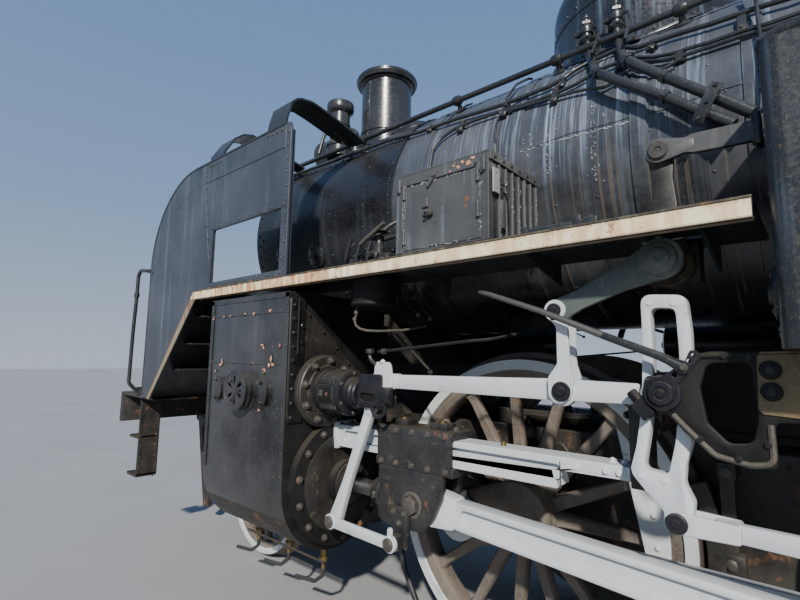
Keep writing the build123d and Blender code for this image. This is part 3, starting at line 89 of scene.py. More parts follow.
# ------------------------------------------------------------------ materials
class Graph:
    """Builds one node material in object coordinates."""

    def __init__(self, name):
        self.m = bpy.data.materials.new(name)
        self.m.use_nodes = True
        self.t = self.m.node_tree
        self.t.nodes.clear()
        self.out = self.t.nodes.new("ShaderNodeOutputMaterial")
        self.b = self.t.nodes.new("ShaderNodeBsdfPrincipled")
        self.t.links.new(self.b.outputs[0], self.out.inputs[0])
        self.tc = self.t.nodes.new("ShaderNodeTexCoord")
        self.obj = self.tc.outputs["Object"]
        self.geo = None

    def node(self, kind, **inputs):
        n = self.t.nodes.new(kind)
        for k, v in inputs.items():
            self.put(n.inputs[k.replace("_", " ")], v)
        return n

    def put(self, socket, v):
        if isinstance(v, bpy.types.NodeSocket):
            self.t.links.new(v, socket)
        else:
            socket.default_value = v

    def mapping(self, scale=(1, 1, 1), loc=(0, 0, 0), rot=(0, 0, 0), vec=None):
        n = self.t.nodes.new("ShaderNodeMapping")
        self.put(n.inputs[0], vec or self.obj)
        n.inputs[1].default_value = loc
        n.inputs[2].default_value = rot
        n.inputs[3].default_value = scale
        return n.outputs[0]

    def noise(self, scale, detail=4.0, rough=0.55, vec=None, distort=0.0, stretch=None, loc=(0, 0, 0)):
        if stretch or loc != (0, 0, 0):
            vec = self.mapping(stretch or (1, 1, 1), loc, vec=vec)
        n = self.t.nodes.new("ShaderNodeTexNoise")
        self.put(n.inputs["Vector"], vec or self.obj)
        n.inputs["Scale"].default_value = scale
        n.inputs["Detail"].default_value = detail
        n.inputs["Roughness"].default_value = rough
        n.inputs["Distortion"].default_value = distort
        return n.outputs[0]

    def voronoi(self, scale, vec=None, stretch=None, loc=(0, 0, 0), out="Distance", rnd=1.0):
        if stretch or loc != (0, 0, 0):
            vec = self.mapping(stretch or (1, 1, 1), loc, vec=vec)
        n = self.t.nodes.new("ShaderNodeTexVoronoi")
        self.put(n.inputs["Vector"], vec or self.obj)
        n.inputs["Scale"].default_value = scale
        n.inputs["Randomness"].default_value = rnd
        return n.outputs[out]

    def ramp(self, fac, *stops, mode="LINEAR"):
        n = self.t.nodes.new("ShaderNodeValToRGB")
        self.put(n.inputs[0], fac)
        r = n.color_ramp
        r.interpolation = mode
        while len(r.elements) > 1:
            r.elements.remove(r.elements[-1])
        for i, (p, c) in enumerate(stops):
            if not isinstance(c, (tuple, list)):
                c = (c, c, c)
            e = r.elements[0] if i == 0 else r.elements.new(p)
            e.position = p
            e.color = (c[0], c[1], c[2], 1)
        return n.outputs[0]

    def math(self, op, a, b=0.0, c=None, clamp=False):
        n = self.t.nodes.new("ShaderNodeMath")
        n.operation = op
        n.use_clamp = clamp
        self.put(n.inputs[0], a)
        self.put(n.inputs[1], b)
        if c is not None:
            self.put(n.inputs[2], c)
        return n.outputs[0]

    def mix(self, fac, a, b, mode="MIX"):
        n = self.t.nodes.new("ShaderNodeMix")
        n.data_type = "RGBA"
        n.blend_type = mode
        self.put(n.inputs[0], fac)
        for s, v in ((n.inputs[6], a), (n.inputs[7], b)):
            if isinstance(v, (tuple, list)) and len(v) == 3:
                v = (v[0], v[1], v[2], 1)
            elif isinstance(v, (int, float)):
                v = (v, v, v, 1)
            self.put(s, v)
        return n.outputs[2]

    def xyz(self, vec=None):
        n = self.t.nodes.new("ShaderNodeSeparateXYZ")
        self.put(n.inputs[0], vec or self.obj)
        return n.outputs

    def normal(self):
        if self.geo is None:
            self.geo = self.t.nodes.new("ShaderNodeNewGeometry")
        return self.geo.outputs["Normal"]

    def up(self, lo=0.3, hi=0.95):
        """1 where the surface faces up."""
        z = self.xyz(self.normal())[2]
        n = self.t.nodes.new("ShaderNodeMapRange")
        n.inputs[1].default_value = lo
        n.inputs[2].default_value = hi
        self.put(n.inputs[0], z)
        return n.outputs[0]

    def bump(self, height, strength=0.3, distance=0.002, below=None):
        n = self.t.nodes.new("ShaderNodeBump")
        n.inputs["Strength"].default_value = strength
        n.inputs["Distance"].default_value = distance
        self.put(n.inputs["Height"], height)
        if below is not None:
            self.put(n.inputs["Normal"], below)
        return n.outputs[0]

    def finish(self, color=None, rough=None, metal=0.0, normal=None, **fixed):
        b = self.b.inputs
        if color is not None:
            self.put(b["Base Color"], (*color, 1) if isinstance(color, tuple) and len(color) == 3 else color)
        if rough is not None:
            self.put(b["Roughness"], rough)
        self.put(b["Metallic"], metal)
        if normal is not None:
            self.put(b["Normal"], normal)
        for k, v in fixed.items():
            b[k.replace("_", " ")].default_value = v
        return self.m


def black_paint(name, base=(0.010, 0.011, 0.0125), light=(0.026, 0.028, 0.031), rough=(0.22, 0.42),
                streak=0.35, streak_color=(0.16, 0.20, 0.25), streak_stretch=(34, 34, 1.1), rust=0.5,
                rust_color=(0.30, 0.075, 0.018), dust=0.35, dust_color=(0.12, 0.105, 0.085), wave=0.5, spots=9.0,
                band=None, chips=0.3, lichen=0.0, lichen_scale=24.0, lichen_x=None):
    """Old gloss black paint: uneven tone, run-down streaks, rust spots, dust on upper faces, wavy plate."""
    g = Graph(name)
    tone = g.noise(2.2, 5, 0.6)
    col = g.mix(g.ramp(tone, (0.35, 0.0), (0.72, 1.0)), base, light)
    # fine grime
    grime = g.noise(60.0, 3, 0.7)
    col = g.mix(g.ramp(grime, (0.45, 0.0), (0.8, 0.35)), col, (0.055, 0.052, 0.047))
    masks_rough = tone
    if streak > 0:
        s1 = g.noise(1.0, 3, 0.6, stretch=streak_stretch)
        s2 = g.noise(2.5, 4, 0.6, stretch=(1.5, 1.5, 0.6), loc=(3, 1, 7))
        s = g.math("MULTIPLY", g.ramp(s1, (0.52, 0.0), (0.74, 1.0)), g.ramp(s2, (0.42, 0.0), (0.66, 1.0)))
        s = g.math("MULTIPLY", s, streak, clamp=True)
        col = g.mix(s, col, streak_color)
    if band is not None:
        col = band(g, col)
    if dust > 0:
        d = g.math("MULTIPLY", g.up(), g.ramp(g.noise(7.0, 5, 0.65), (0.3, 0.25), (0.7, 1.0)))
        col = g.mix(g.math("MULTIPLY", d, dust, clamp=True), col, dust_color)
    mask_r = None
    if rust > 0:
        area = g.ramp(g.noise(1.3, 3, 0.55, loc=(8, 3, 6)), (0.46, 0.0), (0.66, 1.0))
        spot = g.math("ADD", g.noise(spots * 2.2, 6, 0.66, loc=(5, 9, 2)), g.math("MULTIPLY", area, 0.035 * (1 + rust)))
        big = g.ramp(spot, (0.725 - 0.03 * rust, 0.0), (0.765 - 0.03 * rust, 1.0))
        fine = g.ramp(g.noise(140.0, 3, 0.6), (0.3, 0.25), (0.7, 1.0))
        mask_r = g.math("MULTIPLY", big, fine, clamp=True)
        rc = g.mix(g.noise(45.0, 3, 0.6), (rust_color[0] * 0.35, rust_color[1] * 0.35, rust_color[2] * 0.5), rust_color)
        col = g.mix(mask_r, col, rc)
    if lichen > 0:
        l1 = g.ramp(g.noise(lichen_scale, 8, 0.72, loc=(1, 4, 8)), (0.60 - 0.14 * lichen, 0.0), (0.70 - 0.10 * lichen, 1.0))
        if lichen_x is not None:
            near = g.math("MULTIPLY", g.math("SUBTRACT", g.xyz()[0], lichen_x[0]), 1.0 / (lichen_x[1] - lichen_x[0]), clamp=True)
            l1 = g.math("MULTIPLY", l1, near)
        lc = g.mix(g.noise(70.0, 3, 0.6), (0.040, 0.032, 0.017), (0.150, 0.122, 0.062))
        col = g.mix(g.math("MULTIPLY", l1, min(1.0, 0.4 + lichen)), col, lc)
        mask_r = l1 if mask_r is None else g.math("MAXIMUM", l1, mask_r)
    if chips > 0:
        c1 = g.ramp(g.voronoi(26.0, loc=(2, 2, 5)), (0.055 * chips + 0.01, 1.0), (0.075 * chips + 0.02, 0.0))
        c2 = g.ramp(g.noise(3.0, 3, 0.5, loc=(9, 1, 1)), (0.5, 0.0), (0.62, 1.0))
        col = g.mix(g.math("MULTIPLY", c1, c2), col, (0.22, 0.20, 0.17))
    r = g.ramp(tone, (0.3, rough[0]), (0.7, rough[1]))
    r = g.math("ADD", r, g.math("MULTIPLY", g.ramp(grime, (0.4, 0.0), (0.8, 0.22)), 1.0), clamp=True)
    if dust > 0:
        r = g.math("ADD", r, g.math("MULTIPLY", d, 0.35), clamp=True)
    if mask_r is not None:
        r = g.mix(mask_r, r, 0.85)
    h = g.math("ADD", g.math("MULTIPLY", g.noise(1.6, 2, 0.5, loc=(4, 4, 4)), wave), g.math("MULTIPLY", grime, 0.035))
    h = g.math("ADD", h, g.math("MULTIPLY", g.noise(7.5, 3, 0.55, loc=(2, 8, 4)), wave * 0.22))
    if mask_r is not None:
        h = g.math("ADD", h, g.math("MULTIPLY", mask_r, -0.05))
    nrm = g.bump(h, 0.35, 0.02)
    return g.finish(col, r, 0.0, nrm, Specular_IOR_Level=0.5, Coat_Weight=0.12, Coat_Roughness=0.18)


def boiler_band(g, col):
    """Chalky blue-white runs down the cleading, strongest high up, thin brown drips low down, and painted shade that
    darkens the belly of the barrel.
    """
    z = g.xyz()[2]
    n = g.noise(3.2, 5, 0.6, loc=(7, 0, 0))
    edge = g.math("ADD", z, g.math("MULTIPLY", g.math("SUBTRACT", n, 0.5), 0.35))
    upper = g.ramp(g.math("SUBTRACT", edge, 2.34), (0.0, 0.0), (0.30, 1.0))
    runs = g.noise(1.0, 5, 0.7, stretch=(44.0, 2.0, 1.1))
    runs2 = g.noise(1.0, 3, 0.6, stretch=(7.0, 0.8, 0.6), loc=(3, 5, 1))
    m = g.math("MULTIPLY", g.ramp(runs, (0.50, 0.0), (0.66, 1.0)), g.ramp(runs2, (0.42, 0.06), (0.62, 1.0)))
    col = g.mix(g.math("MULTIPLY", upper, 0.45), col, (0.080, 0.092, 0.112))
    cloud = g.ramp(g.noise(5.5, 6, 0.68, loc=(4, 9, 2)), (0.44, 0.0), (0.66, 1.0))
    col = g.mix(g.math("MULTIPLY", cloud, 0.42), col, (0.105, 0.108, 0.115))
    col = g.mix(g.math("MULTIPLY", g.math("MULTIPLY", m, g.math("ADD", g.math("MULTIPLY", upper, 0.85), 0.15)), 0.78), col, (0.36, 0.45, 0.56))
    white = g.ramp(g.noise(1.0, 5, 0.7, stretch=(60.0, 3.0, 1.6), loc=(1, 7, 3)), (0.63, 0.0), (0.70, 1.0))
    col = g.mix(g.math("MULTIPLY", g.math("MULTIPLY", white, m), g.math("MULTIPLY", upper, 0.8)), col, (0.55, 0.60, 0.64))
    drips = g.ramp(g.noise(1.0, 2, 0.5, stretch=(48.0, 2.0, 0.5), loc=(11, 3, 1)), (0.60, 0.0), (0.66, 1.0))
    low = g.math("SUBTRACT", 1.0, upper, clamp=True)
    # painted shade: the underside of the barrel, below about 2 m, darkened almost to black
    belly_shade = g.ramp(g.math("SUBTRACT", z, 1.84), (0.0, 1.0), (0.18, 0.0))
    col = g.mix(g.math("MULTIPLY", belly_shade, 0.8), col, (0.004, 0.004, 0.0042))
    col = g.mix(g.math("MULTIPLY", g.math("MULTIPLY", drips, low), 0.55), col, (0.13, 0.10, 0.075))
    return col


def white_paint(name, base=(0.74, 0.77, 0.79), dirt=0.35, rust=0.3, grease=0.3):
    """White painted rod: slightly uneven, with dust and grease blotches, rust freckles, and painted shade on faces that
    point downward.
    """
    g = Graph(name)
    n = g.noise(3.5, 5, 0.6)
    col = g.mix(g.ramp(n, (0.3, 0.0), (0.75, 1.0)), base, (base[0] * 0.86, base[1] * 0.87, base[2] * 0.88))
    dn = g.noise(14.0, 6, 0.7, loc=(4, 2, 2))
    col = g.mix(g.math("MULTIPLY", g.ramp(dn, (0.52, 0.0), (0.78, 1.0)), dirt, clamp=True), col, (0.40, 0.37, 0.31))
    gn = g.noise(5.0, 5, 0.65, loc=(1, 8, 3))
    col = g.mix(g.math("MULTIPLY", g.ramp(gn, (0.62, 0.0), (0.72, 1.0)), grease, clamp=True), col, (0.06, 0.055, 0.05))
    rn = g.ramp(g.noise(24.0, 5, 0.65, loc=(6, 6, 1)), (0.69 - 0.03 * rust, 0.0), (0.73, 1.0))
    col = g.mix(g.math("MULTIPLY", rn, min(1.0, rust * 2)), col, (0.33, 0.13, 0.045))
    # painted shade: faces that point downward are darkened toward a dull brown-grey
    underside_shade = g.math("SUBTRACT", 1.0, g.math("ADD", g.xyz(g.normal())[2], 1.0), clamp=True)
    col = g.mix(g.math("MULTIPLY", underside_shade, 0.4), col, (0.25, 0.23, 0.2))
    r = g.ramp(dn, (0.3, 0.32), (0.75, 0.6))
    h = g.math("ADD", g.math("MULTIPLY", g.noise(90.0, 3, 0.6), 0.08), g.math("MULTIPLY", n, 0.25))
    return g.finish(col, r, 0.0, g.bump(h, 0.25, 0.006), Specular_IOR_Level=0.45)


def edge_paint(name):
    """Cream-white board edge with rust bleeding from the plate's upper edge."""
    g = Graph(name)
    n = g.noise(4.0, 5, 0.6)
    col = g.mix(g.ramp(n, (0.3, 0.0), (0.75, 1.0)), (0.93, 0.85, 0.62), (0.78, 0.66, 0.40))
    run = g.noise(1.0, 4, 0.65, stretch=(30.0, 8.0, 5.0))
    area = g.noise(1.1, 4, 0.6, stretch=(1.6, 1.0, 1.0), loc=(2.3, 1, 1))
    near = g.ramp(g.math("MULTIPLY", g.math("ABSOLUTE", g.math("SUBTRACT", g.xyz()[0], F(1500))), 0.5), (0.25, 1.0), (0.60, 0.55))
    m = g.math("MULTIPLY", g.ramp(run, (0.40, 0.0), (0.60, 1.0)), g.math("MULTIPLY", g.ramp(area, (0.34, 0.20), (0.52, 1.0)), near))
    col = g.mix(g.math("MULTIPLY", m, 0.92), col, (0.47, 0.21, 0.065))
    m2 = g.ramp(g.noise(17.0, 6, 0.7, loc=(3, 1, 6)), (0.61, 0.0), (0.67, 1.0))
    col = g.mix(g.math("MULTIPLY", m2, 0.8), col, (0.34, 0.14, 0.05))
    lip = g.math("MULTIPLY", g.math("SUBTRACT", g.xyz()[2], DECK_Z - 0.020), 50.0, clamp=True)
    lip = g.math("MULTIPLY", lip, g.ramp(g.noise(22.0, 5, 0.7, stretch=(1.0, 1.0, 0.4), loc=(9, 2, 2)), (0.46, 0.0), (0.60, 1.0)))
    col = g.mix(g.math("MULTIPLY", lip, 0.85), col, (0.20, 0.085, 0.03))
    foot = g.math("MULTIPLY", g.math("SUBTRACT", DECK_Z - DECK_E + 0.009, g.xyz()[2]), 160.0, clamp=True)
    col = g.mix(g.math("MULTIPLY", foot, 0.75), col, (0.055, 0.035, 0.022))
    dots = g.ramp(g.noise(70.0, 4, 0.6, loc=(3, 3, 6)), (0.68, 0.0), (0.74, 1.0))
    col = g.mix(dots, col, (0.10, 0.07, 0.05))
    r = g.ramp(n, (0.3, 0.42), (0.75, 0.62))
    h = g.math("ADD", g.math("MULTIPLY", g.noise(50.0, 4, 0.6), 0.2), g.math("MULTIPLY", m2, -0.2))
    return g.finish(col, r, 0.0, g.bump(h, 0.35, 0.006))


def rough_metal(name, a=(0.05, 0.045, 0.038), b=(0.11, 0.095, 0.075), rust=0.4, lichen=0.0, rough=(0.5, 0.8), bump=0.5, spec=0.5):
    """Casting or dusty working part."""
    g = Graph(name)
    n = g.noise(6.0, 7, 0.65)
    col = g.mix(g.ramp(n, (0.35, 0.0), (0.7, 1.0)), a, b)
    f = g.noise(80.0, 3, 0.7)
    col = g.mix(g.ramp(f, (0.45, 0.0), (0.8, 0.5)), col, (b[0] * 1.5, b[1] * 1.4, b[2] * 1.25))
    if rust > 0:
        rn = g.ramp(g.noise(13.0, 6, 0.65, loc=(2, 7, 1)), (0.60 - 0.08 * rust, 0.0), (0.72, 1.0))
        col = g.mix(g.math("MULTIPLY", rn, 0.8), col, (0.20, 0.085, 0.035))
    if lichen > 0:
        ln = g.ramp(g.noise(15.0, 8, 0.75, loc=(5, 1, 3)), (0.62 - 0.2 * lichen, 0.0), (0.74 - 0.16 * lichen, 1.0))
        lc = g.mix(g.noise(60.0, 3, 0.6), (0.085, 0.072, 0.034), (0.23, 0.20, 0.12))
        col = g.mix(g.math("MULTIPLY", ln, 0.85), col, lc)
    d = g.math("MULTIPLY", g.up(0.2, 0.9), 0.35)
    col = g.mix(d, col, (0.12, 0.10, 0.075))
    r = g.ramp(n, (0.35, rough[0]), (0.7, rough[1]))
    h = g.math("ADD", g.math("MULTIPLY", f, 0.35), n)
    return g.finish(col, r, 0.0, g.bump(h, bump, 0.004), Specular_IOR_Level=spec)


def plain_metal(name, base, metal, rough, bump=0.15, dirt=0.4):
    g = Graph(name)
    n = g.noise(18.0, 6, 0.65)
    col = g.mix(g.math("MULTIPLY", g.ramp(n, (0.4, 0.0), (0.75, 1.0)), dirt), base, (0.05, 0.042, 0.035))
    r = g.ramp(n, (0.3, rough), (0.75, min(1.0, rough + 0.3)))
    return g.finish(col, r, metal, g.bump(g.noise(120.0, 3, 0.6), bump, 0.001))


def glass_mat(name):
    g = Graph(name)
    n = g.noise(6.0, 5, 0.6)
    r = g.ramp(n, (0.35, 0.02), (0.8, 0.16))
    col = g.mix(g.ramp(n, (0.4, 0.0), (0.8, 0.6)), (0.92, 0.96, 0.95), (0.72, 0.74, 0.70))
    m = g.finish(col, r, 0.0, g.bump(g.noise(3.0, 2, 0.5), 0.04, 0.002), Transmission_Weight=1.0, IOR=1.05)
    return m


def lamp_glass(name):
    g = Graph(name)
    x, y, z = g.xyz()
    ring = g.math("SINE", g.math("MULTIPLY", g.math("SQRT", g.math("ADD", g.math("POWER", y, 2.0), g.math("POWER", z, 2.0))), 300.0))
    n = g.noise(8.0, 4, 0.6)
    col = g.mix(g.ramp(n, (0.4, 0.0), (0.8, 0.5)), (0.70, 0.74, 0.74), (0.42, 0.40, 0.34))
    return g.finish(col, g.ramp(n, (0.3, 0.05), (0.8, 0.2)), 0.0, g.bump(ring, 0.2, 0.002), Transmission_Weight=0.35, IOR=1.45, Coat_Weight=0.6)


def wood_mat(name):
    g = Graph(name)
    v = g.mapping((14, 2.0, 14))
    n = g.noise(3.0, 6, 0.6, vec=v, distort=1.2)
    col = g.mix(g.ramp(n, (0.3, 0.0), (0.7, 1.0)), (0.10, 0.055, 0.026), (0.26, 0.15, 0.07))
    return g.finish(col, g.ramp(n, (0.3, 0.55), (0.7, 0.75)), 0.0, g.bump(n, 0.3, 0.003))


def leather_mat(name, base):
    g = Graph(name)
    n = g.voronoi(160.0)
    t = g.noise(5.0, 5, 0.6)
    col = g.mix(g.ramp(t, (0.3, 0.0), (0.75, 1.0)), base, (base[0] * 0.5, base[1] * 0.5, base[2] * 0.5))
    return g.finish(col, g.ramp(t, (0.3, 0.4), (0.7, 0.65)), 0.0, g.bump(n, 0.25, 0.002))


M = {}
M["engine"] = black_paint("engine_black_paint", streak=0.30, rust=0.55, spots=7.0)
M["plate"] = black_paint("deflector_paint", base=(0.026, 0.031, 0.040), light=(0.056, 0.065, 0.083), rough=(0.30, 0.50), streak=0.38,
                         streak_color=(0.20, 0.24, 0.29), streak_stretch=(22, 22, 0.8), rust=0.75, spots=10.0, wave=0.35)
M["jacket"] = black_paint("jacket_paint", base=(0.0070, 0.0070, 0.0073), light=(0.047, 0.046, 0.047), rough=(0.13, 0.36), streak=0.16, streak_stretch=(16, 16, 1.6),
                          streak_color=(0.15, 0.155, 0.165), rust=0.4, spots=8.0, wave=1.3, rust_color=(0.42, 0.16, 0.07), chips=0.8)
M["box"] = black_paint("box_paint", base=(0.042, 0.0425, 0.043), light=(0.088, 0.089, 0.090), rough=(0.32, 0.5), streak=0.9, chips=1.5,
                       streak_color=(0.21, 0.25, 0.29), streak_stretch=(26, 26, 1.4), rust=1.3, spots=6.0, rust_color=(0.52, 0.16, 0.04), wave=0.3)
M["boiler"] = black_paint("boiler_paint", base=(0.011, 0.0115, 0.013), light=(0.064, 0.066, 0.071), rough=(0.16, 0.34), streak=0.0,
                          rust=0.45, spots=9.0, wave=0.8, band=boiler_band, dust=0.15, chips=1.0)
M["smoke"] = black_paint("smokebox_paint", base=(0.0075, 0.008, 0.0095), light=(0.018, 0.019, 0.022), rough=(0.20, 0.34), streak=0.25,
                         streak_stretch=(24, 1.5, 1.0), rust=0.4, spots=8.0, wave=0.4, dust=0.25)
M["chimney"] = black_paint("chimney_paint", base=(0.017, 0.0175, 0.019), light=(0.040, 0.041, 0.043), rough=(0.18, 0.3), streak=0.2, rust=0.25, wave=0.3, dust=0.2)
M["tank"] = black_paint("tank_paint", base=(0.009, 0.0095, 0.011), light=(0.022, 0.024, 0.027), rough=(0.22, 0.40), streak=0.75,
                        streak_color=(0.13, 0.17, 0.23), streak_stretch=(20, 20, 1.0), rust=0.9, spots=8.0, wave=0.6, lichen=0.42, lichen_scale=95.0, lichen_x=(TANK_F - 0.12, TANK_F - 0.005))
M["pad"] = black_paint("bracket_paint", base=(0.042, 0.042, 0.042), light=(0.125, 0.123, 0.120), rough=(0.28, 0.5), streak=0.3, streak_color=(0.17, 0.17, 0.17), chips=1.6,
                       streak_stretch=(30, 30, 3.0), rust=0.2, spots=16.0, wave=0.3, lichen=0.12)
M["dome"] = black_paint("dome_paint", base=(0.0075, 0.008, 0.0095), light=(0.018, 0.020, 0.023), rough=(0.20, 0.34), streak=0.75,
                        streak_color=(0.22, 0.29, 0.36), streak_stretch=(26, 26, 1.0), rust=0.7, spots=8.0, wave=0.4, dust=0.2)
M["roof"] = black_paint("roof_paint", base=(0.022, 0.022, 0.024), light=(0.05, 0.05, 0.052), rough=(0.45, 0.65), streak=0.3, streak_stretch=(18, 2, 1),
                        rust=0.6, dust=0.6)
M["under"] = rough_metal("underframe_grime", a=(0.012, 0.011, 0.010), b=(0.034, 0.030, 0.025), rust=0.3, rough=(0.45, 0.75), bump=0.35)
M["wheel"] = rough_metal("wheel_grime", a=(0.066, 0.056, 0.046), b=(0.176, 0.148, 0.120), rust=0.35, rough=(0.5, 0.78), bump=0.4)
M["cast"] = rough_metal("casting", a=(0.035, 0.031, 0.027), b=(0.085, 0.073, 0.056), rust=0.5, rough=(0.5, 0.78), bump=0.6)
M["lichen"] = rough_metal("lichen_casting", a=(0.024, 0.021, 0.016), b=(0.065, 0.055, 0.036), rust=0.2, lichen=0.70, rough=(0.6, 0.88), bump=0.7)
M["oily"] = rough_metal("oily_casting", a=(0.006, 0.006, 0.008), b=(0.019, 0.019, 0.023), rust=0.0, rough=(0.26, 0.48), bump=0.35, spec=0.32)
M["crosshead"] = rough_metal("crosshead_steel_paint", a=(0.009, 0.009, 0.010), b=(0.030, 0.029, 0.028), rust=0.05, lichen=0.14, rough=(0.32, 0.6), bump=0.45)
M["white"] = white_paint("white_rod_paint", base=(0.525, 0.550, 0.565), dirt=0.46, rust=0.3, grease=0.38)
# dark grey-green copy of the white rod paint for the lifting arms: painted shade of the running board's shadow
M["arm_painted_shade"] = white_paint("shaded_grey_paint", base=(0.080, 0.098, 0.090), dirt=0.5, rust=0.2, grease=0.5)
M["plate_worn"] = white_paint("worn_plate", base=(0.30, 0.30, 0.28), dirt=0.9, rust=0.6, grease=0.8)
M["rodsteel"] = plain_metal("old_rod_steel", (0.15, 0.15, 0.145), 0.75, 0.34, 0.15, 0.5)
M["cover"] = rough_metal("dark_cover", a=(0.010, 0.009, 0.0085), b=(0.032, 0.028, 0.024), rust=0.0, lichen=0.10, rough=(0.35, 0.6), bump=0.45)
M["white2"] = white_paint("white_tyre_paint", base=(0.52, 0.54, 0.54), dirt=0.6, rust=0.5, grease=0.5)
M["edge"] = edge_paint("board_edge_paint")
# near-black casting finish, also used for painted shade: dark sheets and discs set behind openings
M["soot_and_shade"] = rough_metal("sooted_casting_and_shade", a=(0.0045, 0.0045, 0.0048), b=(0.015, 0.014, 0.013), rust=0.0, rough=(0.42, 0.7), bump=0.45, spec=0.22)
M["chalk"] = plain_metal("flaked_paint", (0.27, 0.28, 0.285), 0.0, 0.7, 0.3, 0.7)
M["tan"] = rough_metal("dusty_tan_casting", a=(0.100, 0.078, 0.042), b=(0.190, 0.152, 0.086), rust=0.15, lichen=0.35, rough=(0.65, 0.9), bump=0.8, spec=0.3)
M["peel"] = rough_metal("peeled_primer", a=(0.36, 0.15, 0.075), b=(0.60, 0.33, 0.21), rust=0.3, rough=(0.65, 0.9), bump=0.5)
M["pipe"] = black_paint("pipe_paint", base=(0.013, 0.0145, 0.015), light=(0.030, 0.032, 0.033), rough=(0.20, 0.36), streak=0.0, rust=0.45, spots=14.0, wave=0.1, dust=0.3)
M["pipe_old"] = black_paint("old_pipe_paint", base=(0.011, 0.0115, 0.012), light=(0.028, 0.028, 0.027), rough=(0.28, 0.5), streak=0.0, rust=0.3, spots=14.0, wave=0.2, dust=0.35, lichen=0.22)
M["bolt"] = rough_metal("bolt_steel", a=(0.028, 0.026, 0.024), b=(0.07, 0.062, 0.052), rust=0.35, rough=(0.4, 0.65), bump=0.3)
M["bolt_white"] = white_paint("painted_bolt", base=(0.62, 0.64, 0.64), dirt=0.7, rust=0.8, grease=0.4)
M["rusty"] = rough_metal("rusty_bolt", a=(0.085, 0.034, 0.018), b=(0.20, 0.085, 0.040), rust=0.6, rough=(0.7, 0.9), bump=0.6)
M["brass"] = plain_metal("aged_brass", (0.34, 0.24, 0.10), 1.0, 0.34, 0.1, 0.65)
M["steel"] = plain_metal("bright_steel", (0.42, 0.41, 0.39), 1.0, 0.3, 0.1, 0.55)
M["tread"] = plain_metal("worn_tread", (0.25, 0.21, 0.18), 0.9, 0.42, 0.2, 0.5)
M["glass"] = glass_mat("window_glass")
M["lens"] = lamp_glass("lamp_lens")
M["coal"] = rough_metal("coal", a=(0.006, 0.006, 0.007), b=(0.022, 0.021, 0.021), rust=0.0, rough=(0.30, 0.6), bump=0.8)
M["wood"] = wood_mat("cab_wood")
M["seat"] = leather_mat("seat_leather", (0.045, 0.022, 0.014))
M["cabin"] = black_paint("cab_inside_paint", base=(0.055, 0.075, 0.060), light=(0.085, 0.11, 0.088), rough=(0.4, 0.6), streak=0.3, streak_color=(0.14, 0.15, 0.12), rust=0.5, wave=0.2)
M["dial"] = plain_metal("dial_face", (0.78, 0.77, 0.72), 0.0, 0.4, 0.05, 0.3)
M["red"] = plain_metal("red_lens", (0.30, 0.012, 0.01), 0.0, 0.15, 0.02, 0.3)

NODE_MAT = {
    "main_frame": "under", "front_beam": "under", "rear_beam": "under", "front_coupler": "cast", "rear_coupler": "cast",
    "front_knuckle": "cast", "rear_knuckle": "cast", "cylinders": "jacket", "slide_bars": "white", "motion_plate": "under",
    "expansion_links": "white", "radius_rods": "white", "lifting_arms": "arm_painted_shade", "eccentric_rods": "white",
    "link_brackets": "lichen", "reverse_lever": "lichen", "boiler": "boiler", "firebox": "under", "smokebox": "smoke",
    "smokebox_door": "smoke", "chimney": "chimney", "exhaust_stack": "chimney", "headlights": "engine", "sand_dome": "dome",
    "steam_dome": "dome", "safety_valves": "cast", "running_boards": "engine", "smoke_deflectors": "plate",
    "equipment_box": "box", "air_compressor": "pipe", "side_tanks": "tank", "cab_sides": "tank", "cab_front": "engine",
    "cab_rear": "engine", "cab_roof": "roof", "cab_floor": "under", "backhead": "smoke", "coal_bunker": "tank",
    "tank_lid_left": "engine", "tank_lid_right": "engine", "cab_door_left": "tank", "cab_door_right": "tank",
    "pony_frame": "under", "bogie_frame": "under", "brake_gear": "under", "cab_steps": "under", "wheelset_driver_1": "wheel", "wheelset_driver_2": "wheel",
    "wheelset_driver_3": "wheel", "wheelset_lead": "wheel", "wheelset_trail_1": "wheel", "wheelset_trail_2": "wheel",
    "coupling_rod_left": "white", "coupling_rod_right": "white", "main_rod_left": "white", "main_rod_right": "white",
    "crosshead_left": "oily", "crosshead_right": "oily", "combination_lever_left": "white", "combination_lever_right": "white",
}
SLOT_OF = {s["node"]: s["material_slot"] for s in frame["record"]["subparts"] if "material_slot" in s}
BODY_OF = {n: b for b, ns in frame["record"]["behaviour"]["bodies"].items() for n in ns}


# ------------------------------------------------------------------ mesh tools
def smooth_by_angle(bm, angle=35.0):
    lim = radians(angle)
    for f in bm.faces:
        f.smooth = True
    for e in bm.edges:
        e.smooth = not (len(e.link_faces) != 2 or e.calc_face_angle(0.0) > lim)


def to_object(bm, name, mats, body, angle=35.0):
    bmesh.ops.recalc_face_normals(bm, faces=bm.faces)
    smooth_by_angle(bm, angle)
    me = bpy.data.meshes.new(name)
    bm.to_mesh(me)
    bm.free()
    for m in mats:
        me.materials.append(M[m])
    o = bpy.data.objects.new(name, me)
    bpy.context.scene.collection.objects.link(o)
    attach(o, body)
    return o


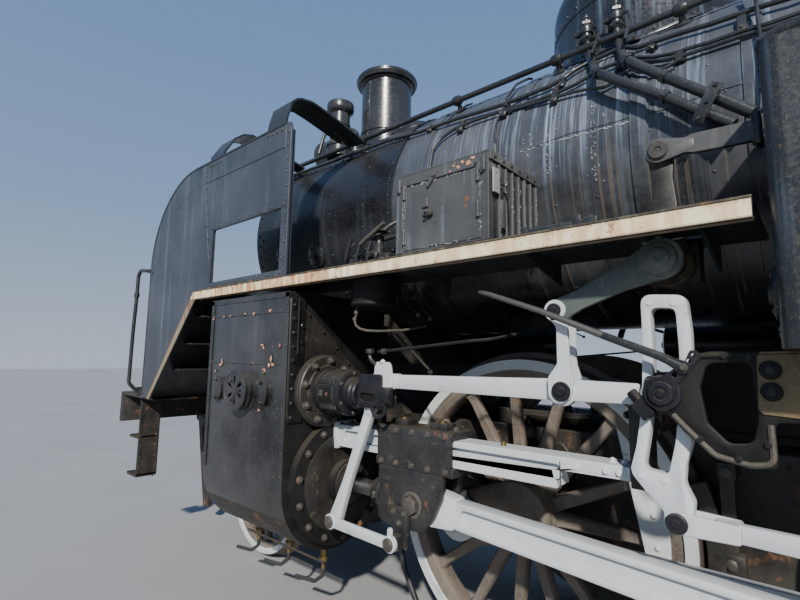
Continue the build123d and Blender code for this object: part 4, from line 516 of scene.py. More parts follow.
class Piece:
    """Collects shapes of one piece; each shape names its finish."""

    def __init__(self, name, body="engine", slot=None):
        self.name, self.body, self.slot = name, body, slot
        self.bm = bmesh.new()
        self.mats = []

    def mat(self, m):
        if m not in self.mats:
            self.mats.append(m)
        return self.mats.index(m)

    def add(self, verts, faces, m):
        i = self.mat(m)
        vs = [self.bm.verts.new(v) for v in verts]
        for f in faces:
            try:
                nf = self.bm.faces.new([vs[k] for k in f])
                nf.material_index = i
            except ValueError:
                pass
        return vs

    def take(self, other, m, matrix=None):
        """Adds another bmesh."""
        i = self.mat(m)
        idx = {}
        for v in other.verts:
            co = matrix @ v.co if matrix else v.co
            idx[v] = self.bm.verts.new(co)
        for f in other.faces:
            try:
                nf = self.bm.faces.new([idx[v] for v in f.verts])
                nf.material_index = i
            except ValueError:
                pass

    def box(self, x0, x1, y0, y1, z0, z1, m, bevel=0.002, seg=1, matrix=None):
        b = bmesh.new()
        bmesh.ops.create_cube(b, size=1.0)
        sx, sy, sz = abs(x1 - x0), abs(y1 - y0), abs(z1 - z0)
        c = Vector(((x0 + x1) / 2, (y0 + y1) / 2, (z0 + z1) / 2))
        for v in b.verts:
            v.co = Vector((v.co.x * sx, v.co.y * sy, v.co.z * sz)) + c
        w = min(bevel, 0.3 * min(sx, sy, sz))
        if w > 0:
            bmesh.ops.bevel(b, geom=b.edges[:], offset=w, segments=seg, affect="EDGES", profile=0.5)
        self.take(b, m, matrix)
        b.free()

    def prism(self, pts, axis, a, c, m, bevel=0.0, seg=1, holes=()):
        """Outline of 2D points swept along an axis: 'y' takes (x, z), 'x' takes (y, z), 'z' takes (x, y)."""
        b = bmesh.new()

        def at(p, t):
            return (p[0], t, p[1]) if axis == "y" else ((t, p[0], p[1]) if axis == "x" else (p[0], p[1], t))

        lo, hi = min(a, c), max(a, c)
        if holes:
            # outline with holes: edges filled by triangulation, then swept
            edges = []
            for loop in [pts] + list(holes):
                vs = [b.verts.new(at(p, lo)) for p in loop]
                edges += [b.edges.new((vs[k], vs[(k + 1) % len(vs)])) for k in range(len(vs))]
            bmesh.ops.triangle_fill(b, use_beauty=True, use_dissolve=False, edges=edges)
            bmesh.ops.dissolve_limit(b, angle_limit=0.01, verts=b.verts[:], edges=b.edges[:])
        else:
            b.faces.new([b.verts.new(at(p, lo)) for p in pts])
        r = bmesh.ops.extrude_face_region(b, geom=b.faces[:])
        d = {"y": Vector((0, hi - lo, 0)), "x": Vector((hi - lo, 0, 0)), "z": Vector((0, 0, hi - lo))}[axis]
        bmesh.ops.translate(b, vec=d, verts=[g for g in r["geom"] if isinstance(g, bmesh.types.BMVert)])
        bmesh.ops.recalc_face_normals(b, faces=b.faces)
        if bevel > 0:
            es = [e for e in b.edges if len(e.link_faces) == 2 and e.calc_face_angle(0) > radians(28)]
            bmesh.ops.bevel(b, geom=es, offset=bevel, segments=seg, affect="EDGES", profile=0.5)
        self.take(b, m)
        b.free()

    def lathe(self, origin, axis, profile, m, seg=32, arc=360.0, start=0.0):
        """Profile of (radius, distance along axis) turned about the axis through origin."""
        o, ax = Vector(origin), Vector(axis).normalized()
        side = ax.orthogonal().normalized()
        other = ax.cross(side)
        closed = abs(arc - 360.0) < 1e-6
        n = seg if closed else seg + 1
        i = self.mat(m)
        rings = []
        for r, t in profile:
            if r < 1e-6:
                rings.append([self.bm.verts.new(o + ax * t)])
            else:
                rings.append([self.bm.verts.new(o + ax * t + (side * cos(radians(start + arc * k / seg)) + other * sin(radians(start + arc * k / seg))) * r) for k in range(n)])
        for a, b in zip(rings[:-1], rings[1:]):
            cnt = seg
            for k in range(cnt):
                k2 = (k + 1) % n
                if len(a) == 1 and len(b) == 1:
                    continue
                vs = [a[0], b[k], b[k2]] if len(a) == 1 else ([a[k], b[0], a[k2]] if len(b) == 1 else [a[k], b[k], b[k2], a[k2]])
                try:
                    f = self.bm.faces.new(vs)
                    f.material_index = i
                except ValueError:
                    pass

    def disc(self, p, axis, r, h, m, seg=24, bevel=0.002):
        bevel = min(bevel, r * 0.4, h * 0.45)
        self.lathe(p, axis, [(0, 0), (r, 0), (r, h - bevel), (r - bevel, h), (0, h)], m, seg)

    def bolt(self, p, axis, r, m, washer=True, h=None, thread=True):
        """Hexagon head with washer and a short stub of thread."""
        ax = Vector(axis).normalized()
        p = Vector(p)
        h = h or r * 0.75
        t = 0.0
        if washer:
            self.disc(p, ax, r * 1.28, r * 0.18, m, 14, r * 0.06)
            t = r * 0.18
        self.lathe(p, ax, [(r, t - r * 0.05), (r, t + h * 0.82), (r * 0.86, t + h), (0, t + h)], m, 6, start=random.uniform(0, 60))
        if thread:
            self.lathe(p, ax, [(r * 0.5, t + h * 0.95), (r * 0.5, t + h * 1.3), (r * 0.4, t + h * 1.42), (0, t + h * 1.42)], m, 10)

    def rivet(self, p, axis, r, m, seg=8):
        self.lathe(p, axis, [(r, -0.001), (r * 0.92, r * 0.28), (r * 0.62, r * 0.58), (0, r * 0.72)], m, seg)

    def tube(self, path, r, m, seg=12, bend=None, cap=True, closed=False):
        """Round bar along a path; corners are rounded with the bend radius."""
        pts = [Vector(p) for p in path]
        if bend:
            out = [pts[0]]
            for k in range(1, len(pts) - 1):
                a, b, c = pts[k - 1], pts[k], pts[k + 1]
                u, w = (a - b), (c - b)
                lu, lw = u.length, w.length
                if lu < 1e-6 or lw < 1e-6:
                    continue
                u.normalize()
                w.normalize()
                ang = u.angle(w)
                if ang > radians(176):
                    out.append(b)
                    continue
                d = min(bend / tan(ang / 2), 0.48 * lu, 0.48 * lw)
                steps = max(3, int(degrees(pi - ang) / 14))
                p0, p2 = b + u * d, b + w * d
                for s in range(steps + 1):
                    t = s / steps
                    out.append(p0 * (1 - t) ** 2 + b * (2 * t * (1 - t)) + p2 * t * t)
            out.append(pts[-1])
            pts = out
        i = self.mat(m)
        rings = []
        up = None
        n = len(pts)
        for k, p in enumerate(pts):
            if closed:
                t = (pts[(k + 1) % n] - pts[k - 1]).normalized()
            else:
                t = (pts[min(k + 1, n - 1)] - pts[max(k - 1, 0)]).normalized()
            if up is None:
                up = t.orthogonal().normalized()
            else:
                up = (up - t * up.dot(t))
                up = up.normalized() if up.length > 1e-6 else t.orthogonal().normalized()
            o2 = t.cross(up)
            rr = r[k] if isinstance(r, (list, tuple)) else r
            rings.append([self.bm.verts.new(p + (up * cos(2 * pi * j / seg) + o2 * sin(2 * pi * j / seg)) * rr) for j in range(seg)])
        pairs = list(zip(rings[:-1], rings[1:])) + ([(rings[-1], rings[0])] if closed else [])
        for a, b in pairs:
            for j in range(seg):
                f = self.bm.faces.new([a[j], b[j], b[(j + 1) % seg], a[(j + 1) % seg]])
                f.material_index = i
        if cap and not closed:
            for ring, p, s in ((rings[0], pts[0], -1), (rings[-1], pts[-1], 1)):
                f = self.bm.faces.new(ring)
                f.material_index = i

    def strip(self, path, width_axis, width, thick, m, up=None):
        """Flat bar along a path: width along a fixed axis, thickness square to the path and that axis."""
        pts = [Vector(p) for p in path]
        wa = Vector(width_axis).normalized()
        i = self.mat(m)
        rings = []
        n = len(pts)
        for k, p in enumerate(pts):
            t = (pts[min(k + 1, n - 1)] - pts[max(k - 1, 0)]).normalized()
            nn = t.cross(wa).normalized()
            rings.append([self.bm.verts.new(p + wa * a * width / 2 + nn * b * thick / 2) for a, b in ((1, 1), (1, -1), (-1, -1), (-1, 1))])
        for a, b in zip(rings[:-1], rings[1:]):
            for j in range(4):
                f = self.bm.faces.new([a[j], b[j], b[(j + 1) % 4], a[(j + 1) % 4]])
                f.material_index = i
        for ring in (rings[0], rings[-1]):
            f = self.bm.faces.new(ring)
            f.material_index = i

    def done(self, angle=35.0, replaces=()):
        o = to_object(self.bm, self.name, self.mats, self.body, angle)
        for n in replaces:
            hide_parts(n)
        return o


def rounded(node, width=0.003, seg=2, mats=None, chooser=None, angle=30.0, name=None):
    """The CAD node's own shape with its sharp edges eased; stands for the node."""
    src = frame["nodes"][node].data
    bm = bmesh.new()
    bm.from_mesh(src)
    bmesh.ops.remove_doubles(bm, verts=bm.verts, dist=2e-5)
    bmesh.ops.dissolve_limit(bm, angle_limit=radians(0.6), verts=bm.verts[:], edges=bm.edges[:])
    bmesh.ops.recalc_face_normals(bm, faces=bm.faces)
    es = [e for e in bm.edges if len(e.link_faces) == 2 and e.calc_face_angle(0) > radians(angle) and e.calc_length() > width * 2.2]
    if es and width > 0:
        bmesh.ops.bevel(bm, geom=es, offset=width, segments=seg, affect="EDGES", profile=0.6, clamp_overlap=True)
    mats = mats or [NODE_MAT[node]]
    for f in bm.faces:
        f.material_index = 0
    if chooser:
        for f in bm.faces:
            f.material_index = chooser(f)
    bmesh.ops.triangulate(bm, faces=[f for f in bm.faces if len(f.verts) > 4])
    o = to_object(bm, name or (node + "_shape"), mats, BODY_OF[node], 35.0)
    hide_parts(node)
    return o


# ------------------------------------------------------------------ camera, light and floor
def stage():
    yaw, pitch, roll = 0.849534, 0.121593, 0.014625
    f = Vector((cos(pitch) * cos(yaw), -cos(pitch) * sin(yaw), sin(pitch)))
    r = f.cross(Vector((0, 0, 1))).normalized()
    u = r.cross(f)
    c, s = cos(roll), sin(roll)
    r2, u2 = r * c + u * s, u * c - r * s
    cam = bpy.data.cameras.new("camera")
    cam.lens, cam.sensor_width = 21.6, 36.0
    cam.clip_start, cam.clip_end = 0.02, 300
    co = bpy.data.objects.new("camera", cam)
    bpy.context.scene.collection.objects.link(co)
    m = Matrix((r2, u2, -f)).transposed().to_4x4()
    m.translation = Vector((1.2647, 2.8639, 1.5315))
    co.matrix_world = m
    bpy.context.scene.camera = co

    sun = bpy.data.lights.new("key", "SUN")
    sun.energy, sun.angle, sun.color = 6.2, radians(2.0), (1.0, 0.965, 0.90)
    so = bpy.data.objects.new("key", sun)
    so.rotation_mode = "QUATERNION"
    so.rotation_quaternion = Vector((-0.50, 0.70, 0.53)).normalized().to_track_quat("Z", "Y")
    bpy.context.scene.collection.objects.link(so)

    w = bpy.data.worlds.new("studio")
    bpy.context.scene.world = w
    w.use_nodes = True
    nt = w.node_tree
    nt.nodes.clear()
    out = nt.nodes.new("ShaderNodeOutputWorld")
    bg = nt.nodes.new("ShaderNodeBackground")
    tc = nt.nodes.new("ShaderNodeTexCoord")
    sep = nt.nodes.new("ShaderNodeSeparateXYZ")
    ramp = nt.nodes.new("ShaderNodeValToRGB")
    nt.links.new(tc.outputs["Generated"], sep.inputs[0])
    nt.links.new(sep.outputs[2], ramp.inputs[0])
    nt.links.new(ramp.outputs[0], bg.inputs[0])
    nt.links.new(bg.outputs[0], out.inputs[0])
    e = ramp.color_ramp.elements
    e[0].position, e[0].color = 0.0, (0.66, 0.76, 0.90, 1)
    e[1].position, e[1].color = 0.85, (0.14, 0.31, 0.70, 1)
    mid = ramp.color_ramp.elements.new(0.28)
    mid.color = (0.34, 0.53, 0.85, 1)
    bg.inputs[1].default_value = 0.72

    g = Graph("floor")
    n = g.noise(0.6, 4, 0.5)
    g.finish(g.mix(g.ramp(n, (0.3, 0.0), (0.7, 1.0)), (0.30, 0.297, 0.29), (0.34, 0.337, 0.33)), 0.85)
    fl = bpy.data.meshes.new("floor")
    fl.from_pydata([(-60, -60, 0), (60, -60, 0), (60, 60, 0), (-60, 60, 0)], [], [(0, 1, 2, 3)])
    fl.materials.append(g.m)
    fo = bpy.data.objects.new("floor", fl)
    bpy.context.scene.collection.objects.link(fo)


stage()

# ------------------------------------------------------------------ carried-over parts
for n, o in frame["nodes"].items():
    o.data.materials.clear()
    o.data.materials.append(M[NODE_MAT[n]])

# ------------------------------------------------------------------ 2D outlines
def arc_pts(cx, cz, r, a0, a1, n):
    """Points on a circle, angles in degrees from +x towards +z."""
    return [(cx + r * cos(radians(a0 + (a1 - a0) * k / n)), cz + r * sin(radians(a0 + (a1 - a0) * k / n))) for k in range(n + 1)]


def hull2(pts):
    pts = sorted(set((round(x, 6), round(y, 6)) for x, y in pts))

    def half(seq):
        out = []
        for p in seq:
            while len(out) > 1 and (out[-1][0] - out[-2][0]) * (p[1] - out[-2][1]) - (out[-1][1] - out[-2][1]) * (p[0] - out[-2][0]) <= 1e-12:
                out.pop()
            out.append(p)
        return out[:-1]
    return half(pts) + half(reversed(pts))


def taper(a, ra, b, rb, n=28):
    """Outline round two circles."""
    return hull2(arc_pts(a[0], a[1], ra, 0, 360, n)[:-1] + arc_pts(b[0], b[1], rb, 0, 360, n)[:-1])


def round_poly(pts, radii, n=5):
    """Closed outline with its corners rounded; one radius or one for each corner."""
    out = []
    m = len(pts)
    for k in range(m):
        r = radii[k] if isinstance(radii, (list, tuple)) else radii
        p, a, c = Vector(pts[k]), Vector(pts[k - 1]), Vector(pts[(k + 1) % m])
        u, w = a - p, c - p
        lu, lw = u.length, w.length
        if r <= 0 or lu < 1e-9 or lw < 1e-9:
            out.append(tuple(p))
            continue
        u.normalize()
        w.normalize()
        ang = u.angle(w)
        if ang > radians(177):
            out.append(tuple(p))
            continue
        d = min(r / tan(ang / 2), 0.46 * lu, 0.46 * lw)
        p0, p2 = p + u * d, p + w * d
        for s in range(n + 1):
            t = s / n
            q = p0 * (1 - t) ** 2 + p * (2 * t * (1 - t)) + p2 * t * t
            out.append((q.x, q.y))
    return out


def ring_hole(x, z, r, n=20):
    return arc_pts(x, z, r, 0, 360, n)[:-1]


def mm3(pts, side=1):
    """(mm from the first axle, mm |y|, mm height) to metres, on the given side."""
    return [(F(x), side * y / 1000.0, z / 1000.0) for x, y, z in pts]


def mmx(pts):
    """Outline given as (mm from the first axle, mm height) in metres."""
    return [(F(x), z / 1000.0) for x, z in pts]


def carved(bm, cutters):
    """One closed shape less other closed shapes."""
    me = bpy.data.meshes.new("carve")
    bm.to_mesh(me)
    bm.free()
    o = bpy.data.objects.new("carve", me)
    bpy.context.scene.collection.objects.link(o)
    extra = []
    for c in cutters:
        cm = bpy.data.meshes.new("cutter")
        c.to_mesh(cm)
        c.free()
        co = bpy.data.objects.new("cutter", cm)
        bpy.context.scene.collection.objects.link(co)
        extra.append(co)
        md = o.modifiers.new("cut", "BOOLEAN")
        md.operation, md.solver, md.object = "DIFFERENCE", "EXACT", co
    dg = bpy.context.evaluated_depsgraph_get()
    out = bmesh.new()
    out.from_mesh(o.evaluated_get(dg).to_mesh())
    for x in [o] + extra:
        m = x.data
        bpy.data.objects.remove(x)
        bpy.data.meshes.remove(m)
    return out


def cyl_bm(origin, axis, r, length, seg=48):
    """Closed cylinder from origin along axis."""
    p = Piece("tmp")
    p.lathe(origin, axis, [(0, 0), (r, 0), (r, length), (0, length)], "under", seg)
    bm = p.bm
    bmesh.ops.recalc_face_normals(bm, faces=bm.faces)
    return bm


def box_bm(x0, x1, y0, y1, z0, z1):
    b = bmesh.new()
    bmesh.ops.create_cube(b, size=1.0)
    for v in b.verts:
        v.co = Vector(((x0 + x1) / 2 + v.co.x * abs(x1 - x0), (y0 + y1) / 2 + v.co.y * abs(y1 - y0), (z0 + z1) / 2 + v.co.z * abs(z1 - z0)))
    return b


# ------------------------------------------------------------------ wheels
def spoke(p, ax, az, side, ang, sections, y_mid, m):
    """One spoke: rounded flat sections (radius, width, thickness) along its length."""
    ca, sa = cos(ang), sin(ang)
    i = p.mat(m)
    rings = []
    for r, w, t in sections:
        ring = []
        for du, dv in ((1, 0.55), (0.7, 1), (-0.7, 1), (-1, 0.55), (-1, -0.55), (-0.7, -1), (0.7, -1), (1, -0.55)):
            u, v = du * w / 2, dv * t / 2
            ring.append(p.bm.verts.new((ax + ca * r - sa * u, side * (y_mid + v), az + sa * r + ca * u)))
        rings.append(ring)
    for a, b in zip(rings[:-1], rings[1:]):
        for j in range(8):
            f = p.bm.faces.new([a[j], b[j], b[(j + 1) % 8], a[(j + 1) % 8]])
            f.material_index = i


def wheel(p, ax, az, tread, side, hub, spokes, rim_in, ring_in, w0, w1, white):
    o = (ax, 0, az)
    axis = (0, side, 0)
    f = 0.028
    # tyre: inner face, flange, tread, outer face
    p.lathe(o, axis, [(ring_in, 0.497), (tread + f - 0.014, 0.495), (tread + f - 0.004, 0.498), (tread + f, 0.506), (tread + f - 0.003, 0.515),
                      (tread + f * 0.55, 0.522), (tread + 0.004, 0.528), (tread, 0.534)], "wheel", 96)
    p.lathe(o, axis, [(tread, 0.534), (tread - 0.004, 0.612), (tread - 0.009, 0.622), (tread - 0.012, 0.625)], "tread", 96)
    p.lathe(o, axis, [(tread - 0.012, 0.625), (ring_in + 0.003, 0.6255), (ring_in, 0.6225), (ring_in, 0.615)], "white2" if white else "wheel", 96)
    # wheel centre rim
    p.lathe(o, axis, [(ring_in, 0.615), (ring_in - 0.012, 0.613), (rim_in + 0.006, 0.610), (rim_in, 0.603), (rim_in - 0.004, 0.560), (rim_in, 0.512), (rim_in + 0.008, 0.505), (ring_in, 0.500)], "wheel", 96)
    # hub and axle end
    p.lathe(o, axis, [(0.0, 0.478), (hub * 0.82, 0.478), (hub * 0.93, 0.484), (hub, 0.500), (hub + 0.006, 0.560), (hub, 0.618), (hub * 0.95, 0.632), (hub * 0.86, 0.638),
                      (hub * 0.60, 0.640), (hub * 0.57, 0.634), (hub * 0.54, 0.642), (hub * 0.16, 0.645), (hub * 0.12, 0.634), (0.0, 0.632)], "wheel", 40)
    for k in range(spokes):
        a = radians(360.0 * k / spokes + 180.0 / spokes)
        spoke(p, ax, az, side, -a, [(hub * 0.85, w0 * 1.5, 0.080), (hub + 0.018, w0 * 1.05, 0.070), (hub + 0.07, w0, 0.062), ((hub + rim_in) / 2, (w0 + w1) / 2, 0.056),
                                    (rim_in - 0.06, w1, 0.052), (rim_in - 0.018, w1 * 1.25, 0.056), (rim_in + 0.012, w1 * 1.9, 0.066)], 0.558, "wheel")


def driver(name, ax, pin_out, half):
    p = Piece(name + "_wheels", BODY_OF[name], SLOT_OF.get(name))
    for side in (1, -1):
        wheel(p, ax, DRIVER_Z, DRIVER_R, side, 0.165, 15, 0.640, 0.697, 0.066, 0.050, True)
        cp = crank_point(ax, side)
        p.prism(taper((ax, DRIVER_Z), 0.160, cp, 0.120), "y", side * 0.530, side * 0.680, "wheel", 0.010, 2)
        # pin, its collar and the key across the seat
        p.lathe((cp[0], 0, cp[1]), (0, side, 0), [(0.084, 0.679), (0.084, 0.685), (0.055, 0.688), (0.055, pin_out - 0.012 if pin_out < 0.8 else pin_out - 0.004)], "steel", 28)
        if pin_out < 0.8:
            p.lathe((cp[0], 0, cp[1]), (0, side, 0), [(0.0, 0.750), (0.078, 0.7515), (0.080, 0.757), (0.078, 0.766), (0.070, 0.770), (0.040, 0.770), (0.038, 0.774), (0.0, 0.774)], "white2", 28)
            for k in range(3):
                a = radians(120 * k + 20)
                p.bolt((cp[0] + 0.058 * cos(a), side * 0.769, cp[1] + 0.058 * sin(a)), (0, side, 0), 0.009, "bolt_white", thread=False)
        # balance weight opposite the crank, flat face with rivet heads
        w = radians(-CRANK_A[side] + 180.0)
        hh = radians(half)
        arc = [(ax + 0.648 * cos(w - hh + 2 * hh * k / 14), DRIVER_Z + 0.648 * sin(w - hh + 2 * hh * k / 14)) for k in range(15)]
        p.prism(arc, "y", side * 0.512, side * 0.617, "white2" if side > 0 else "white2", 0.006, 2)
        for k in range(5):
            a = w - hh * 0.68 + 2 * hh * 0.68 * k / 4
            p.rivet((ax + 0.600 * cos(a), side * 0.6165, DRIVER_Z + 0.600 * sin(a)), (0, side, 0), 0.013, "white2", 10)
        p.tube([(ax + 0.165 * 0.55, side * 0.643, DRIVER_Z), (ax + 0.165 * 0.55 + 0.02, side * 0.643, DRIVER_Z)], 0.006, "bolt", 6)
    p.lathe((ax, -0.50, DRIVER_Z), (0, 1, 0), [(0.0, 0.0), (0.094, 0.0), (0.094, 0.07), (0.088, 0.12), (0.088, 0.88), (0.094, 0.93), (0.094, 1.0), (0.0, 1.0)], "under", 28)
    p.done(38, replaces=[name])


for n, ax, po, half in (("wheelset_driver_1", D1, 0.770, 34.7), ("wheelset_driver_2", D2, 0.915, 48.0), ("wheelset_driver_3", D3, 0.770, 34.7)):
    driver(n, ax, po, half)
for n, ax in (("wheelset_lead", LEAD_X), ("wheelset_trail_1", TRAIL1_X), ("wheelset_trail_2", TRAIL2_X)):
    p = Piece(n + "_wheels", BODY_OF[n], SLOT_OF.get(n))
    for side in (1, -1):
        wheel(p, ax, SMALL_Z, SMALL_R, side, 0.112, 10, 0.345, 0.378, 0.056, 0.044, True)
    p.lathe((ax, -0.49, SMALL_Z), (0, 1, 0), [(0.0, 0.0), (0.066, 0.0), (0.066, 0.08), (0.060, 0.12), (0.060, 0.86), (0.066, 0.90), (0.066, 0.98), (0.0, 0.98)], "under", 24)
    p.done(38, replaces=[n])


# ------------------------------------------------------------------ coupling rods
ROD_IN, ROD_OUT = 0.690, 0.750
for tag, side in (("left", 1), ("right", -1)):
    node = "coupling_rod_" + tag
    p = Piece(node + "_shape", BODY_OF[node], SLOT_OF.get(node))
    pins = [crank_point(x, side) for x in (D1, D2, D3)]
    z = pins[0][1]
    y_in, y_out = side * ROD_IN, side * ROD_OUT
    eyes = ((pins[0], 0.108), (pins[1], 0.122), (pins[2], 0.108))
    for (ex, ez), r in eyes:
        p.lathe((ex, 0, ez), (0, side, 0), [(0.0555, ROD_IN), (r - 0.005, ROD_IN), (r, ROD_IN + 0.005), (r, ROD_OUT - 0.006), (r - 0.006, ROD_OUT), (0.074, ROD_OUT), (0.073, ROD_OUT + 0.003), (0.0555, ROD_OUT + 0.003), (0.0555, ROD_IN)], "white", 40)
        # oil cup with its lid, and the drip of oil it has left
        p.box(ex - 0.032, ex + 0.032, side * 0.698, side * 0.742, ez + r - 0.012, ez + r + 0.028, "white", 0.004, 2)
        p.lathe((ex, side * 0.720, ez + r + 0.026), (0, 0, 1), [(0.0, 0), (0.020, 0), (0.022, 0.004), (0.022, 0.016), (0.017, 0.022), (0.006, 0.024), (0.0, 0.024)], "brass", 14)
    for a, b in ((pins[0], pins[1]), (pins[1], pins[2])):
        ra = 0.10 if a is pins[0] else 0.115
        rb = 0.115 if b is pins[1] else 0.10
        x1, x0 = a[0] - ra * 0.86, b[0] + rb * 0.86
        # I section: web and two flanges that run out at the eyes
        ys, ye = min(side * 0.698, side * 0.742), max(side * 0.698, side * 0.742)
        outer = round_poly([(x0, z - 0.066), (x0 + 0.12, z - 0.050), (x1 - 0.12, z - 0.050), (x1, z - 0.066), (x1, z + 0.066), (x1 - 0.12, z + 0.050), (x0 + 0.12, z + 0.050), (x0, z + 0.066)], 0.03, 4)
        slot_hole = round_poly([(x0 + 0.10, z - 0.026), (x1 - 0.10, z - 0.026), (x1 - 0.10, z + 0.026), (x0 + 0.10, z + 0.026)], 0.024, 6)
        p.prism(outer, "y", ys, ye, "white", 0.004, 2, holes=[slot_hole])
        p.prism(round_poly([(x0 + 0.08, z - 0.036), (x1 - 0.08, z - 0.036), (x1 - 0.08, z + 0.036), (x0 + 0.08, z + 0.036)], 0.01, 2), "y", side * 0.711, side * 0.729, "white")
    # knuckle pin behind the middle eye
    kx = pins[1][0] - 0.235
    p.prism(round_poly([(kx - 0.085, z - 0.058), (kx + 0.10, z - 0.058), (kx + 0.10, z + 0.058), (kx - 0.085, z + 0.058)], 0.05, 6), "y", side * 0.694, side * 0.746, "white", 0.004, 2)
    p.lathe((kx, 0, z), (0, side, 0), [(0.036, 0.744), (0.036, 0.752), (0.030, 0.755), (0.012, 0.755), (0.010, 0.752), (0.0, 0.752)], "bolt", 24)
    p.done(38, replaces=[node])


# ------------------------------------------------------------------ main rods
MAIN_LEN = 1.946


def gudgeon_x(side):
    px, pz = crank_point(D2, side)
    return px + sqrt(MAIN_LEN ** 2 - (CYL_Z - pz) ** 2)


GX = {1: gudgeon_x(1), -1: gudgeon_x(-1)}
for tag, side in (("left", 1), ("right", -1)):
    node = "main_rod_" + tag
    p = Piece(node + "_shape", BODY_OF[node], SLOT_OF.get(node))
    fr = Vector((GX[side], CYL_Z))
    re = Vector(crank_point(D2, side))
    u = (fr - re).normalized()
    n = Vector((-u.y, u.x))

    def at(s, d=0.0):
        q = re + u * s + n * d
        return (q.x, q.y)
    Y0, Y1 = 0.925, 1.015
    yc = lambda a, b: (side * a, side * b)
    # shank with both flutes
    s0, s1 = 0.24, MAIN_LEN - 0.17
    outer = [at(s0, 0.072), at(s1, 0.060), at(s1, -0.060), at(s0, -0.072)]
    hole = round_poly([at(s0 + 0.10, 0.042), at(s1 - 0.07, 0.033), at(s1 - 0.07, -0.033), at(s0 + 0.10, -0.042)], 0.028, 6)
    p.prism(outer, "y", *yc(Y0 + 0.008, Y1 - 0.008), "white", 0.005, 2, holes=[hole])
    p.prism([at(s0 + 0.08, 0.050), at(s1 - 0.05, 0.040), at(s1 - 0.05, -0.040), at(s0 + 0.08, -0.050)], "y", *yc(0.957, 0.983), "white")
    # big end: strap, brasses, wedge block, bolts and the cap over the pin
    p.prism(round_poly([at(-0.150, 0.118), at(0.215, 0.118), at(0.270, 0.080), at(0.270, -0.080), at(0.215, -0.118), at(-0.150, -0.118)], [0.055, 0.02, 0.02, 0.02, 0.02, 0.055], 6),
            "y", *yc(Y0 + 0.004, Y1 - 0.004), "white", 0.005, 2)
    p.prism(round_poly([at(-0.104, 0.092), at(0.098, 0.092), at(0.098, -0.092), at(-0.104, -0.092)], 0.012, 3), "y", *yc(Y0 + 0.001, Y1 - 0.001), "brass", 0.003)
    p.prism(round_poly([at(0.108, 0.120), at(0.142, 0.120), at(0.136, -0.150), at(0.114, -0.150)], 0.004, 2), "y", *yc(0.950, 0.990), "bolt", 0.002)
    for s in (0.170, 0.225):
        for d in (0.060, -0.060):
            q = at(s, d)
            p.bolt((q[0], side * (Y1 - 0.005), q[1]), (0, side, 0), 0.017, "bolt_white")
    p.lathe((re.x, 0, re.y), (0, side, 0), [(0.088, Y1 - 0.003), (0.088, Y1 + 0.006), (0.082, Y1 + 0.012), (0.050, Y1 + 0.013), (0.046, Y1 + 0.009), (0.0, Y1 + 0.009)], "white", 32)
    for k in range(4):
        a = radians(45 + 90 * k)
        p.bolt((re.x + 0.066 * cos(a), side * (Y1 + 0.012), re.y + 0.066 * sin(a)), (0, side, 0), 0.009, "bolt_white", thread=False)
    # small end round the gudgeon pin
    p.prism(round_poly([at(MAIN_LEN - 0.215, 0.066), at(MAIN_LEN - 0.09, 0.084), at(MAIN_LEN + 0.01, 0.088), at(MAIN_LEN + 0.088, 0.05), at(MAIN_LEN + 0.088, -0.05), at(MAIN_LEN + 0.01, -0.088), at(MAIN_LEN - 0.09, -0.084), at(MAIN_LEN - 0.215, -0.066)],
                       [0.02, 0.04, 0.03, 0.05, 0.05, 0.03, 0.04, 0.02], 5), "y", *yc(Y0 + 0.003, Y1 - 0.003), "white", 0.004, 2)
    q = at(0.0, 0.118)
    p.lathe((q[0], side * 0.970, q[1] - 0.004), (n.x, 0, n.y), [(0.0, 0), (0.028, 0), (0.028, 0.020), (0.020, 0.028), (0.020, 0.040), (0.0, 0.042)], "brass", 16)
    p.done(38, replaces=[node])


# ------------------------------------------------------------------ crossheads
UNION_Z = 0.688
LEVER_TOP = (D1 + 0.505, 1.418)
LEVER_LEN = 0.779
MID_X = D2 + sqrt(MAIN_LEN ** 2 - (CYL_Z - DRIVER_Z) ** 2)


def lever_foot(side):
    dx = GX[side] - MID_X
    return (LEVER_TOP[0] + dx, LEVER_TOP[1] - sqrt(LEVER_LEN ** 2 - dx ** 2))


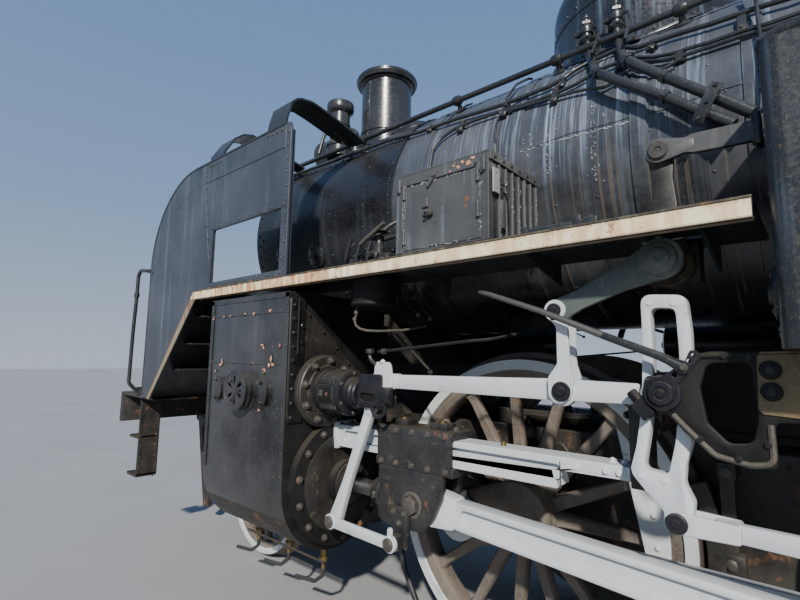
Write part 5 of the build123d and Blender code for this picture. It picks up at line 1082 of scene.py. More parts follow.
for tag, side in (("left", 1), ("right", -1)):
    node = "crosshead_" + tag
    p = Piece(node + "_shape", BODY_OF[node], SLOT_OF.get(node))
    gx = GX[side]
    # slipper round the bar: top and bottom shoes and two side keeps held by bolts
    yy = lambda a, b: (side * a, side * b)
    p.box(gx - 0.235, gx + 0.235, *yy(0.884, 1.056), 1.169, 1.203, "crosshead", 0.006, 2)
    p.box(gx - 0.235, gx + 0.235, *yy(0.884, 1.056), 1.006, 1.046, "crosshead", 0.006, 2)
    for a, b in ((0.882, 0.905), (1.035, 1.058)):
        p.box(gx - 0.225, gx + 0.225, *yy(a, b), 1.010, 1.198, "crosshead", 0.005, 2)
    for dx in (-0.195, -0.098, 0.0, 0.098, 0.195):
        p.bolt((gx + dx, side * 1.057, 1.182), (0, side, 0), 0.013, "bolt", thread=False)
        p.bolt((gx + dx, side * 1.057, 1.028), (0, side, 0), 0.013, "bolt", thread=False)
        if abs(dx) > 0.15:
            p.bolt((gx + dx, side * 0.97, 1.202), (0, 0, 1), 0.015, "bolt")
    # oil boxes on the top shoe
    for dx in (-0.12, 0.12):
        p.box(gx + dx - 0.05, gx + dx + 0.05, *yy(0.93, 1.01), 1.200, 1.232, "crosshead", 0.004, 2)
        p.disc((gx + dx, side * 0.97, 1.231), (0, 0, 1), 0.020, 0.009, "brass", 14)
    # cheeks
    for a, b in ((0.886, 0.919), (1.021, 1.054)):
        p.prism(round_poly([(gx - 0.185, 1.010), (gx + 0.205, 1.010), (gx + 0.205, 0.745), (gx + 0.10, 0.725), (gx - 0.05, 0.738), (gx - 0.115, 0.80), (gx - 0.165, 0.90)],
                           [0.02, 0.02, 0.03, 0.06, 0.08, 0.06, 0.05], 5), "y", *yy(a, b), "crosshead", 0.006, 2)
    p.box(gx + 0.125, gx + 0.222, *yy(0.888, 1.052), 0.752, 1.012, "crosshead", 0.010, 2)
    # gudgeon pin with its washer, nut and split pin
    p.lathe((gx, 0, CYL_Z), (0, side, 0), [(0.0, 0.868), (0.040, 0.868), (0.052, 0.874), (0.052, 0.886)], "bolt", 24)
    p.lathe((gx, 0, CYL_Z), (0, side, 0), [(0.062, 1.052), (0.062, 1.057), (0.058, 1.060), (0.045, 1.060)], "bolt", 28)
    p.lathe((gx, 0, CYL_Z), (0, side, 0), [(0.044, 1.058), (0.044, 1.078), (0.036, 1.083), (0.0, 1.083)], "bolt", 6, start=17)
    p.tube([(gx, side * 0.90, CYL_Z), (gx, side * 1.04, CYL_Z)], 0.045, "steel", 24)
    # boss and piston rod
    p.lathe((gx, side * CYL_Y, CYL_Z), (1, 0, 0), [(0.085, 0.215), (0.085, 0.235), (0.072, 0.250), (0.068, 0.290), (0.060, 0.300), (0.041, 0.302)], "crosshead", 28)
    p.box(gx + 0.242, gx + 0.262, *yy(0.885, 1.055), CYL_Z - 0.016, CYL_Z + 0.016, "bolt", 0.003)
    p.lathe((gx, side * CYL_Y, CYL_Z), (1, 0, 0), [(0.0, 0.30), (0.040, 0.30), (0.040, 1.30), (0.0, 1.30)], "steel", 32)
    # drop arm, with its bolts
    ax = gx + 0.050
    p.prism(round_poly([(ax - 0.058, 0.835), (ax + 0.058, 0.835), (ax + 0.040, 0.690), (ax + 0.036, 0.655), (ax - 0.036, 0.655), (ax - 0.040, 0.690)], [0.02, 0.02, 0.03, 0.034, 0.034, 0.03], 5),
            "y", *yy(1.052, 1.086), "crosshead", 0.006, 2)
    p.box(ax - 0.030, ax + 0.030, *yy(1.080, 1.136), UNION_Z - 0.028, UNION_Z + 0.036, "crosshead", 0.008, 2)
    for dx, z in ((-0.034, 0.812), (0.034, 0.812), (0.0, 0.765)):
        p.bolt((ax + dx, side * 1.085, z), (0, side, 0), 0.013, "bolt")
    # union link, flat and white, with an eye at each end
    ft = lever_foot(side)
    p.prism(taper((ax, UNION_Z), 0.026, ft, 0.026, 16), "y", *yy(1.136, 1.152), "white", 0.003, 2)
    for q in ((ax, UNION_Z), ft):
        p.lathe((q[0], 0, q[1]), (0, side, 0), [(0.0, 1.132), (0.034, 1.132), (0.038, 1.136), (0.038, 1.154), (0.034, 1.157), (0.020, 1.157)], "white", 24)
        p.lathe((q[0], 0, q[1]), (0, side, 0), [(0.030, 1.156), (0.030, 1.164), (0.025, 1.168), (0.014, 1.168), (0.012, 1.172), (0.0, 1.172)], "bolt", 20)
    p.lathe((ft[0], 0, ft[1]), (0, side, 0), [(0.0, 1.088), (0.016, 1.088), (0.016, 1.134)], "bolt", 16)
    # oil cup above the front eye
    p.box(ax - 0.014, ax + 0.014, *yy(1.138, 1.152), UNION_Z + 0.034, UNION_Z + 0.062, "white", 0.003)
    p.bolt((ax, side * 1.145, UNION_Z + 0.060), (0, 0, 1), 0.011, "bolt_white", thread=False)
    p.done(38, replaces=[node])

    # ---- combination lever: forked head, waisted shank and a boot-shaped foot
    node = "combination_lever_" + tag
    p = Piece(node + "_shape", BODY_OF[node], SLOT_OF.get(node))
    a, b = Vector(LEVER_TOP), Vector(ft)
    d = (b - a).normalized()
    nn = Vector((-d.y, d.x))

    def lv(s, w):
        q = a + d * s + nn * w
        return (q.x, q.y)
    body = [lv(-0.034, 0.022), lv(0.010, 0.038), lv(0.080, 0.032), lv(0.140, 0.027), (lv(0.55, 0.025)), lv(0.70, 0.034), lv(0.775, 0.040), lv(0.812, 0.020),
            lv(0.812, -0.020), lv(0.775, -0.040), lv(0.70, -0.034), lv(0.55, -0.025), lv(0.140, -0.027), lv(0.080, -0.032), lv(0.010, -0.038), lv(-0.034, -0.022)]
    p.prism(round_poly(body, 0.02, 4), "y", *yy(1.093, 1.127), "white", 0.004, 2)
    # second, slimmer joint pin a little below the head, and the pads round both
    q = lv(0.150, 0.0)
    p.lathe((q[0], 0, q[1]), (0, side, 0), [(0.036, 1.122), (0.036, 1.1275), (0.032, 1.1292), (0.0, 1.1292)], "white", 24)
    p.lathe((q[0], 0, q[1]), (0, side, 0), [(0.013, 1.128), (0.013, 1.1308), (0.010, 1.1316), (0.0, 1.1316)], "bolt_white", 6)
    q = lv(0.0, 0.0)
    p.lathe((ft[0], 0, ft[1]), (0, side, 0), [(0.030, 1.125), (0.030, 1.131), (0.0, 1.131)], "white", 20)
    p.lathe((ft[0], 0, ft[1]), (0, -side, 0), [(0.030, -1.094), (0.030, -1.088), (0.022, -1.086), (0.0, -1.086)], "bolt", 20)
    p.done(38, replaces=[node])


# ------------------------------------------------------------------ slide bars
p = Piece("slide_bars_shape", BODY_OF["slide_bars"], SLOT_OF.get("slide_bars"))
x_end, x_front = F(-628), CX0 - 0.046
for side in (1, -1):
    ya, yb = side * 0.908, side * 1.032
    p.prism(round_poly([(x_front, 1.167), (x_end, 1.167), (x_end, 1.118), (F(-345), 1.118), (F(-362), 1.048), (x_front, 1.048)], [0, 0.006, 0.006, 0.012, 0.008, 0], 3),
            "y", ya, side * 1.010, "white", 0.003)
    # outer face with its long sunk panel
    outer = [(x_front, 1.167), (x_end, 1.167), (x_end, 1.118), (F(-345), 1.118), (F(-362), 1.048), (x_front, 1.048)]
    panel = round_poly([(CX0 - 0.12, 1.137), (F(-374), 1.137), (F(-374), 1.082), (CX0 - 0.12, 1.082)], 0.018, 4)
    p.prism(outer, "y", side * 1.009, yb, "white", 0.003, 1, holes=[panel])
    p.prism(round_poly([(F(-612), 1.158), (F(-392), 1.158), (F(-392), 1.128), (F(-612), 1.128)], 0.008, 3), "y", side * 1.031, side * 1.0338, "white", 0.001)
    for x in (-592, -546):
        p.bolt((F(x), side * 1.0335, 1.143), (0, side, 0), 0.011, "bolt_white", thread=False)
    p.disc((F(-440), side * 1.0325, 1.143), (0, side, 0), 0.012, 0.0018, "bolt_white", 16, 0.0005)
    for x in (-594, -550):
        p.bolt((F(x), side * 0.970, 1.166), (0, 0, 1), 0.013, "bolt_white")
    p.box(F(-640), F(-626), side * 0.915, side * 1.025, 1.112, 1.160, "white", 0.004)
    # joint line and two grease fittings on top
    p.box(F(-377), F(-373), side * 1.030, side * 1.0335, 1.052, 1.150, "bolt", 0.0)
    for x in (-100, 150):
        p.disc((F(x), side * 0.97, 1.166), (0, 0, 1), 0.012, 0.020, "brass", 10)
    # fixing to the rear cylinder cover
    p.box(CX0 - 0.075, CX0 - 0.044, side * 0.895, side * 1.045, 1.035, 1.180, "white", 0.005)
    for z in (1.055, 1.160):
        p.bolt((CX0 - 0.075, side * 0.93, z), (-1, 0, 0), 0.013, "bolt")
        p.bolt((CX0 - 0.075, side * 1.01, z), (-1, 0, 0), 0.013, "bolt")
p.done(38, replaces=["slide_bars"])


# ------------------------------------------------------------------ expansion links
LINK = Vector((F(-775), 1.433))
TL = radians(4.6)


def LP(u, v):
    u, v = u / 1000.0, v / 1000.0
    return (LINK.x + u * cos(TL) - v * sin(TL), LINK.y + u * sin(TL) + v * cos(TL))


p = Piece("expansion_links_shape", BODY_OF["expansion_links"], SLOT_OF.get("expansion_links"))
FT = (F(-790), 1.046)
for side in (1, -1):
    out = [(LP(90, 318), 0.034), (LP(80, 200), 0), (LP(75, 100), 0), (LP(72, 0), 0), (LP(75, -100), 0), (LP(82, -180), 0), (LP(96, -255), 0.0)]
    out += [((F(-664), 1.165), 0.03), ((F(-700), 1.122), 0.03), ((F(-752), 1.068), 0.01)]
    out += [(q, 0) for q in arc_pts(FT[0], FT[1], 0.041, 15, -195, 12)]
    out += [((F(-836), 1.108), 0.03), ((F(-812), 1.160), 0.05), ((F(-818), 1.215), 0.03), ((F(-839), 1.285), 0)]
    out += [(LP(-69, -100), 0), (LP(-72, 0), 0), (LP(-69, 100), 0), (LP(-62, 200), 0), (LP(-44, 318), 0.034)]
    outline = round_poly([q for q, r in out], [r for q, r in out], 5)
    slot = [(LP(58, 274), 0.024), (LP(46, 150), 0), (LP(40, 60), 0), (LP(38, 0), 0), (LP(40, -60), 0), (LP(46, -150), 0), (LP(57, -250), 0.02),
            (LP(-15, -250), 0.02), (LP(-30, -150), 0), (LP(-36, -60), 0), (LP(-38, 0), 0), (LP(-36, 60), 0), (LP(-30, 150), 0), (LP(-16, 274), 0.024)]
    hole = round_poly([q for q, r in slot], [r for q, r in slot], 5)
    pin = ring_hole(FT[0], FT[1], 0.018, 14)
    p.prism(outline, "y", side * 1.085, side * 1.135, "white", 0.0035, 2, holes=[hole, pin])
    # die block in the slot with its oil groove
    p.prism(round_poly([LP(35, 66), LP(35, -66), LP(-35, -66), LP(-35, 66)], 0.006, 2), "y", side * 1.087, side * 1.133, "oily", 0.003)
    p.disc((LINK.x, side * 1.133, LINK.y + 0.002), (0, side, 0), 0.024, 0.004, "bolt", 20, 0.001)
    # trunnion plates, bolted through the link
    for a, b in ((1.135, 1.1465), (1.0735, 1.085)):
        p.prism(round_poly([LP(62, 52), LP(62, -52), LP(-62, -52), LP(-62, 52)], 0.018, 4), "y", side * a, side * b, "oily", 0.002)
    for u in (52, -52):
        for v in (36, -36):
            q = LP(u, v)
            p.bolt((q[0], side * 1.1460, q[1]), (0, side, 0), 0.0085, "bolt", False, 0.003, False)
    # pins closing the two ends of the slot, and the oil holes
    for u, v in ((60, 292), (-10, 292), (62, -270), (-5, -270)):
        q = LP(u, v)
        p.disc((q[0], side * 1.134, q[1]), (0, side, 0), 0.011, 0.004, "bolt_white", 14, 0.001)
p.done(38, replaces=["expansion_links"])


# ------------------------------------------------------------------ radius rods
p = Piece("radius_rods_shape", BODY_OF["radius_rods"], SLOT_OF.get("radius_rods"))
for side in (1, -1):
    body = [(F(452), 1.455), (F(418), 1.454), (F(-82), 1.461), (F(-380), 1.466), (F(-700), 1.460), (F(-683), 1.424), (F(-677), 1.391), (F(-379), 1.386), (F(-81), 1.388), (F(452), 1.390)]
    p.prism(round_poly(body, [0.01, 0, 0, 0, 0.012, 0, 0.012, 0, 0, 0.01], 3), "y", side * 1.093, side * 1.127, "white", 0.004, 2)
    # swell round the lifting pin
    p.lathe((F(-428), 0, 1.421), (0, side, 0), [(0.020, 1.090), (0.052, 1.090), (0.054, 1.094), (0.054, 1.127), (0.050, 1.131), (0.020, 1.131)], "white", 32)
    # fork over the combination lever
    p.box(F(393), F(450), side * 1.074, side * 1.1465, 1.386, 1.4585, "white", 0.004, 2)
    for a, b in ((1.072, 1.087), (1.133, 1.148)):
        ears = [(F(398), 1.390), (F(500), 1.388), (F(540), 1.398), (F(541), 1.440), (F(512), 1.458), (F(509), 1.500), (F(498), 1.514), (F(418), 1.514), (F(407), 1.500), (F(398), 1.456)]
        ears2 = [(F(398), 1.388), (F(540), 1.388), (F(541), 1.452), (F(398), 1.456)]
        p.prism(round_poly(ears if a > 1.1 else ears2, 0.016, 4), "y", side * a, side * b, "white", 0.002)
    p.bolt((F(459), side * 1.142, 1.512), (0, 0, 1), 0.012, "bolt_white")
    p.lathe((LEVER_TOP[0], 0, LEVER_TOP[1]), (0, side, 0), [(0.0, 1.060), (0.018, 1.060), (0.018, 1.1485), (0.0, 1.1485)], "bolt_white", 24)
    # small forked pin at the rear end beside the link
    p.box(F(-690), F(-668), side * 1.096, side * 1.124, 1.396, 1.452, "white", 0.004)
p.done(38, replaces=["radius_rods"])


# ------------------------------------------------------------------ lifting arms and links
p = Piece("lifting_arms_shape", BODY_OF["lifting_arms"], SLOT_OF.get("lifting_arms"))
AX, AZ = F(-776), 1.873
for side in (1, -1):
    top, low = (F(-418), 1.718), (F(-428), 1.421)
    d = (Vector(top) - Vector((AX, AZ))).normalized()
    nn = Vector((-d.y, d.x))

    def at(s, w):
        q = Vector((AX, AZ)) + d * s + nn * w
        return (q.x, q.y)
    # arm: waisted between its boss and its eye
    # the arms take the dark grey-green paint: painted shade of the board's shadow on white rods
    p.prism(round_poly([at(0.02, 0.066), at(0.14, 0.044), at(0.30, 0.036), at(0.385, 0.044), at(0.385, -0.044), at(0.30, -0.036), at(0.14, -0.044), at(0.02, -0.066)], [0.0, 0.05, 0.05, 0, 0, 0.05, 0.05, 0], 4),
            "y", side * 1.108, side * 1.132, "arm_painted_shade", 0.004, 2)
    p.lathe((AX, 0, AZ), (0, side, 0), [(0.052, 1.100), (0.068, 1.102), (0.070, 1.106), (0.070, 1.134), (0.066, 1.138), (0.054, 1.138), (0.052, 1.142), (0.052, 1.149), (0.048, 1.152), (0.0, 1.152)], "arm_painted_shade", 36)
    p.lathe((AX, 0, AZ), (0, side, 0), [(0.034, 1.1515), (0.034, 1.157), (0.030, 1.160), (0.012, 1.160), (0.010, 1.156), (0.0, 1.156)], "arm_painted_shade", 24)
    p.box(AX - 0.012, AX + 0.012, side * 1.104, side * 1.140, AZ + 0.045, AZ + 0.076, "arm_painted_shade", 0.003)
    p.lathe((top[0], 0, top[1]), (0, side, 0), [(0.022, 1.104), (0.044, 1.104), (0.046, 1.108), (0.046, 1.132), (0.043, 1.136), (0.022, 1.136)], "arm_painted_shade", 28)
    p.tube([(AX, side * 0.960, AZ), (AX, side * 1.101, AZ)], 0.052, "oily", 32)
    # hanging links: bar with a rounded eye above and a flared foot below
    for a, b, far in ((1.137, 1.152, True), (1.068, 1.083, False)):
        p.prism(taper(top, 0.040, top, 0.040, 26), "y", side * a, side * b, "white", 0.002)
        p.prism(round_poly([(top[0] - 0.026, top[1] - 0.02), (F(-468), 1.655), (F(-469), 1.520), (F(-484), 1.470), (F(-470), 1.400), (F(-440), 1.378), (F(-410), 1.380), (F(-388), 1.402), (F(-386), 1.470), (F(-424), 1.520), (F(-424), 1.655), (top[0] + 0.026, top[1] - 0.02)],
                           [0, 0.03, 0.03, 0.04, 0.03, 0.02, 0.02, 0.03, 0.04, 0.03, 0.03, 0], 4), "y", side * a, side * b, "white", 0.002)
    p.lathe((top[0], 0, top[1]), (0, side, 0), [(0.0, 1.060), (0.022, 1.060), (0.022, 1.150), (0.027, 1.152), (0.027, 1.158), (0.024, 1.162), (0.013, 1.163), (0.011, 1.167), (0.0, 1.167)], "oily", 24)
    p.lathe((low[0], 0, low[1]), (0, side, 0), [(0.0, 1.060), (0.022, 1.060), (0.022, 1.089)], "bolt", 18)
    p.lathe((F(-438), 0, 1.422), (0, side, 0), [(0.0, 1.132), (0.034, 1.150), (0.036, 1.156), (0.033, 1.161), (0.019, 1.162), (0.016, 1.168), (0.0, 1.168)], "oily", 26)
p.done(38, replaces=["lifting_arms"])


# ------------------------------------------------------------------ eccentric rods and return cranks
RET = (D2 + 0.020, 1.022)
p = Piece("eccentric_rods_shape", BODY_OF["eccentric_rods"], SLOT_OF.get("eccentric_rods"))
for side in (1, -1):
    a, b = Vector((FT[0] - 0.10, FT[1] - 0.002)), Vector(RET)
    d = (b - a).normalized()
    nn = Vector((-d.y, d.x))

    def at(s, w):
        q = a + d * s + nn * w
        return (q.x, q.y)
    L = (b - a).length
    p.prism([at(0, 0.026), at(L * 0.5, 0.030), at(L, 0.034), at(L, -0.034), at(L * 0.5, -0.030), at(0, -0.026)], "y", side * 1.094, side * 1.126, "white", 0.004, 2)
    p.lathe((RET[0], 0, RET[1]), (0, side, 0), [(0.030, 1.085), (0.056, 1.085), (0.060, 1.089), (0.060, 1.131), (0.056, 1.135), (0.044, 1.136), (0.044, 1.141), (0.040, 1.144), (0.0, 1.144)], "white", 32)
    for k in range(4):
        w = radians(45 + 90 * k)
        p.bolt((RET[0] + 0.050 * cos(w), side * 1.1345, RET[1] + 0.050 * sin(w)), (0, side, 0), 0.006, "bolt_white", thread=False)
    p.box(RET[0] - 0.016, RET[0] + 0.016, side * 1.098, side * 1.122, RET[1] + 0.052, RET[1] + 0.082, "white", 0.003)
    p.disc((RET[0], side * 1.110, RET[1] + 0.080), (0, 0, 1), 0.011, 0.012, "brass", 12)
    # fork over the link's tail
    for y0, y1 in ((1.068, 1.084), (1.136, 1.152)):
        p.prism(round_poly([(FT[0] - 0.160, FT[1] - 0.028), (FT[0] - 0.02, FT[1] - 0.033), (FT[0] + 0.036, FT[1] - 0.022), (FT[0] + 0.036, FT[1] + 0.022), (FT[0] - 0.02, FT[1] + 0.031), (FT[0] - 0.160, FT[1] + 0.024)], [0.01, 0.02, 0.026, 0.026, 0.02, 0.01], 4),
                "y", side * y0, side * y1, "white", 0.003)
    p.box(FT[0] - 0.160, FT[0] - 0.094, side * 1.070, side * 1.150, FT[1] - 0.028, FT[1] + 0.024, "white", 0.004)
    p.lathe((FT[0], 0, FT[1]), (0, side, 0), [(0.0, 1.062), (0.018, 1.062), (0.018, 1.150), (0.030, 1.151), (0.031, 1.154), (0.031, 1.162), (0.026, 1.167), (0.013, 1.168), (0.012, 1.172), (0.0, 1.173)], "oily", 28)
    # return crank: split clamp on the main pin, with its two bolts
    cp = crank_point(D2, 1)
    p.prism(taper(cp, 0.070, RET, 0.055, 30), "y", side * 1.041, side * 1.077, "white", 0.005, 2)
    p.lathe((RET[0], 0, RET[1]), (0, side, 0), [(0.0, 1.070), (0.030, 1.070), (0.030, 1.088)], "bolt", 24)
    u = (Vector(RET) - Vector(cp)).normalized()
    w = Vector((-u.y, u.x))
    for s in (-0.045, 0.045):
        q = Vector(cp) + w * s * 0.0 - u * 0.0 + u * s
        p.bolt((q.x + w.x * 0.074, side * 1.059, q.y + w.y * 0.074), (w.x, 0, w.y), 0.012, "bolt_white")
    p.disc((cp[0], side * 1.0765, cp[1]), (0, side, 0), 0.040, 0.006, "bolt_white", 24)
    p.box(cp[0] - 0.003, cp[0] + 0.003, side * 1.0765, side * 1.0785, cp[1] - 0.070, cp[1] - 0.038, "bolt", 0)
p.done(38, replaces=["eccentric_rods"])


# ------------------------------------------------------------------ link brackets
p = Piece("link_brackets_shape", BODY_OF["link_brackets"], SLOT_OF.get("link_brackets"))
for side in (1, -1):
    outer = mmx([(-760, 1405), (-735, 1440), (-760, 1478), (-842, 1522), (-855, 1553), (-905, 1566), (-1004, 1566), (-1120, 1570), (-1120, 1375), (-1049, 1372), (-1049, 1246), (-985, 1240), (-903, 1256), (-830, 1322), (-789, 1368)])
    inner = mmx([(-896, 1529), (-1004, 1538), (-1012, 1378), (-996, 1309), (-940, 1302), (-891, 1354), (-876, 1458)])
    p.prism(round_poly(outer, [0.03, 0.03, 0.02, 0.03, 0.02, 0.03, 0, 0.004, 0.004, 0.02, 0.02, 0.03, 0.03, 0.03, 0.02], 4), "y", side * 1.156, side * 1.178, "soot_and_shade", 0.006, 2,
            holes=[round_poly(inner, 0.028, 4)])
    # ribs round the casting's edge
    p.tube([(q[0], side * 1.176, q[1]) for q in round_poly(mmx([(-866, 1551), (-1004, 1556), (-1112, 1561)]), [0, 0, 0], 1)], 0.009, "soot_and_shade", 8)
    p.tube([(q[0], side * 1.176, q[1]) for q in mmx([(-1038, 1366), (-1040, 1258), (-985, 1250), (-905, 1266), (-842, 1328), (-800, 1374)])], 0.009, "cast", 8, 0.03)
    # pad on the upright post, two round bolt plates
    p.prism(round_poly(mmx([(-1018, 1560), (-1030, 1566), (-1162, 1572), (-1162, 1384), (-1024, 1392), (-1014, 1404)]), 0.006, 3), "y", side * 1.150, side * 1.1845, "tan", 0.005, 2)
    p.box(F(-1150), F(-1100), side * 0.442, side * 1.156, 1.400, 1.568, "under", 0.006, 2)
    for z in (1.456, 1.515):
        p.lathe((F(-1047), side * 1.1835, z), (0, side, 0), [(0.025, 0), (0.026, 0.005), (0.022, 0.009), (0.014, 0.010), (0.013, 0.007), (0.0, 0.007)], "soot_and_shade", 22)
        p.bolt((F(-1047), side * 1.190, z), (0, side, 0), 0.011, "oily", thread=False)
        p.bolt((F(-1130), side * 1.1840, z + 0.006), (0, side, 0), 0.013, "under", thread=False)
    # trunnion bearing: rings, pin end
    p.lathe((F(-773), 0, 1.436), (0, side, 0), [(0.054, 1.150), (0.056, 1.156), (0.056, 1.182), (0.052, 1.188), (0.045, 1.189), (0.043, 1.186), (0.038, 1.186), (0.037, 1.197), (0.034, 1.201), (0.022, 1.202), (0.020, 1.198), (0.013, 1.198), (0.012, 1.204), (0.010, 1.206), (0.0, 1.206)], "oily", 36)
    # lever plate that runs up and back from it, with three holes
    plate = mmx([(-735, 1436), (-748, 1472), (-785, 1494), (-841, 1534), (-858, 1572), (-878, 1566), (-886, 1548), (-862, 1520), (-818, 1462), (-810, 1430), (-778, 1400)])
    holes = [ring_hole(F(-864), 1.555, 0.006, 10), ring_hole(F(-851), 1.538, 0.006, 10), ring_hole(F(-812), 1.494, 0.008, 12)]
    p.prism(round_poly(plate, 0.02, 4), "y", side * 1.180, side * 1.192, "oily", 0.0015, 1, holes=holes)
    # clamp block ahead of the bearing with its bolt
    p.prism(round_poly(mmx([(-678, 1392), (-716, 1424), (-750, 1372), (-718, 1344)]), 0.006, 3), "y", side * 1.140, side * 1.180, "oily", 0.003)
    p.lathe((F(-676), side * 1.160, 1.437), (-0.62, 0, -0.78), [(0.0, 0), (0.014, 0), (0.017, 0.004), (0.017, 0.052), (0.0, 0.052)], "soot_and_shade", 16)
    # diagonal rod from the lever up to a bracket below the board
    a = mmx([(-839, 1518), (-777, 1550), (-603, 1620), (-386, 1713), (-123, 1809)])
    p.tube([(q[0], side * 1.190, q[1]) for q in a], [0.0145, 0.0135, 0.0125, 0.0115, 0.0110], "rodsteel", 14)
    p.tube([(q[0], side * 1.190, q[1]) for q in a[:3]], [0.0149, 0.0139, 0.0127], "pipe", 14)
    p.prism(taper(a[0], 0.020, a[1], 0.009, 16), "y", side * 1.193, side * 1.201, "oily", 0.001)
    p.bolt((a[0][0], side * 1.200, a[0][1]), (0, side, 0), 0.010, "bolt", thread=False)
    # bolts of the bracket to its beam
    for x, z in ((-1000, 1.552), (-940, 1.554), (-1030, 1.310), (-960, 1.262), (-868, 1.306)):
        p.bolt((F(x), side * 1.178, z), (0, side, 0), 0.009, "oily", thread=False)
p.done(38, replaces=["link_brackets"])


# ------------------------------------------------------------------ reversing arm, rod and weigh shaft bearing
p = Piece("reverse_lever_shape", BODY_OF["reverse_lever"], SLOT_OF.get("reverse_lever"))
TP, RP = (F(-765), 2.286), (F(-1049), 2.276)
d = (Vector(TP) - Vector((AX, AZ))).normalized()
nn = Vector((-d.y, d.x))
L = (Vector(TP) - Vector((AX, AZ))).length


def at(s, w):
    q = Vector((AX, AZ)) + d * s + nn * w
    return (q.x, q.y)


p.prism(round_poly([at(0.03, 0.066), at(0.12, 0.046), at(L - 0.10, 0.034), at(L - 0.02, 0.042), at(L - 0.02, -0.042), at(L - 0.10, -0.034), at(0.12, -0.046), at(0.03, -0.066)], [0, 0.04, 0.04, 0, 0, 0.04, 0.04, 0], 4), "y", 0.978, 1.000, "cover", 0.005, 2)
p.lathe((AX, 0, AZ), (0, 1, 0), [(0.0525, 0.956), (0.072, 0.956), (0.076, 0.960), (0.076, 1.004), (0.072, 1.008), (0.0525, 1.008)], "lichen", 36)
p.lathe((TP[0], 0, TP[1]), (0, 1, 0), [(0.022, 0.974), (0.046, 0.974), (0.050, 0.978), (0.050, 1.000), (0.046, 1.003), (0.022, 1.003)], "lichen", 28)
p.prism(taper(TP, 0.045, (F(-850), 2.2832), 0.026, 24), "y", 1.005, 1.025, "pad", 0.003, 2)
p.prism([(F(-822), 2.306), (F(-872), 2.318), (F(-1049), 2.312), (F(-1049), 2.240), (F(-872), 2.248), (F(-822), 2.262)], "y", 1.006, 1.024, "pad", 0.003)
p.lathe((TP[0], 0, TP[1]), (0, 1, 0), [(0.0, 0.966), (0.026, 0.966), (0.030, 0.970), (0.030, 0.974), (0.022, 0.974), (0.022, 1.024), (0.032, 1.026), (0.034, 1.031), (0.030, 1.036), (0.012, 1.036), (0.010, 1.032), (0.0, 1.032)], "bolt", 24)
p.box(F(-1064), F(-1044), 0.985, 1.046, 2.222, 2.330, "tank", 0.006, 2)
for y in (0.998, 1.034):
    for z in (2.238, 2.314):
        p.bolt((F(-1064) + 0.0198, y, z), (1, 0, 0), 0.007, "bolt", thread=False)
p.done(38, replaces=["reverse_lever"])

# ------------------------------------------------------------------ motion beam: bearings of the weigh shaft hang from the board
rounded("motion_plate", 0.006, 2)
p = Piece("motion_beam_trim")
for side in (1, -1):
    for x in (F(-690), F(-622)):
        for y in (0.56, 0.66, 0.76, 0.92, 1.02):
            p.bolt((x + (-0.0 if x < F(-650) else 0.0), side * y, 1.345), (-1 if x < F(-650) else 1, 0, 0), 0.012, "bolt", thread=False)
    # bearing block of the weigh shaft
    p.box(AX - 0.085, AX + 0.085, side * 0.860, side * 0.940, AZ - 0.060, AZ + 0.086, "under", 0.008, 2)
    p.lathe((AX, side * 0.855, AZ), (0, side, 0), [(0.054, 0), (0.072, 0), (0.072, 0.09), (0.054, 0.09)], "under", 28)
    p.tube([(AX, side * 0.80, AZ), (AX, side * 0.962, AZ)], 0.050, "oily", 28)
    for dx in (-0.06, 0.06):
        p.bolt((AX + dx, side * 0.90, AZ + 0.0855), (0, 0, 1), 0.013, "bolt")
p.done(38)


# ------------------------------------------------------------------ smoke deflectors
DX0, DX1, DTOP, DRR = F(1067), F(2930), 2.905, 0.690


def defl_outline(inset=0.0, low=1.972):
    x1, top, r = DX1 - inset, DTOP - inset, DRR - inset
    pts = [(x1, PILOT_Z + 0.002 + inset), (FOOT_X + 0.014 + inset * 0.5, PILOT_Z + 0.002 + inset), (KNEE_X + 0.012 + inset * 0.3, DECK_Z + 0.002 + inset), (DX0 + inset, DECK_Z + 0.002 + inset),
           (DX0 + inset, top - 0.045), (DX0 + inset + 0.012, top - 0.012), (DX0 + inset + 0.045, top)]
    pts += arc_pts(DX1 - DRR, DTOP - DRR, r, 90, 0, 20)
    return pts


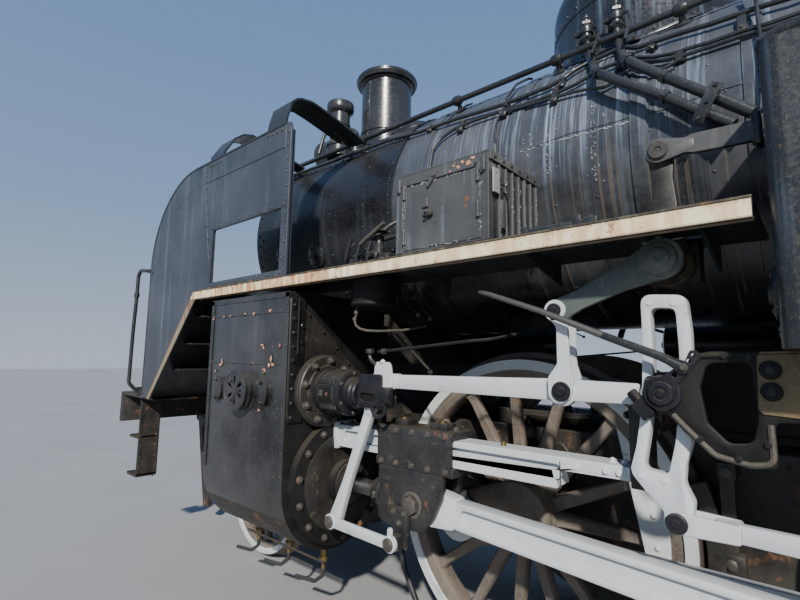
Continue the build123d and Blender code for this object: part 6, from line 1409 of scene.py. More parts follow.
WIN = round_poly([(F(1130), 2.021), (F(1922), 2.021), (F(1922), 2.385), (F(1130), 2.385)], 0.030, 4)
p = Piece("smoke_deflectors_shape", BODY_OF["smoke_deflectors"], SLOT_OF.get("smoke_deflectors"))
for side in (1, -1):
    p.prism(defl_outline(), "y", side * 1.291, side * 1.301, "plate", 0.0, 1, holes=[WIN])
    # half-round beading down the front and over the top
    arc = arc_pts(DX1 - DRR, DTOP - DRR, DRR - 0.004, 0, 90, 18)
    path = [(DX1 - 0.004, PILOT_Z + 0.01)] + arc + [(DX0 + 0.05, DTOP - 0.004)]
    p.tube([(x, side * 1.297, z) for x, z in path], 0.010, "engine", 10)
    # front panel lap and its rivets: a second sheet from the seam to the front
    lap = [(F(1928), 1.985)] + [(KNEE_X + 0.022, 1.985), (FOOT_X + 0.024, PILOT_Z + 0.03), (DX1 - 0.018, PILOT_Z + 0.03)]
    lap += arc_pts(DX1 - DRR, DTOP - DRR, DRR - 0.018, 0, 62, 14) + [(F(2079), 2.870), (F(2060), 2.640), (F(1990), 2.30)]
    p.prism(lap, "y", side * 1.3005, side * 1.3035, "plate", 0.001)
    # bent top of the sheet: a slightly proud band along the upper edge
    p.prism([(DX0 + 0.052, 2.750), (F(2235), 2.752), (F(2420), 2.690), (F(2480), 2.655), (F(2560), 2.700)] + [q for q in arc_pts(DX1 - DRR, DTOP - DRR, DRR - 0.018, 62, 90, 8)] + [(DX0 + 0.052, 2.887)],
            "y", side * 1.3030, side * 1.3048, "plate", 0.0008)
    # rear edge strip with rivets
    p.box(DX0, DX0 + 0.050, side * 1.300, side * 1.305, 1.976, 2.858, "plate", 0.001)
    for k in range(11):
        p.rivet((DX0 + 0.025, side * 1.3048, 2.02 + 0.082 * k), (0, side, 0), 0.009, "plate", 8)
    # window frame: four bars with mitred look and screws
    for x0, x1, z0, z1 in ((1092, 1960, 2385, 2423), (1092, 1960, 1984, 2021), (1092, 1130, 2021, 2385), (1922, 1960, 2021, 2385)):
        p.box(F(x0), F(x1), side * 1.300, side * 1.308, z0 / 1000, z1 / 1000, "plate", 0.002, 2)
        p.box(F(x0), F(x1), side * 1.291, side * 1.284, z0 / 1000, z1 / 1000, "plate", 0.002)
    for k in range(8):
        x = F(1112 + 118 * k)
        for z in (2.404, 2.002):
            p.rivet((x, side * 1.3078, z), (0, side, 0), 0.0085, "plate", 8)
    for z in (2.09, 2.20, 2.31):
        for x in (1111, 1941):
            p.rivet((F(x), side * 1.3078, z), (0, side, 0), 0.0085, "plate", 8)
    # rivets along the seam, top and lower edges
    for k in range(9):
        t = k / 8
        p.rivet((F(1946 + 128 * t), side * 1.3034, 2.05 + 0.76 * t), (0, side, 0), 0.008, "plate", 8)
    for x, z in ((2422, 2644), (2474, 2521), (2613, 2478), (2638, 2325), (2360, 2760), (2700, 2180), (2760, 1990), (2800, 1760), (2840, 1520), (2860, 1320), (2560, 2200), (2420, 2120), (2300, 2360)):
        p.rivet((F(x), side * 1.3034, z / 1000), (0, side, 0), 0.008, "plate", 8)
    for k in range(7):
        p.rivet((F(1150 + 130 * k), side * 1.3008, 2.872), (0, side, 0), 0.008, "plate", 8)
    # inner stiffening angle along top and front
    inner = defl_outline(0.045)[3:]
    p.tube([(x, side * 1.280, z) for x, z in inner[1:] + [(DX1 - 0.045, 1.30)]], 0.012, "plate", 8)
    for x in (1082, 2010, 2400):
        z1 = 2.86 if x < 2100 else 2.72
        p.box(F(x), F(x) + 0.035, side * 1.291, side * 1.262, 2.00 if x < 2100 else DECK_Z - (x - 2080) * 1.175 / 1000 + 0.06, z1, "plate", 0.002)
    # bottom angle on the board and on the slope, bolts through it
    p.box(DX0, KNEE_X, side * 1.301, side * 1.334, DECK_Z + 0.0005, DECK_Z + 0.008, "plate", 0.001)
    p.box(DX0, KNEE_X, side * 1.301, side * 1.307, DECK_Z + 0.001, DECK_Z + 0.034, "plate", 0.001)
    for k in range(8):
        p.bolt((DX0 + 0.06 + 0.128 * k, side * 1.320, DECK_Z + 0.0078), (0, 0, 1), 0.009, "rusty" if k in (2, 5) else "bolt")
    # stays from the top edge to the smokebox, flat bars with a bent head and a notched foot
    for xa, xb, w, path in ((1230, 1230, 0.190, [(1296, 2880), (1288, 2945), (1258, 3054), (1222, 3090), (1187, 3105), (1111, 3118), (1020, 3106), (839, 3072), (720, 3046), (645, 3025)]),
                            (1945, 1945, 0.190, [(1296, 2880), (1288, 2940), (1216, 3059), (1158, 3106), (1085, 3128), (980, 3112), (800, 3072), (690, 3044), (610, 3030)])):
        p.strip([(F(xa), side * y / 1000, z / 1000) for y, z in path[:-1]], (1, 0, 0), w, 0.012, "engine")
        p.strip([(F(xa) - 0.035, side * y / 1000, z / 1000) for y, z in path[-2:]], (1, 0, 0), 0.115, 0.012, "engine")
        p.box(F(xa) - 0.095, F(xa) + 0.095, side * 1.281, side * 1.292, 2.845, 2.900, "engine", 0.003)
        for dx in (-0.07, -0.02, 0.03, 0.07):
            p.bolt((F(xa) + dx, side * 1.3008, 2.868), (0, side, 0), 0.010, "bolt", thread=False)
        y0, z0 = path[-1]
        ang = atan2(z0 / 1000 - BZ, y0 / 1000)
        m = Matrix.Translation((F(xa), side * (SMOKE_R + 0.007) * cos(ang), BZ + (SMOKE_R + 0.007) * sin(ang))) @ Matrix.Rotation(-side * ang if side > 0 else ang + pi, 4, "X")
        for dx in (-0.055, 0.055):
            for da in (-0.055, 0.035):
                aa = ang + da
                p.bolt((F(xa) + dx, side * (SMOKE_R + 0.009) * cos(aa), BZ + (SMOKE_R + 0.009) * sin(aa)), (0, side * cos(aa), sin(aa)), 0.010, "bolt")
        foot = [(SMOKE_R + 0.001) , (SMOKE_R + 0.011)]
        rows = []
        for k in range(7):
            aa = ang - 0.085 + 0.15 * k / 6
            rows.append([(F(xa) + ex, side * rr * cos(aa), BZ + rr * sin(aa)) for ex, rr in ((-0.085, foot[0]), (-0.085, foot[1]), (0.085, foot[1]), (0.085, foot[0]))])
        verts = [q for row in rows for q in row]
        faces = [(4 * a + j, 4 * a + 4 + j, 4 * a + 4 + (j + 1) % 4, 4 * a + (j + 1) % 4) for a in range(6) for j in range(4)] + [(0, 1, 2, 3), (24, 25, 26, 27)]
        p.add(verts, faces, "engine")
        # gusset rib under the bar
        p.prism([(side * 0.700, 3.030), (side * 0.840, 3.064), (side * 0.690, 2.965)] if side > 0 else [(side * 0.700, 3.030), (side * 0.690, 2.965), (side * 0.840, 3.064)], "x", F(xa) - 0.005, F(xa) + 0.005, "engine", 0.001)
    # grab pipe ahead of the front edge
    g1 = [(F(2908), side * 1.301, 2.210), (F(2940), side * 1.322, 2.212), (F(3090), side * 1.322, 2.232), (F(3131), side * 1.322, 2.190), (F(3131), side * 1.322, 2.031), (F(3153), side * 1.322, 1.701), (F(3156), side * 1.322, 1.30), (F(3156), side * 1.240, 1.216)]
    p.tube(g1, 0.015, "pipe", 12, 0.05)
    p.disc((F(2906), side * 1.3025, 2.210), (0, side, 0), 0.034, 0.008, "plate", 18)
    p.disc((F(3156), side * 1.236, 1.2075), (0, 0, 1), 0.032, 0.010, "engine", 18)
    p.tube([(F(3131), side * 1.322, 2.045), (F(3131), side * 1.322, 2.010)], 0.021, "pipe", 12)
p.done(35, replaces=["smoke_deflectors"])


# ------------------------------------------------------------------ running boards
def board_face(f):
    c = f.calc_center_median()
    if abs(c.y) > 1.3395 and abs(f.normal.y) > 0.8:
        return 1
    return 0


rounded("running_boards", 0.002, 1, ["engine", "edge"], board_face)
p = Piece("running_board_trim", "engine", SLOT_OF.get("running_boards"))
for side in (1, -1):
    # rolled upper edge of the slope with the rust that lifts its paint
    nx, nz = 0.762, 0.648
    a, b = Vector((KNEE_X, DECK_Z)), Vector((FOOT_X, PILOT_Z))
    u = (b - a).normalized()
    n = Vector((nx, nz))
    p.tube([(a.x + 0.004, side * 1.334, a.y + 0.003), (b.x + 0.004, side * 1.334, b.y + 0.003)], 0.005, "rusty", 8)
    # lower flange of the edge angle turned in
    p.box(BOARD_REAR, KNEE_X - 0.03, side * 1.300, side * 1.338, DECK_Z - DECK_E, DECK_Z - DECK_E + 0.006, "edge", 0.001)
    # deck plates: lap joints and chequer studs in rows
    for xx in (-520, -250, 420, 940, 1500):
        p.box(F(xx) - 0.030, F(xx) + 0.030, side * 0.802, side * 1.336, DECK_Z - 0.0005, DECK_Z + 0.004, "engine", 0.001)
        for k in range(6):
            for dx in (-0.016, 0.016):
                p.rivet((F(xx) + dx, side * (0.85 + 0.09 * k), DECK_Z + 0.0036), (0, 0, 1), 0.007, "engine", 6)
    # step treads across the slope
    for k in range(3):
        s = 0.25 + 0.25 * k
        q = a + u * s
        p.box(-0.16, 0.16, -0.20, 0.20, 0.0, 0.012, "engine", 0.003, 1, Matrix.Translation((q.x + 0.02, side * 1.05, q.y + 0.02)) @ Matrix.Rotation(0.0, 4, "Y"))
        p.prism([(q.x + 0.0, q.y + 0.018), (q.x + 0.0, q.y - 0.03), (q.x + 0.16, q.y + 0.018)], "y", side * 0.90, side * 0.908, "engine")
        p.prism([(q.x + 0.0, q.y + 0.018), (q.x + 0.0, q.y - 0.03), (q.x + 0.16, q.y + 0.018)], "y", side * 1.192, side * 1.200, "engine")
    # joint plates between slope and pilot deck
    for y in (0.86, 0.98, 1.10, 1.22, 1.31):
        p.rivet((FOOT_X + 0.006, side * y, PILOT_Z + 0.010), (0.76, 0, 0.65), 0.009, "engine", 8)
p.done(35)


# ------------------------------------------------------------------ cylinders
def cyl_face(f):
    c = f.calc_center_median()
    if c.x < CX0 - 0.005 and c.z > 1.14 and hypot(abs(c.y) - VY, c.z - VZ) < 0.20:
        return 1
    if c.x < CX0 + 0.004 or c.x > CX1 + 0.005:
        return 2
    if c.z < 0.70 or abs(c.y) < 0.61:
        return 3
    return 0


rounded("cylinders", 0.005, 2, ["jacket", "pipe_old", "soot_and_shade", "under"], cyl_face, 40)
PEEL = ((1763, 1.767, 0.012, 0.008), (1638, 1.774, 0.020, 0.008), (1560, 1.777, 0.014, 0.004), (1396, 1.782, 0.020, 0.010), (1300, 1.778, 0.012, 0.012), (1139, 1.786, 0.020, 0.012),
        (1630, 1.497, 0.012, 0.020), (1645, 1.478, 0.016, 0.014), (1107, 1.520, 0.010, 0.024), (1090, 1.490, 0.020, 0.010), (1125, 1.486, 0.012, 0.012), (1170, 1.453, 0.020, 0.014), (1201, 1.597, 0.018, 0.008), (1183, 1.583, 0.010, 0.010),
        (1029, 1.592, 0.008, 0.014), (1700, 1.440, 0.012, 0.008), (1200, 1.239, 0.014, 0.010), (1276, 1.495, 0.006, 0.005))
p = Piece("cylinder_trim", "engine", SLOT_OF.get("cylinders"))
for side in (1, -1):
    Y = 1.340
    # cleading seams, edge strips and their screws
    p.box(CX0 + 0.004, CX1 - 0.004, side * Y, side * (Y + 0.0030), 1.772, 1.786, "jacket", 0.001)
    p.box(CX0 + 0.004, CX1 - 0.004, side * Y, side * (Y + 0.0030), 1.488, 1.502, "jacket", 0.001)
    for x0 in (CX0, CX1 - 0.034):
        p.box(x0, x0 + 0.034, side * Y, side * (Y + 0.0040), 0.86, 1.880, "jacket", 0.0015)
        for k in range(9):
            p.rivet((x0 + 0.017, side * (Y + 0.0038), 0.92 + 0.112 * k), (0, side, 0), 0.0075, "jacket", 8)
    p.box(CX0, CX1, side * Y, side * (Y + 0.0040), 1.852, 1.880, "jacket", 0.0015)
    for k in range(8):
        p.rivet((CX0 + 0.06 + 0.1 * k, side * (Y + 0.0038), 1.866), (0, side, 0), 0.0075, "jacket", 8)
    for x in (1769, 1647, 1403, 1149, 1280, 1530):
        p.rivet((F(x), side * (Y + 0.0028), 1.779), (0, side, 0), 0.0095, "jacket", 8)
    for x, z in ((1639, 1.495), (1106, 1.495), (1169, 1.454), (1300, 1.495), (1500, 1.495)):
        p.rivet((F(x), side * (Y + 0.0028), z), (0, side, 0), 0.0095, "jacket", 8)
    # round covers: one large and wheel-like with six slots, two small oval ones with two nuts each
    bc = (F(1360), 1.340)
    ring = [(bc[0] + 0.116 * cos(radians(9 * k)), bc[1] + 0.116 * sin(radians(9 * k))) for k in range(40)]
    p.lathe((bc[0], 0, bc[1]), (0, side, 0), [(0.124, Y), (0.124, Y + 0.008), (0.114, Y + 0.012), (0.114, Y + 0.026), (0.117, Y + 0.029), (0.117, Y + 0.040), (0.112, Y + 0.043), (0.112, Y + 0.060)], "jacket", 48)
    slots = []
    for k in range(6):
        a = radians(60 * k + 28)
        ca, sa = cos(a), sin(a)
        slots.append(round_poly([(bc[0] + r * ca - w * sa, bc[1] + r * sa + w * ca) for r, w in ((0.032, -0.006), (0.080, -0.012), (0.080, 0.012), (0.032, 0.006))], [0.004, 0.008, 0.008, 0.004], 3))
    p.prism(ring, "y", side * (Y + 0.058), side * (Y + 0.068), "jacket", 0.003, 2, holes=slots)
    # dark disc behind the slots: painted shade seen through the openings
    p.lathe((bc[0], 0, bc[1]), (0, side, 0), [(0.109, Y + 0.046), (0.0, Y + 0.046)], "soot_and_shade", 32)
    p.lathe((bc[0], 0, bc[1]), (0, side, 0), [(0.114, Y + 0.067), (0.112, Y + 0.071), (0.101, Y + 0.071), (0.099, Y + 0.067)], "jacket", 48)
    p.lathe((bc[0], 0, bc[1]), (0, side, 0), [(0.026, Y + 0.067), (0.025, Y + 0.071), (0.010, Y + 0.073), (0.0, Y + 0.073)], "jacket", 24)
    for k in range(3):
        a = radians(120 * k + 58)
        p.bolt((bc[0] + 0.060 * cos(a), side * (Y + 0.0675), bc[1] + 0.060 * sin(a)), (0, side, 0), 0.009, "soot_and_shade", False, 0.005, False)
    for x, z in ((1634, 1.338), (1150, 1.336)):
        out = [(F(x) + 0.049 * cos(radians(12 * k)), z + 0.074 * sin(radians(12 * k))) for k in range(30)]
        mid = [(F(x) + 0.043 * cos(radians(12 * k)), z + 0.068 * sin(radians(12 * k))) for k in range(30)]
        p.prism(mid, "y", side * (Y - 0.002), side * (Y + 0.018), "jacket", 0.0)
        p.prism(out, "y", side * (Y + 0.016), side * (Y + 0.030), "jacket", 0.004, 2)
        for dz in (-0.054, 0.054):
            p.bolt((F(x), side * (Y + 0.0295), z + dz), (0, side, 0), 0.0105, "oily")
    # paint peeled off in flakes along the seams
    state = random.getstate()
    random.seed(41)
    for x, z, w, h in PEEL:
        for grow, y1, m in ((1.35, 0.0042, "oily"), (1.0, 0.0052, "peel")):
            pts = []
            for k in range(13):
                a = 2 * pi * k / 13
                r = random.uniform(0.45, 1.0) * grow
                pts.append((F(x) + w * r * cos(a), z + h * r * sin(a)))
            p.prism(pts, "y", side * (Y - 0.002), side * (Y + y1), m, 0.0)
    random.setstate(state)
    # low rows of screws and the drain cocks with their pipes and levers
    for k in range(7):
        p.rivet((CX0 + 0.08 + 0.112 * k, side * (Y - 0.0005), 0.905), (0, side, 0), 0.0075, "jacket", 8)
    for x in (CX0 + 0.09, CX1 - 0.09, (CX0 + CX1) / 2):
        p.lathe((x, side * CYL_Y, CYL_Z - 0.372), (0, 0, -1), [(0.030, -0.004), (0.030, 0.012), (0.018, 0.014), (0.018, 0.06), (0.024, 0.062), (0.024, 0.09), (0.012, 0.092), (0.012, 0.13), (0.0, 0.13)], "brass", 16)
        p.tube([(x, side * CYL_Y, CYL_Z - 0.49), (x, side * CYL_Y, CYL_Z - 0.54), (x + 0.05, side * (CYL_Y + 0.02), CYL_Z - 0.58), (x + 0.22, side * (CYL_Y + 0.02), CYL_Z - 0.60)], 0.011, "pipe_old", 10, 0.03)
    p.tube([(CX0 + 0.03, side * (CYL_Y + 0.045), CYL_Z - 0.445), (CX1 - 0.03, side * (CYL_Y + 0.045), CYL_Z - 0.445)], 0.007, "under", 8)
    # rear flange bar: two angle strips on edge with bolts through them
    p.box(F(950), F(962), side * 1.24, side * 1.334, 1.190, 1.846, "soot_and_shade", 0.002)
    p.box(F(940), F(964), side * 1.284, side * 1.294, 1.545, 1.842, "oily", 0.002)
    for k in range(9):
        z = 1.215 + 0.074 * k
        p.bolt((F(951), side * 1.314, z), (-1, 0, 0), 0.010, "oily", thread=False)
    p.bolt((F(952), side * 1.262, 1.700), (-1, 0, 0), 0.013, "oily", thread=False)
    p.bolt((F(952), side * 1.262, 1.610), (-1, 0, 0), 0.011, "oily", thread=False)
    # rear end sheet of the jacket with its slanted inner edge
    p.prism(round_poly([(side * 1.336, 1.848), (side * 1.285, 1.838), (side * 1.053, 1.661), (side * 0.932, 1.537), (side * 0.800, 1.420), (side * 0.800, 1.205), (side * 1.336, 1.205)], 0.004, 2), "x", CX0 - 0.007, CX0 + 0.002, "cover", 0.002)
    for t in (0.12, 0.34, 0.56, 0.78, 0.95):
        p.bolt((CX0 - 0.0068, side * (1.262 - 0.456 * t), 1.806 - 0.398 * t), (-1, 0, 0), 0.009, "soot_and_shade", thread=False)
    # rear cylinder cover: studs and nuts, gland with two studs
    for k in range(14):
        a = radians(360 * k / 14 + 10)
        p.bolt((CX0 - 0.045, side * (CYL_Y + 0.300 * cos(a)), CYL_Z + 0.300 * sin(a)), (-1, 0, 0), 0.016, "bolt")
    p.lathe((CX0 - 0.044, side * CYL_Y, CYL_Z), (-1, 0, 0), [(0.262, 0.0), (0.262, 0.006), (0.200, 0.016), (0.150, 0.020), (0.118, 0.022)], "cover", 48)
    p.lathe((CX0 - 0.110, side * CYL_Y, CYL_Z), (-1, 0, 0), [(0.110, -0.002), (0.110, 0.014), (0.085, 0.018), (0.062, 0.034), (0.060, 0.060), (0.042, 0.062)], "cover", 32)
    for a in (90, 270):
        p.bolt((CX0 - 0.118, side * (CYL_Y + 0.088 * cos(radians(a))), CYL_Z + 0.088 * sin(radians(a))), (-1, 0, 0), 0.015, "bolt")
    # front cover: ribs, studs, and the relief valve
    for k in range(14):
        a = radians(360 * k / 14 + 4)
        p.bolt((CX1 + 0.040, side * (CYL_Y + 0.270 * cos(a)), CYL_Z + 0.270 * sin(a)), (1, 0, 0), 0.015, "bolt")
    p.lathe((CX1 + 0.039, side * CYL_Y, CYL_Z), (1, 0, 0), [(0.238, 0.0), (0.236, 0.010), (0.18, 0.022), (0.09, 0.030), (0.085, 0.044), (0.0, 0.048)], "cast", 48)
    p.lathe((CX1 + 0.039, side * CYL_Y, CYL_Z - 0.225), (1, 0, 0), [(0.030, 0.0), (0.030, 0.03), (0.022, 0.035), (0.022, 0.09), (0.028, 0.092), (0.028, 0.11), (0.0, 0.112)], "brass", 18)
    p.lathe((CX1 + 0.058, side * VY, VZ), (1, 0, 0), [(0.168, 0.0), (0.165, 0.010), (0.12, 0.018), (0.06, 0.020), (0.055, 0.060), (0.0, 0.062)], "cast", 40)
    for k in range(10):
        a = radians(36 * k + 8)
        p.bolt((CX1 + 0.062, side * (VY + 0.142 * cos(a)), VZ + 0.142 * sin(a)), (1, 0, 0), 0.013, "bolt")
    # steam chest: rear ring of nutted studs
    xr = CX0 - 0.055
    p.lathe((xr, side * VY, VZ), (-1, 0, 0), [(0.190, -0.030), (0.196, -0.026), (0.196, -0.010), (0.189, -0.006), (0.189, 0.004), (0.184, 0.010), (0.140, 0.010), (0.136, 0.018), (0.118, 0.020), (0.112, 0.020)], "cover", 56)
    for k in range(9):
        a = radians(40 * k + 14)
        p.bolt((xr - 0.009, side * (VY + 0.162 * cos(a)), VZ + 0.162 * sin(a)), (-1, 0, 0), 0.017, "bolt", h=0.016)
    # spindle guide: cage with dark window patches (painted shade standing in for open windows), gland collar and the
    # long guide
    p.lathe((F(875), side * VY, VZ), (-1, 0, 0), [(0.116, -0.03), (0.118, 0.0), (0.118, 0.018), (0.108, 0.022)], "oily", 40)
    p.lathe((F(722), side * VY, VZ), (-1, 0, 0), [(0.108, -0.006), (0.118, 0.0), (0.118, 0.022), (0.110, 0.028), (0.084, 0.032), (0.080, 0.050)], "oily", 40)
    for z, a0 in ((VZ, 0),):
        for k in range(6):
            a = radians(60 * k + 30)
            p.bolt((F(700), side * (VY + 0.100 * cos(a)), VZ + 0.100 * sin(a)), (-1, 0, 0), 0.012, "bolt")
    for k in range(5):
        a = radians(72 * k + 30)
        p.box(F(728), F(856), side * VY - 0.012 + 0.110 * cos(a), side * VY + 0.012 + 0.110 * cos(a), VZ + 0.110 * sin(a) - 0.012, VZ + 0.110 * sin(a) + 0.012, "pipe_old", 0.004)
    # dark patches on the cage's outer face: painted shade standing in for its open windows, with the gland nut in the
    # outward one
    for a0, a1 in ((-26, 20), (62, 84), (-96, -72)):
        vs, n = [], 9
        for k in range(n):
            a = radians(a0 + (a1 - a0) * k / (n - 1))
            for xx in (F(748), F(846)):
                vs.append((xx, side * (VY + 0.1132 * cos(a)), VZ + 0.1132 * sin(a)))
        p.add(vs, [(2 * k, 2 * k + 1, 2 * k + 3, 2 * k + 2) if side > 0 else (2 * k, 2 * k + 2, 2 * k + 3, 2 * k + 1) for k in range(n - 1)], "soot_and_shade")
    p.lathe((F(838), side * (VY + 0.092), VZ - 0.006), (-1, 0, 0), [(0.0, 0.0), (0.027, 0.0), (0.029, 0.003), (0.029, 0.024), (0.020, 0.028), (0.020, 0.050), (0.026, 0.052), (0.026, 0.066), (0.0, 0.068)], "bolt", 6)
    # guide plates carry the round bar the valve spindle slides in
    p.lathe((F(692), side * VY, VZ), (-1, 0, 0), [(0.080, 0), (0.080, 0.04), (0.074, 0.046), (0.074, 0.064), (0.068, 0.070), (0.022, 0.072)], "oily", 36)
    p.tube([(F(622), side * VY, VZ), (F(608), side * VY, VZ)], 0.020, "steel", 20)
    slot = round_poly([(F(590), 1.362), (F(492), 1.358), (F(492), 1.320), (F(590), 1.322)], 0.017, 5)
    p.prism(round_poly([(F(600), 1.300), (F(600), 1.446), (F(590), 1.453), (F(458), 1.455), (F(449), 1.446), (F(449), 1.398), (F(424), 1.390), (F(424), 1.300)], 0.007, 3), "y", side * 1.150, side * 1.166, "oily", 0.003, 2, holes=[slot])
    # dark sheet across the back of the slot: painted shade in the opening
    p.prism(slot, "y", side * 1.1495, side * 1.152, "soot_and_shade", 0.0)
    half = [(side * (1.1375 + 0.036 * cos(radians(15 * k - 90))), 1.352 + 0.045 * sin(radians(15 * k - 90))) for k in range(13)]
    p.prism(half[::side], "x", F(392), F(450), "oily", 0.003, 2)
    p.tube([(F(424), side * 1.158, 1.306), (F(430), side * 1.158, 1.268), (F(452), side * 1.158, 1.253), (F(486), side * 1.158, 1.253), (F(505), side * 1.158, 1.270), (F(508), side * 1.158, 1.306)], 0.0095, "oily", 10, 0.02)
    for x, z in ((586, 1.308), (436, 1.308), (586, 1.430), (470, 1.436)):
        p.bolt((F(x), side * 1.1655, z), (0, side, 0), 0.007, "soot_and_shade", False, 0.004, False)
    # oil feed into the guide
    p.tube([(F(537), side * 1.150, 1.561), (F(545), side * 1.150, 1.542), (F(527), side * 1.150, 1.517), (F(500), side * 1.150, 1.502)], 0.010, "pipe_old", 10, 0.02)
    p.disc((F(540), side * 1.150, 1.556), (0, 0, 1), 0.022, 0.022, "pipe_old", 14)
    p.tube([(F(486), side * 1.150, 1.562), (F(120), side * 1.150, 1.594), (F(-48), side * 1.150, 1.609), (F(-130), side * 1.120, 1.616), (F(-180), side * 1.0, 1.64)], 0.0070, "soot_and_shade", 10, 0.05)
    p.disc((F(430), side * 1.150, 1.567), (1, 0, -0.09), 0.014, 0.030, "bolt", 12)
    # lagging seams across the top of the jacket under the board
    for x in (1120, 1380, 1640):
        p.box(F(x), F(x) + 0.020, side * 0.62, side * 1.335, 1.8835, 1.887, "jacket", 0.001)
# oil drum behind the jacket with its feed pipes
for side in (1, -1):
    oc = (F(560), side * 1.108)
    p.lathe((oc[0], oc[1], 0), (0, 0, 1), [(0.0, 1.786), (0.100, 1.786), (0.114, 1.790), (0.121, 1.798), (0.121, 1.806), (0.116, 1.812), (0.116, 1.852), (0.120, 1.856), (0.120, 1.868), (0.116, 1.872), (0.116, 1.914), (0.122, 1.918), (0.122, 1.930), (0.108, 1.936), (0.030, 1.940), (0.028, DECK_Z - 0.014)], "soot_and_shade", 48)
    for k in range(10):
        a = radians(36 * k + 10)
        p.bolt((oc[0] + 0.112 * cos(a), oc[1] + 0.112 * sin(a), 1.931), (0, 0, 1), 0.007, "oily", thread=False)
    p.box(F(500), F(620), side * 0.96, side * 1.00, 1.80, DECK_Z - 0.012, "smoke", 0.003)
    p.disc((F(617), side * 1.170, 1.788), (0, 0, -1), 0.016, 0.018, "oily", 12)
    p.tube([(F(617), side * 1.170, 1.775), (F(612), side * 1.185, 1.745), (F(617), side * 1.190, 1.722), (F(600), side * 1.195, 1.694), (F(565), side * 1.20, 1.676), (F(517), side * 1.20, 1.666), (F(450), side * 1.18, 1.662), (F(400), side * 1.06, 1.672), (F(370), side * 0.92, 1.700)],
           0.0066, "cast", 8, 0.02)
    p.disc((F(612), side * 1.184, 1.752), (0, 0, 1), 0.012, 0.018, "cast", 12)
    p.disc((F(617), side * 1.190, 1.722), (0, 0, 1), 0.010, 0.014, "cast", 6)
    # thin braces behind it, from the boiler side to the motion
    for q0, q1, r in (((688, 850, 1917), (350, 1000, 1750), 0.006), ((487, 850, 1851), (274, 1000, 1727), 0.005), ((637, 850, 1669), (272, 1000, 1470), 0.0065)):
        p.tube(mm3([q0, q1], side), r, "under", 8)
        p.disc(mm3([q1], side)[0], (0, side, 0), r * 2.2, 0.012, "under", 12)
p.done(35)


# ------------------------------------------------------------------ boiler dress
def on_barrel(x, deg, r):
    """Point on a cylinder round the boiler axis; 0 degrees is the left flank, 90 the crown."""
    a = radians(deg)
    return Vector((x, r * cos(a), BZ + r * sin(a)))


def barrel_line(p, x0, x1, deg, r, w, h, m, n=1):
    """Thin raised strip along the barrel."""
    a = radians(deg)
    da = w / r / 2
    verts = []
    for x in (x0, x1):
        for da_, rr in ((-da, r - 0.002), (-da * 0.8, r + h), (da * 0.8, r + h), (da, r - 0.002)):
            verts.append((x, rr * cos(a + da_), BZ + rr * sin(a + da_)))
    p.add(verts, [(0, 1, 5, 4), (1, 2, 6, 5), (2, 3, 7, 6), (0, 1, 2, 3), (4, 5, 6, 7)], m)


def barrel_band(p, x, w, r, h, m, a0=-70, a1=250, seg=72, wobble=0.0):
    prof = [(r - 0.002, -w / 2), (r + h, -w / 2 + h * 0.8), (r + h, w / 2 - h * 0.8), (r - 0.002, w / 2)]
    verts, faces = [], []
    for k in range(seg + 1):
        a = radians(a0 + (a1 - a0) * k / seg)
        dx = wobble * sin(a * 3.1 + x * 5)
        for rr, t in prof:
            verts.append((x + t + dx, rr * cos(a), BZ + rr * sin(a)))
    for k in range(seg):
        for j in range(3):
            faces.append((4 * k + j, 4 * k + j + 1, 4 * k + 5 + j, 4 * k + 4 + j))
    p.add(verts, faces, m)


p = Piece("boiler_dress", "engine", SLOT_OF.get("boiler"))
for x in (560, -60, -640, -1040, -1500, -2350, -2900, -3700):
    barrel_band(p, F(x), 0.070 if x > -1100 else 0.055, BARREL_R + (0.005 if x > -1100 else 0.0), 0.0035, "boiler", wobble=0.002)
    if x > -2400:
        for deg in (-38, 218):
            q = on_barrel(F(x), deg, BARREL_R + 0.012)
            n = Vector((0, cos(radians(deg)), sin(radians(deg))))
            for dx in (-0.018, 0.018):
                p.bolt((q.x + dx, q.y, q.z), tuple(n), 0.008, "bolt", thread=False)
# seams of the cleading plates: raised laps with a row of small screws, slightly uneven
for x in (300, -245, -438, -671, -880, -1230, -1750, -2100, -2640, -3300, -4050):
    barrel_band(p, F(x), 0.012, BARREL_R, 0.0022, "boiler", -60, 240, 90, 0.004)
    for k in range(18):
        deg = -50 + 280 * k / 17 + random.uniform(-0.6, 0.6)
        n = Vector((0, cos(radians(deg)), sin(radians(deg))))
        p.rivet(on_barrel(F(x) - 0.014, deg, BARREL_R - 0.0005), tuple(n), 0.0065, "rusty" if random.random() < 0.05 else "boiler", 6)
for side_deg in (6.5, 173.5):
    # wavy lap of the lower plates
    pts = []
    for k in range(60):
        x = 0.56 - 4.9 * k / 59
        deg = side_deg + (0.55 * sin(k * 0.7) + 0.3 * sin(k * 1.9)) * (1 if side_deg < 90 else -1)
        pts.append(on_barrel(D1 + x, deg, BARREL_R + 0.001))
    p.strip(pts, (0, cos(radians(side_deg + 90)), sin(radians(side_deg + 90))), 0.012, 0.0045, "boiler")
    for k in range(34):
        x = 0.50 - 0.145 * k
        deg = side_deg - 1.0 if side_deg < 90 else side_deg + 1.0
        n = Vector((0, cos(radians(deg)), sin(radians(deg))))
        p.rivet(on_barrel(D1 + x, deg, BARREL_R - 0.0005), tuple(n), 0.006, "rusty" if k % 9 == 4 else "boiler", 6)
# thick rusty seam where barrel and smokebox meet, studs round it
barrel_band(p, SMOKE_B + 0.010, 0.040, SMOKE_R, 0.004, "smoke", -90, 270, 110, 0.0015)
for k in range(40):
    deg = -72 + 324 * k / 39
    n = Vector((0, cos(radians(deg)), sin(radians(deg))))
    p.rivet(on_barrel(SMOKE_B + 0.018, deg, SMOKE_R + 0.003), tuple(n), 0.009, "smoke", 8)
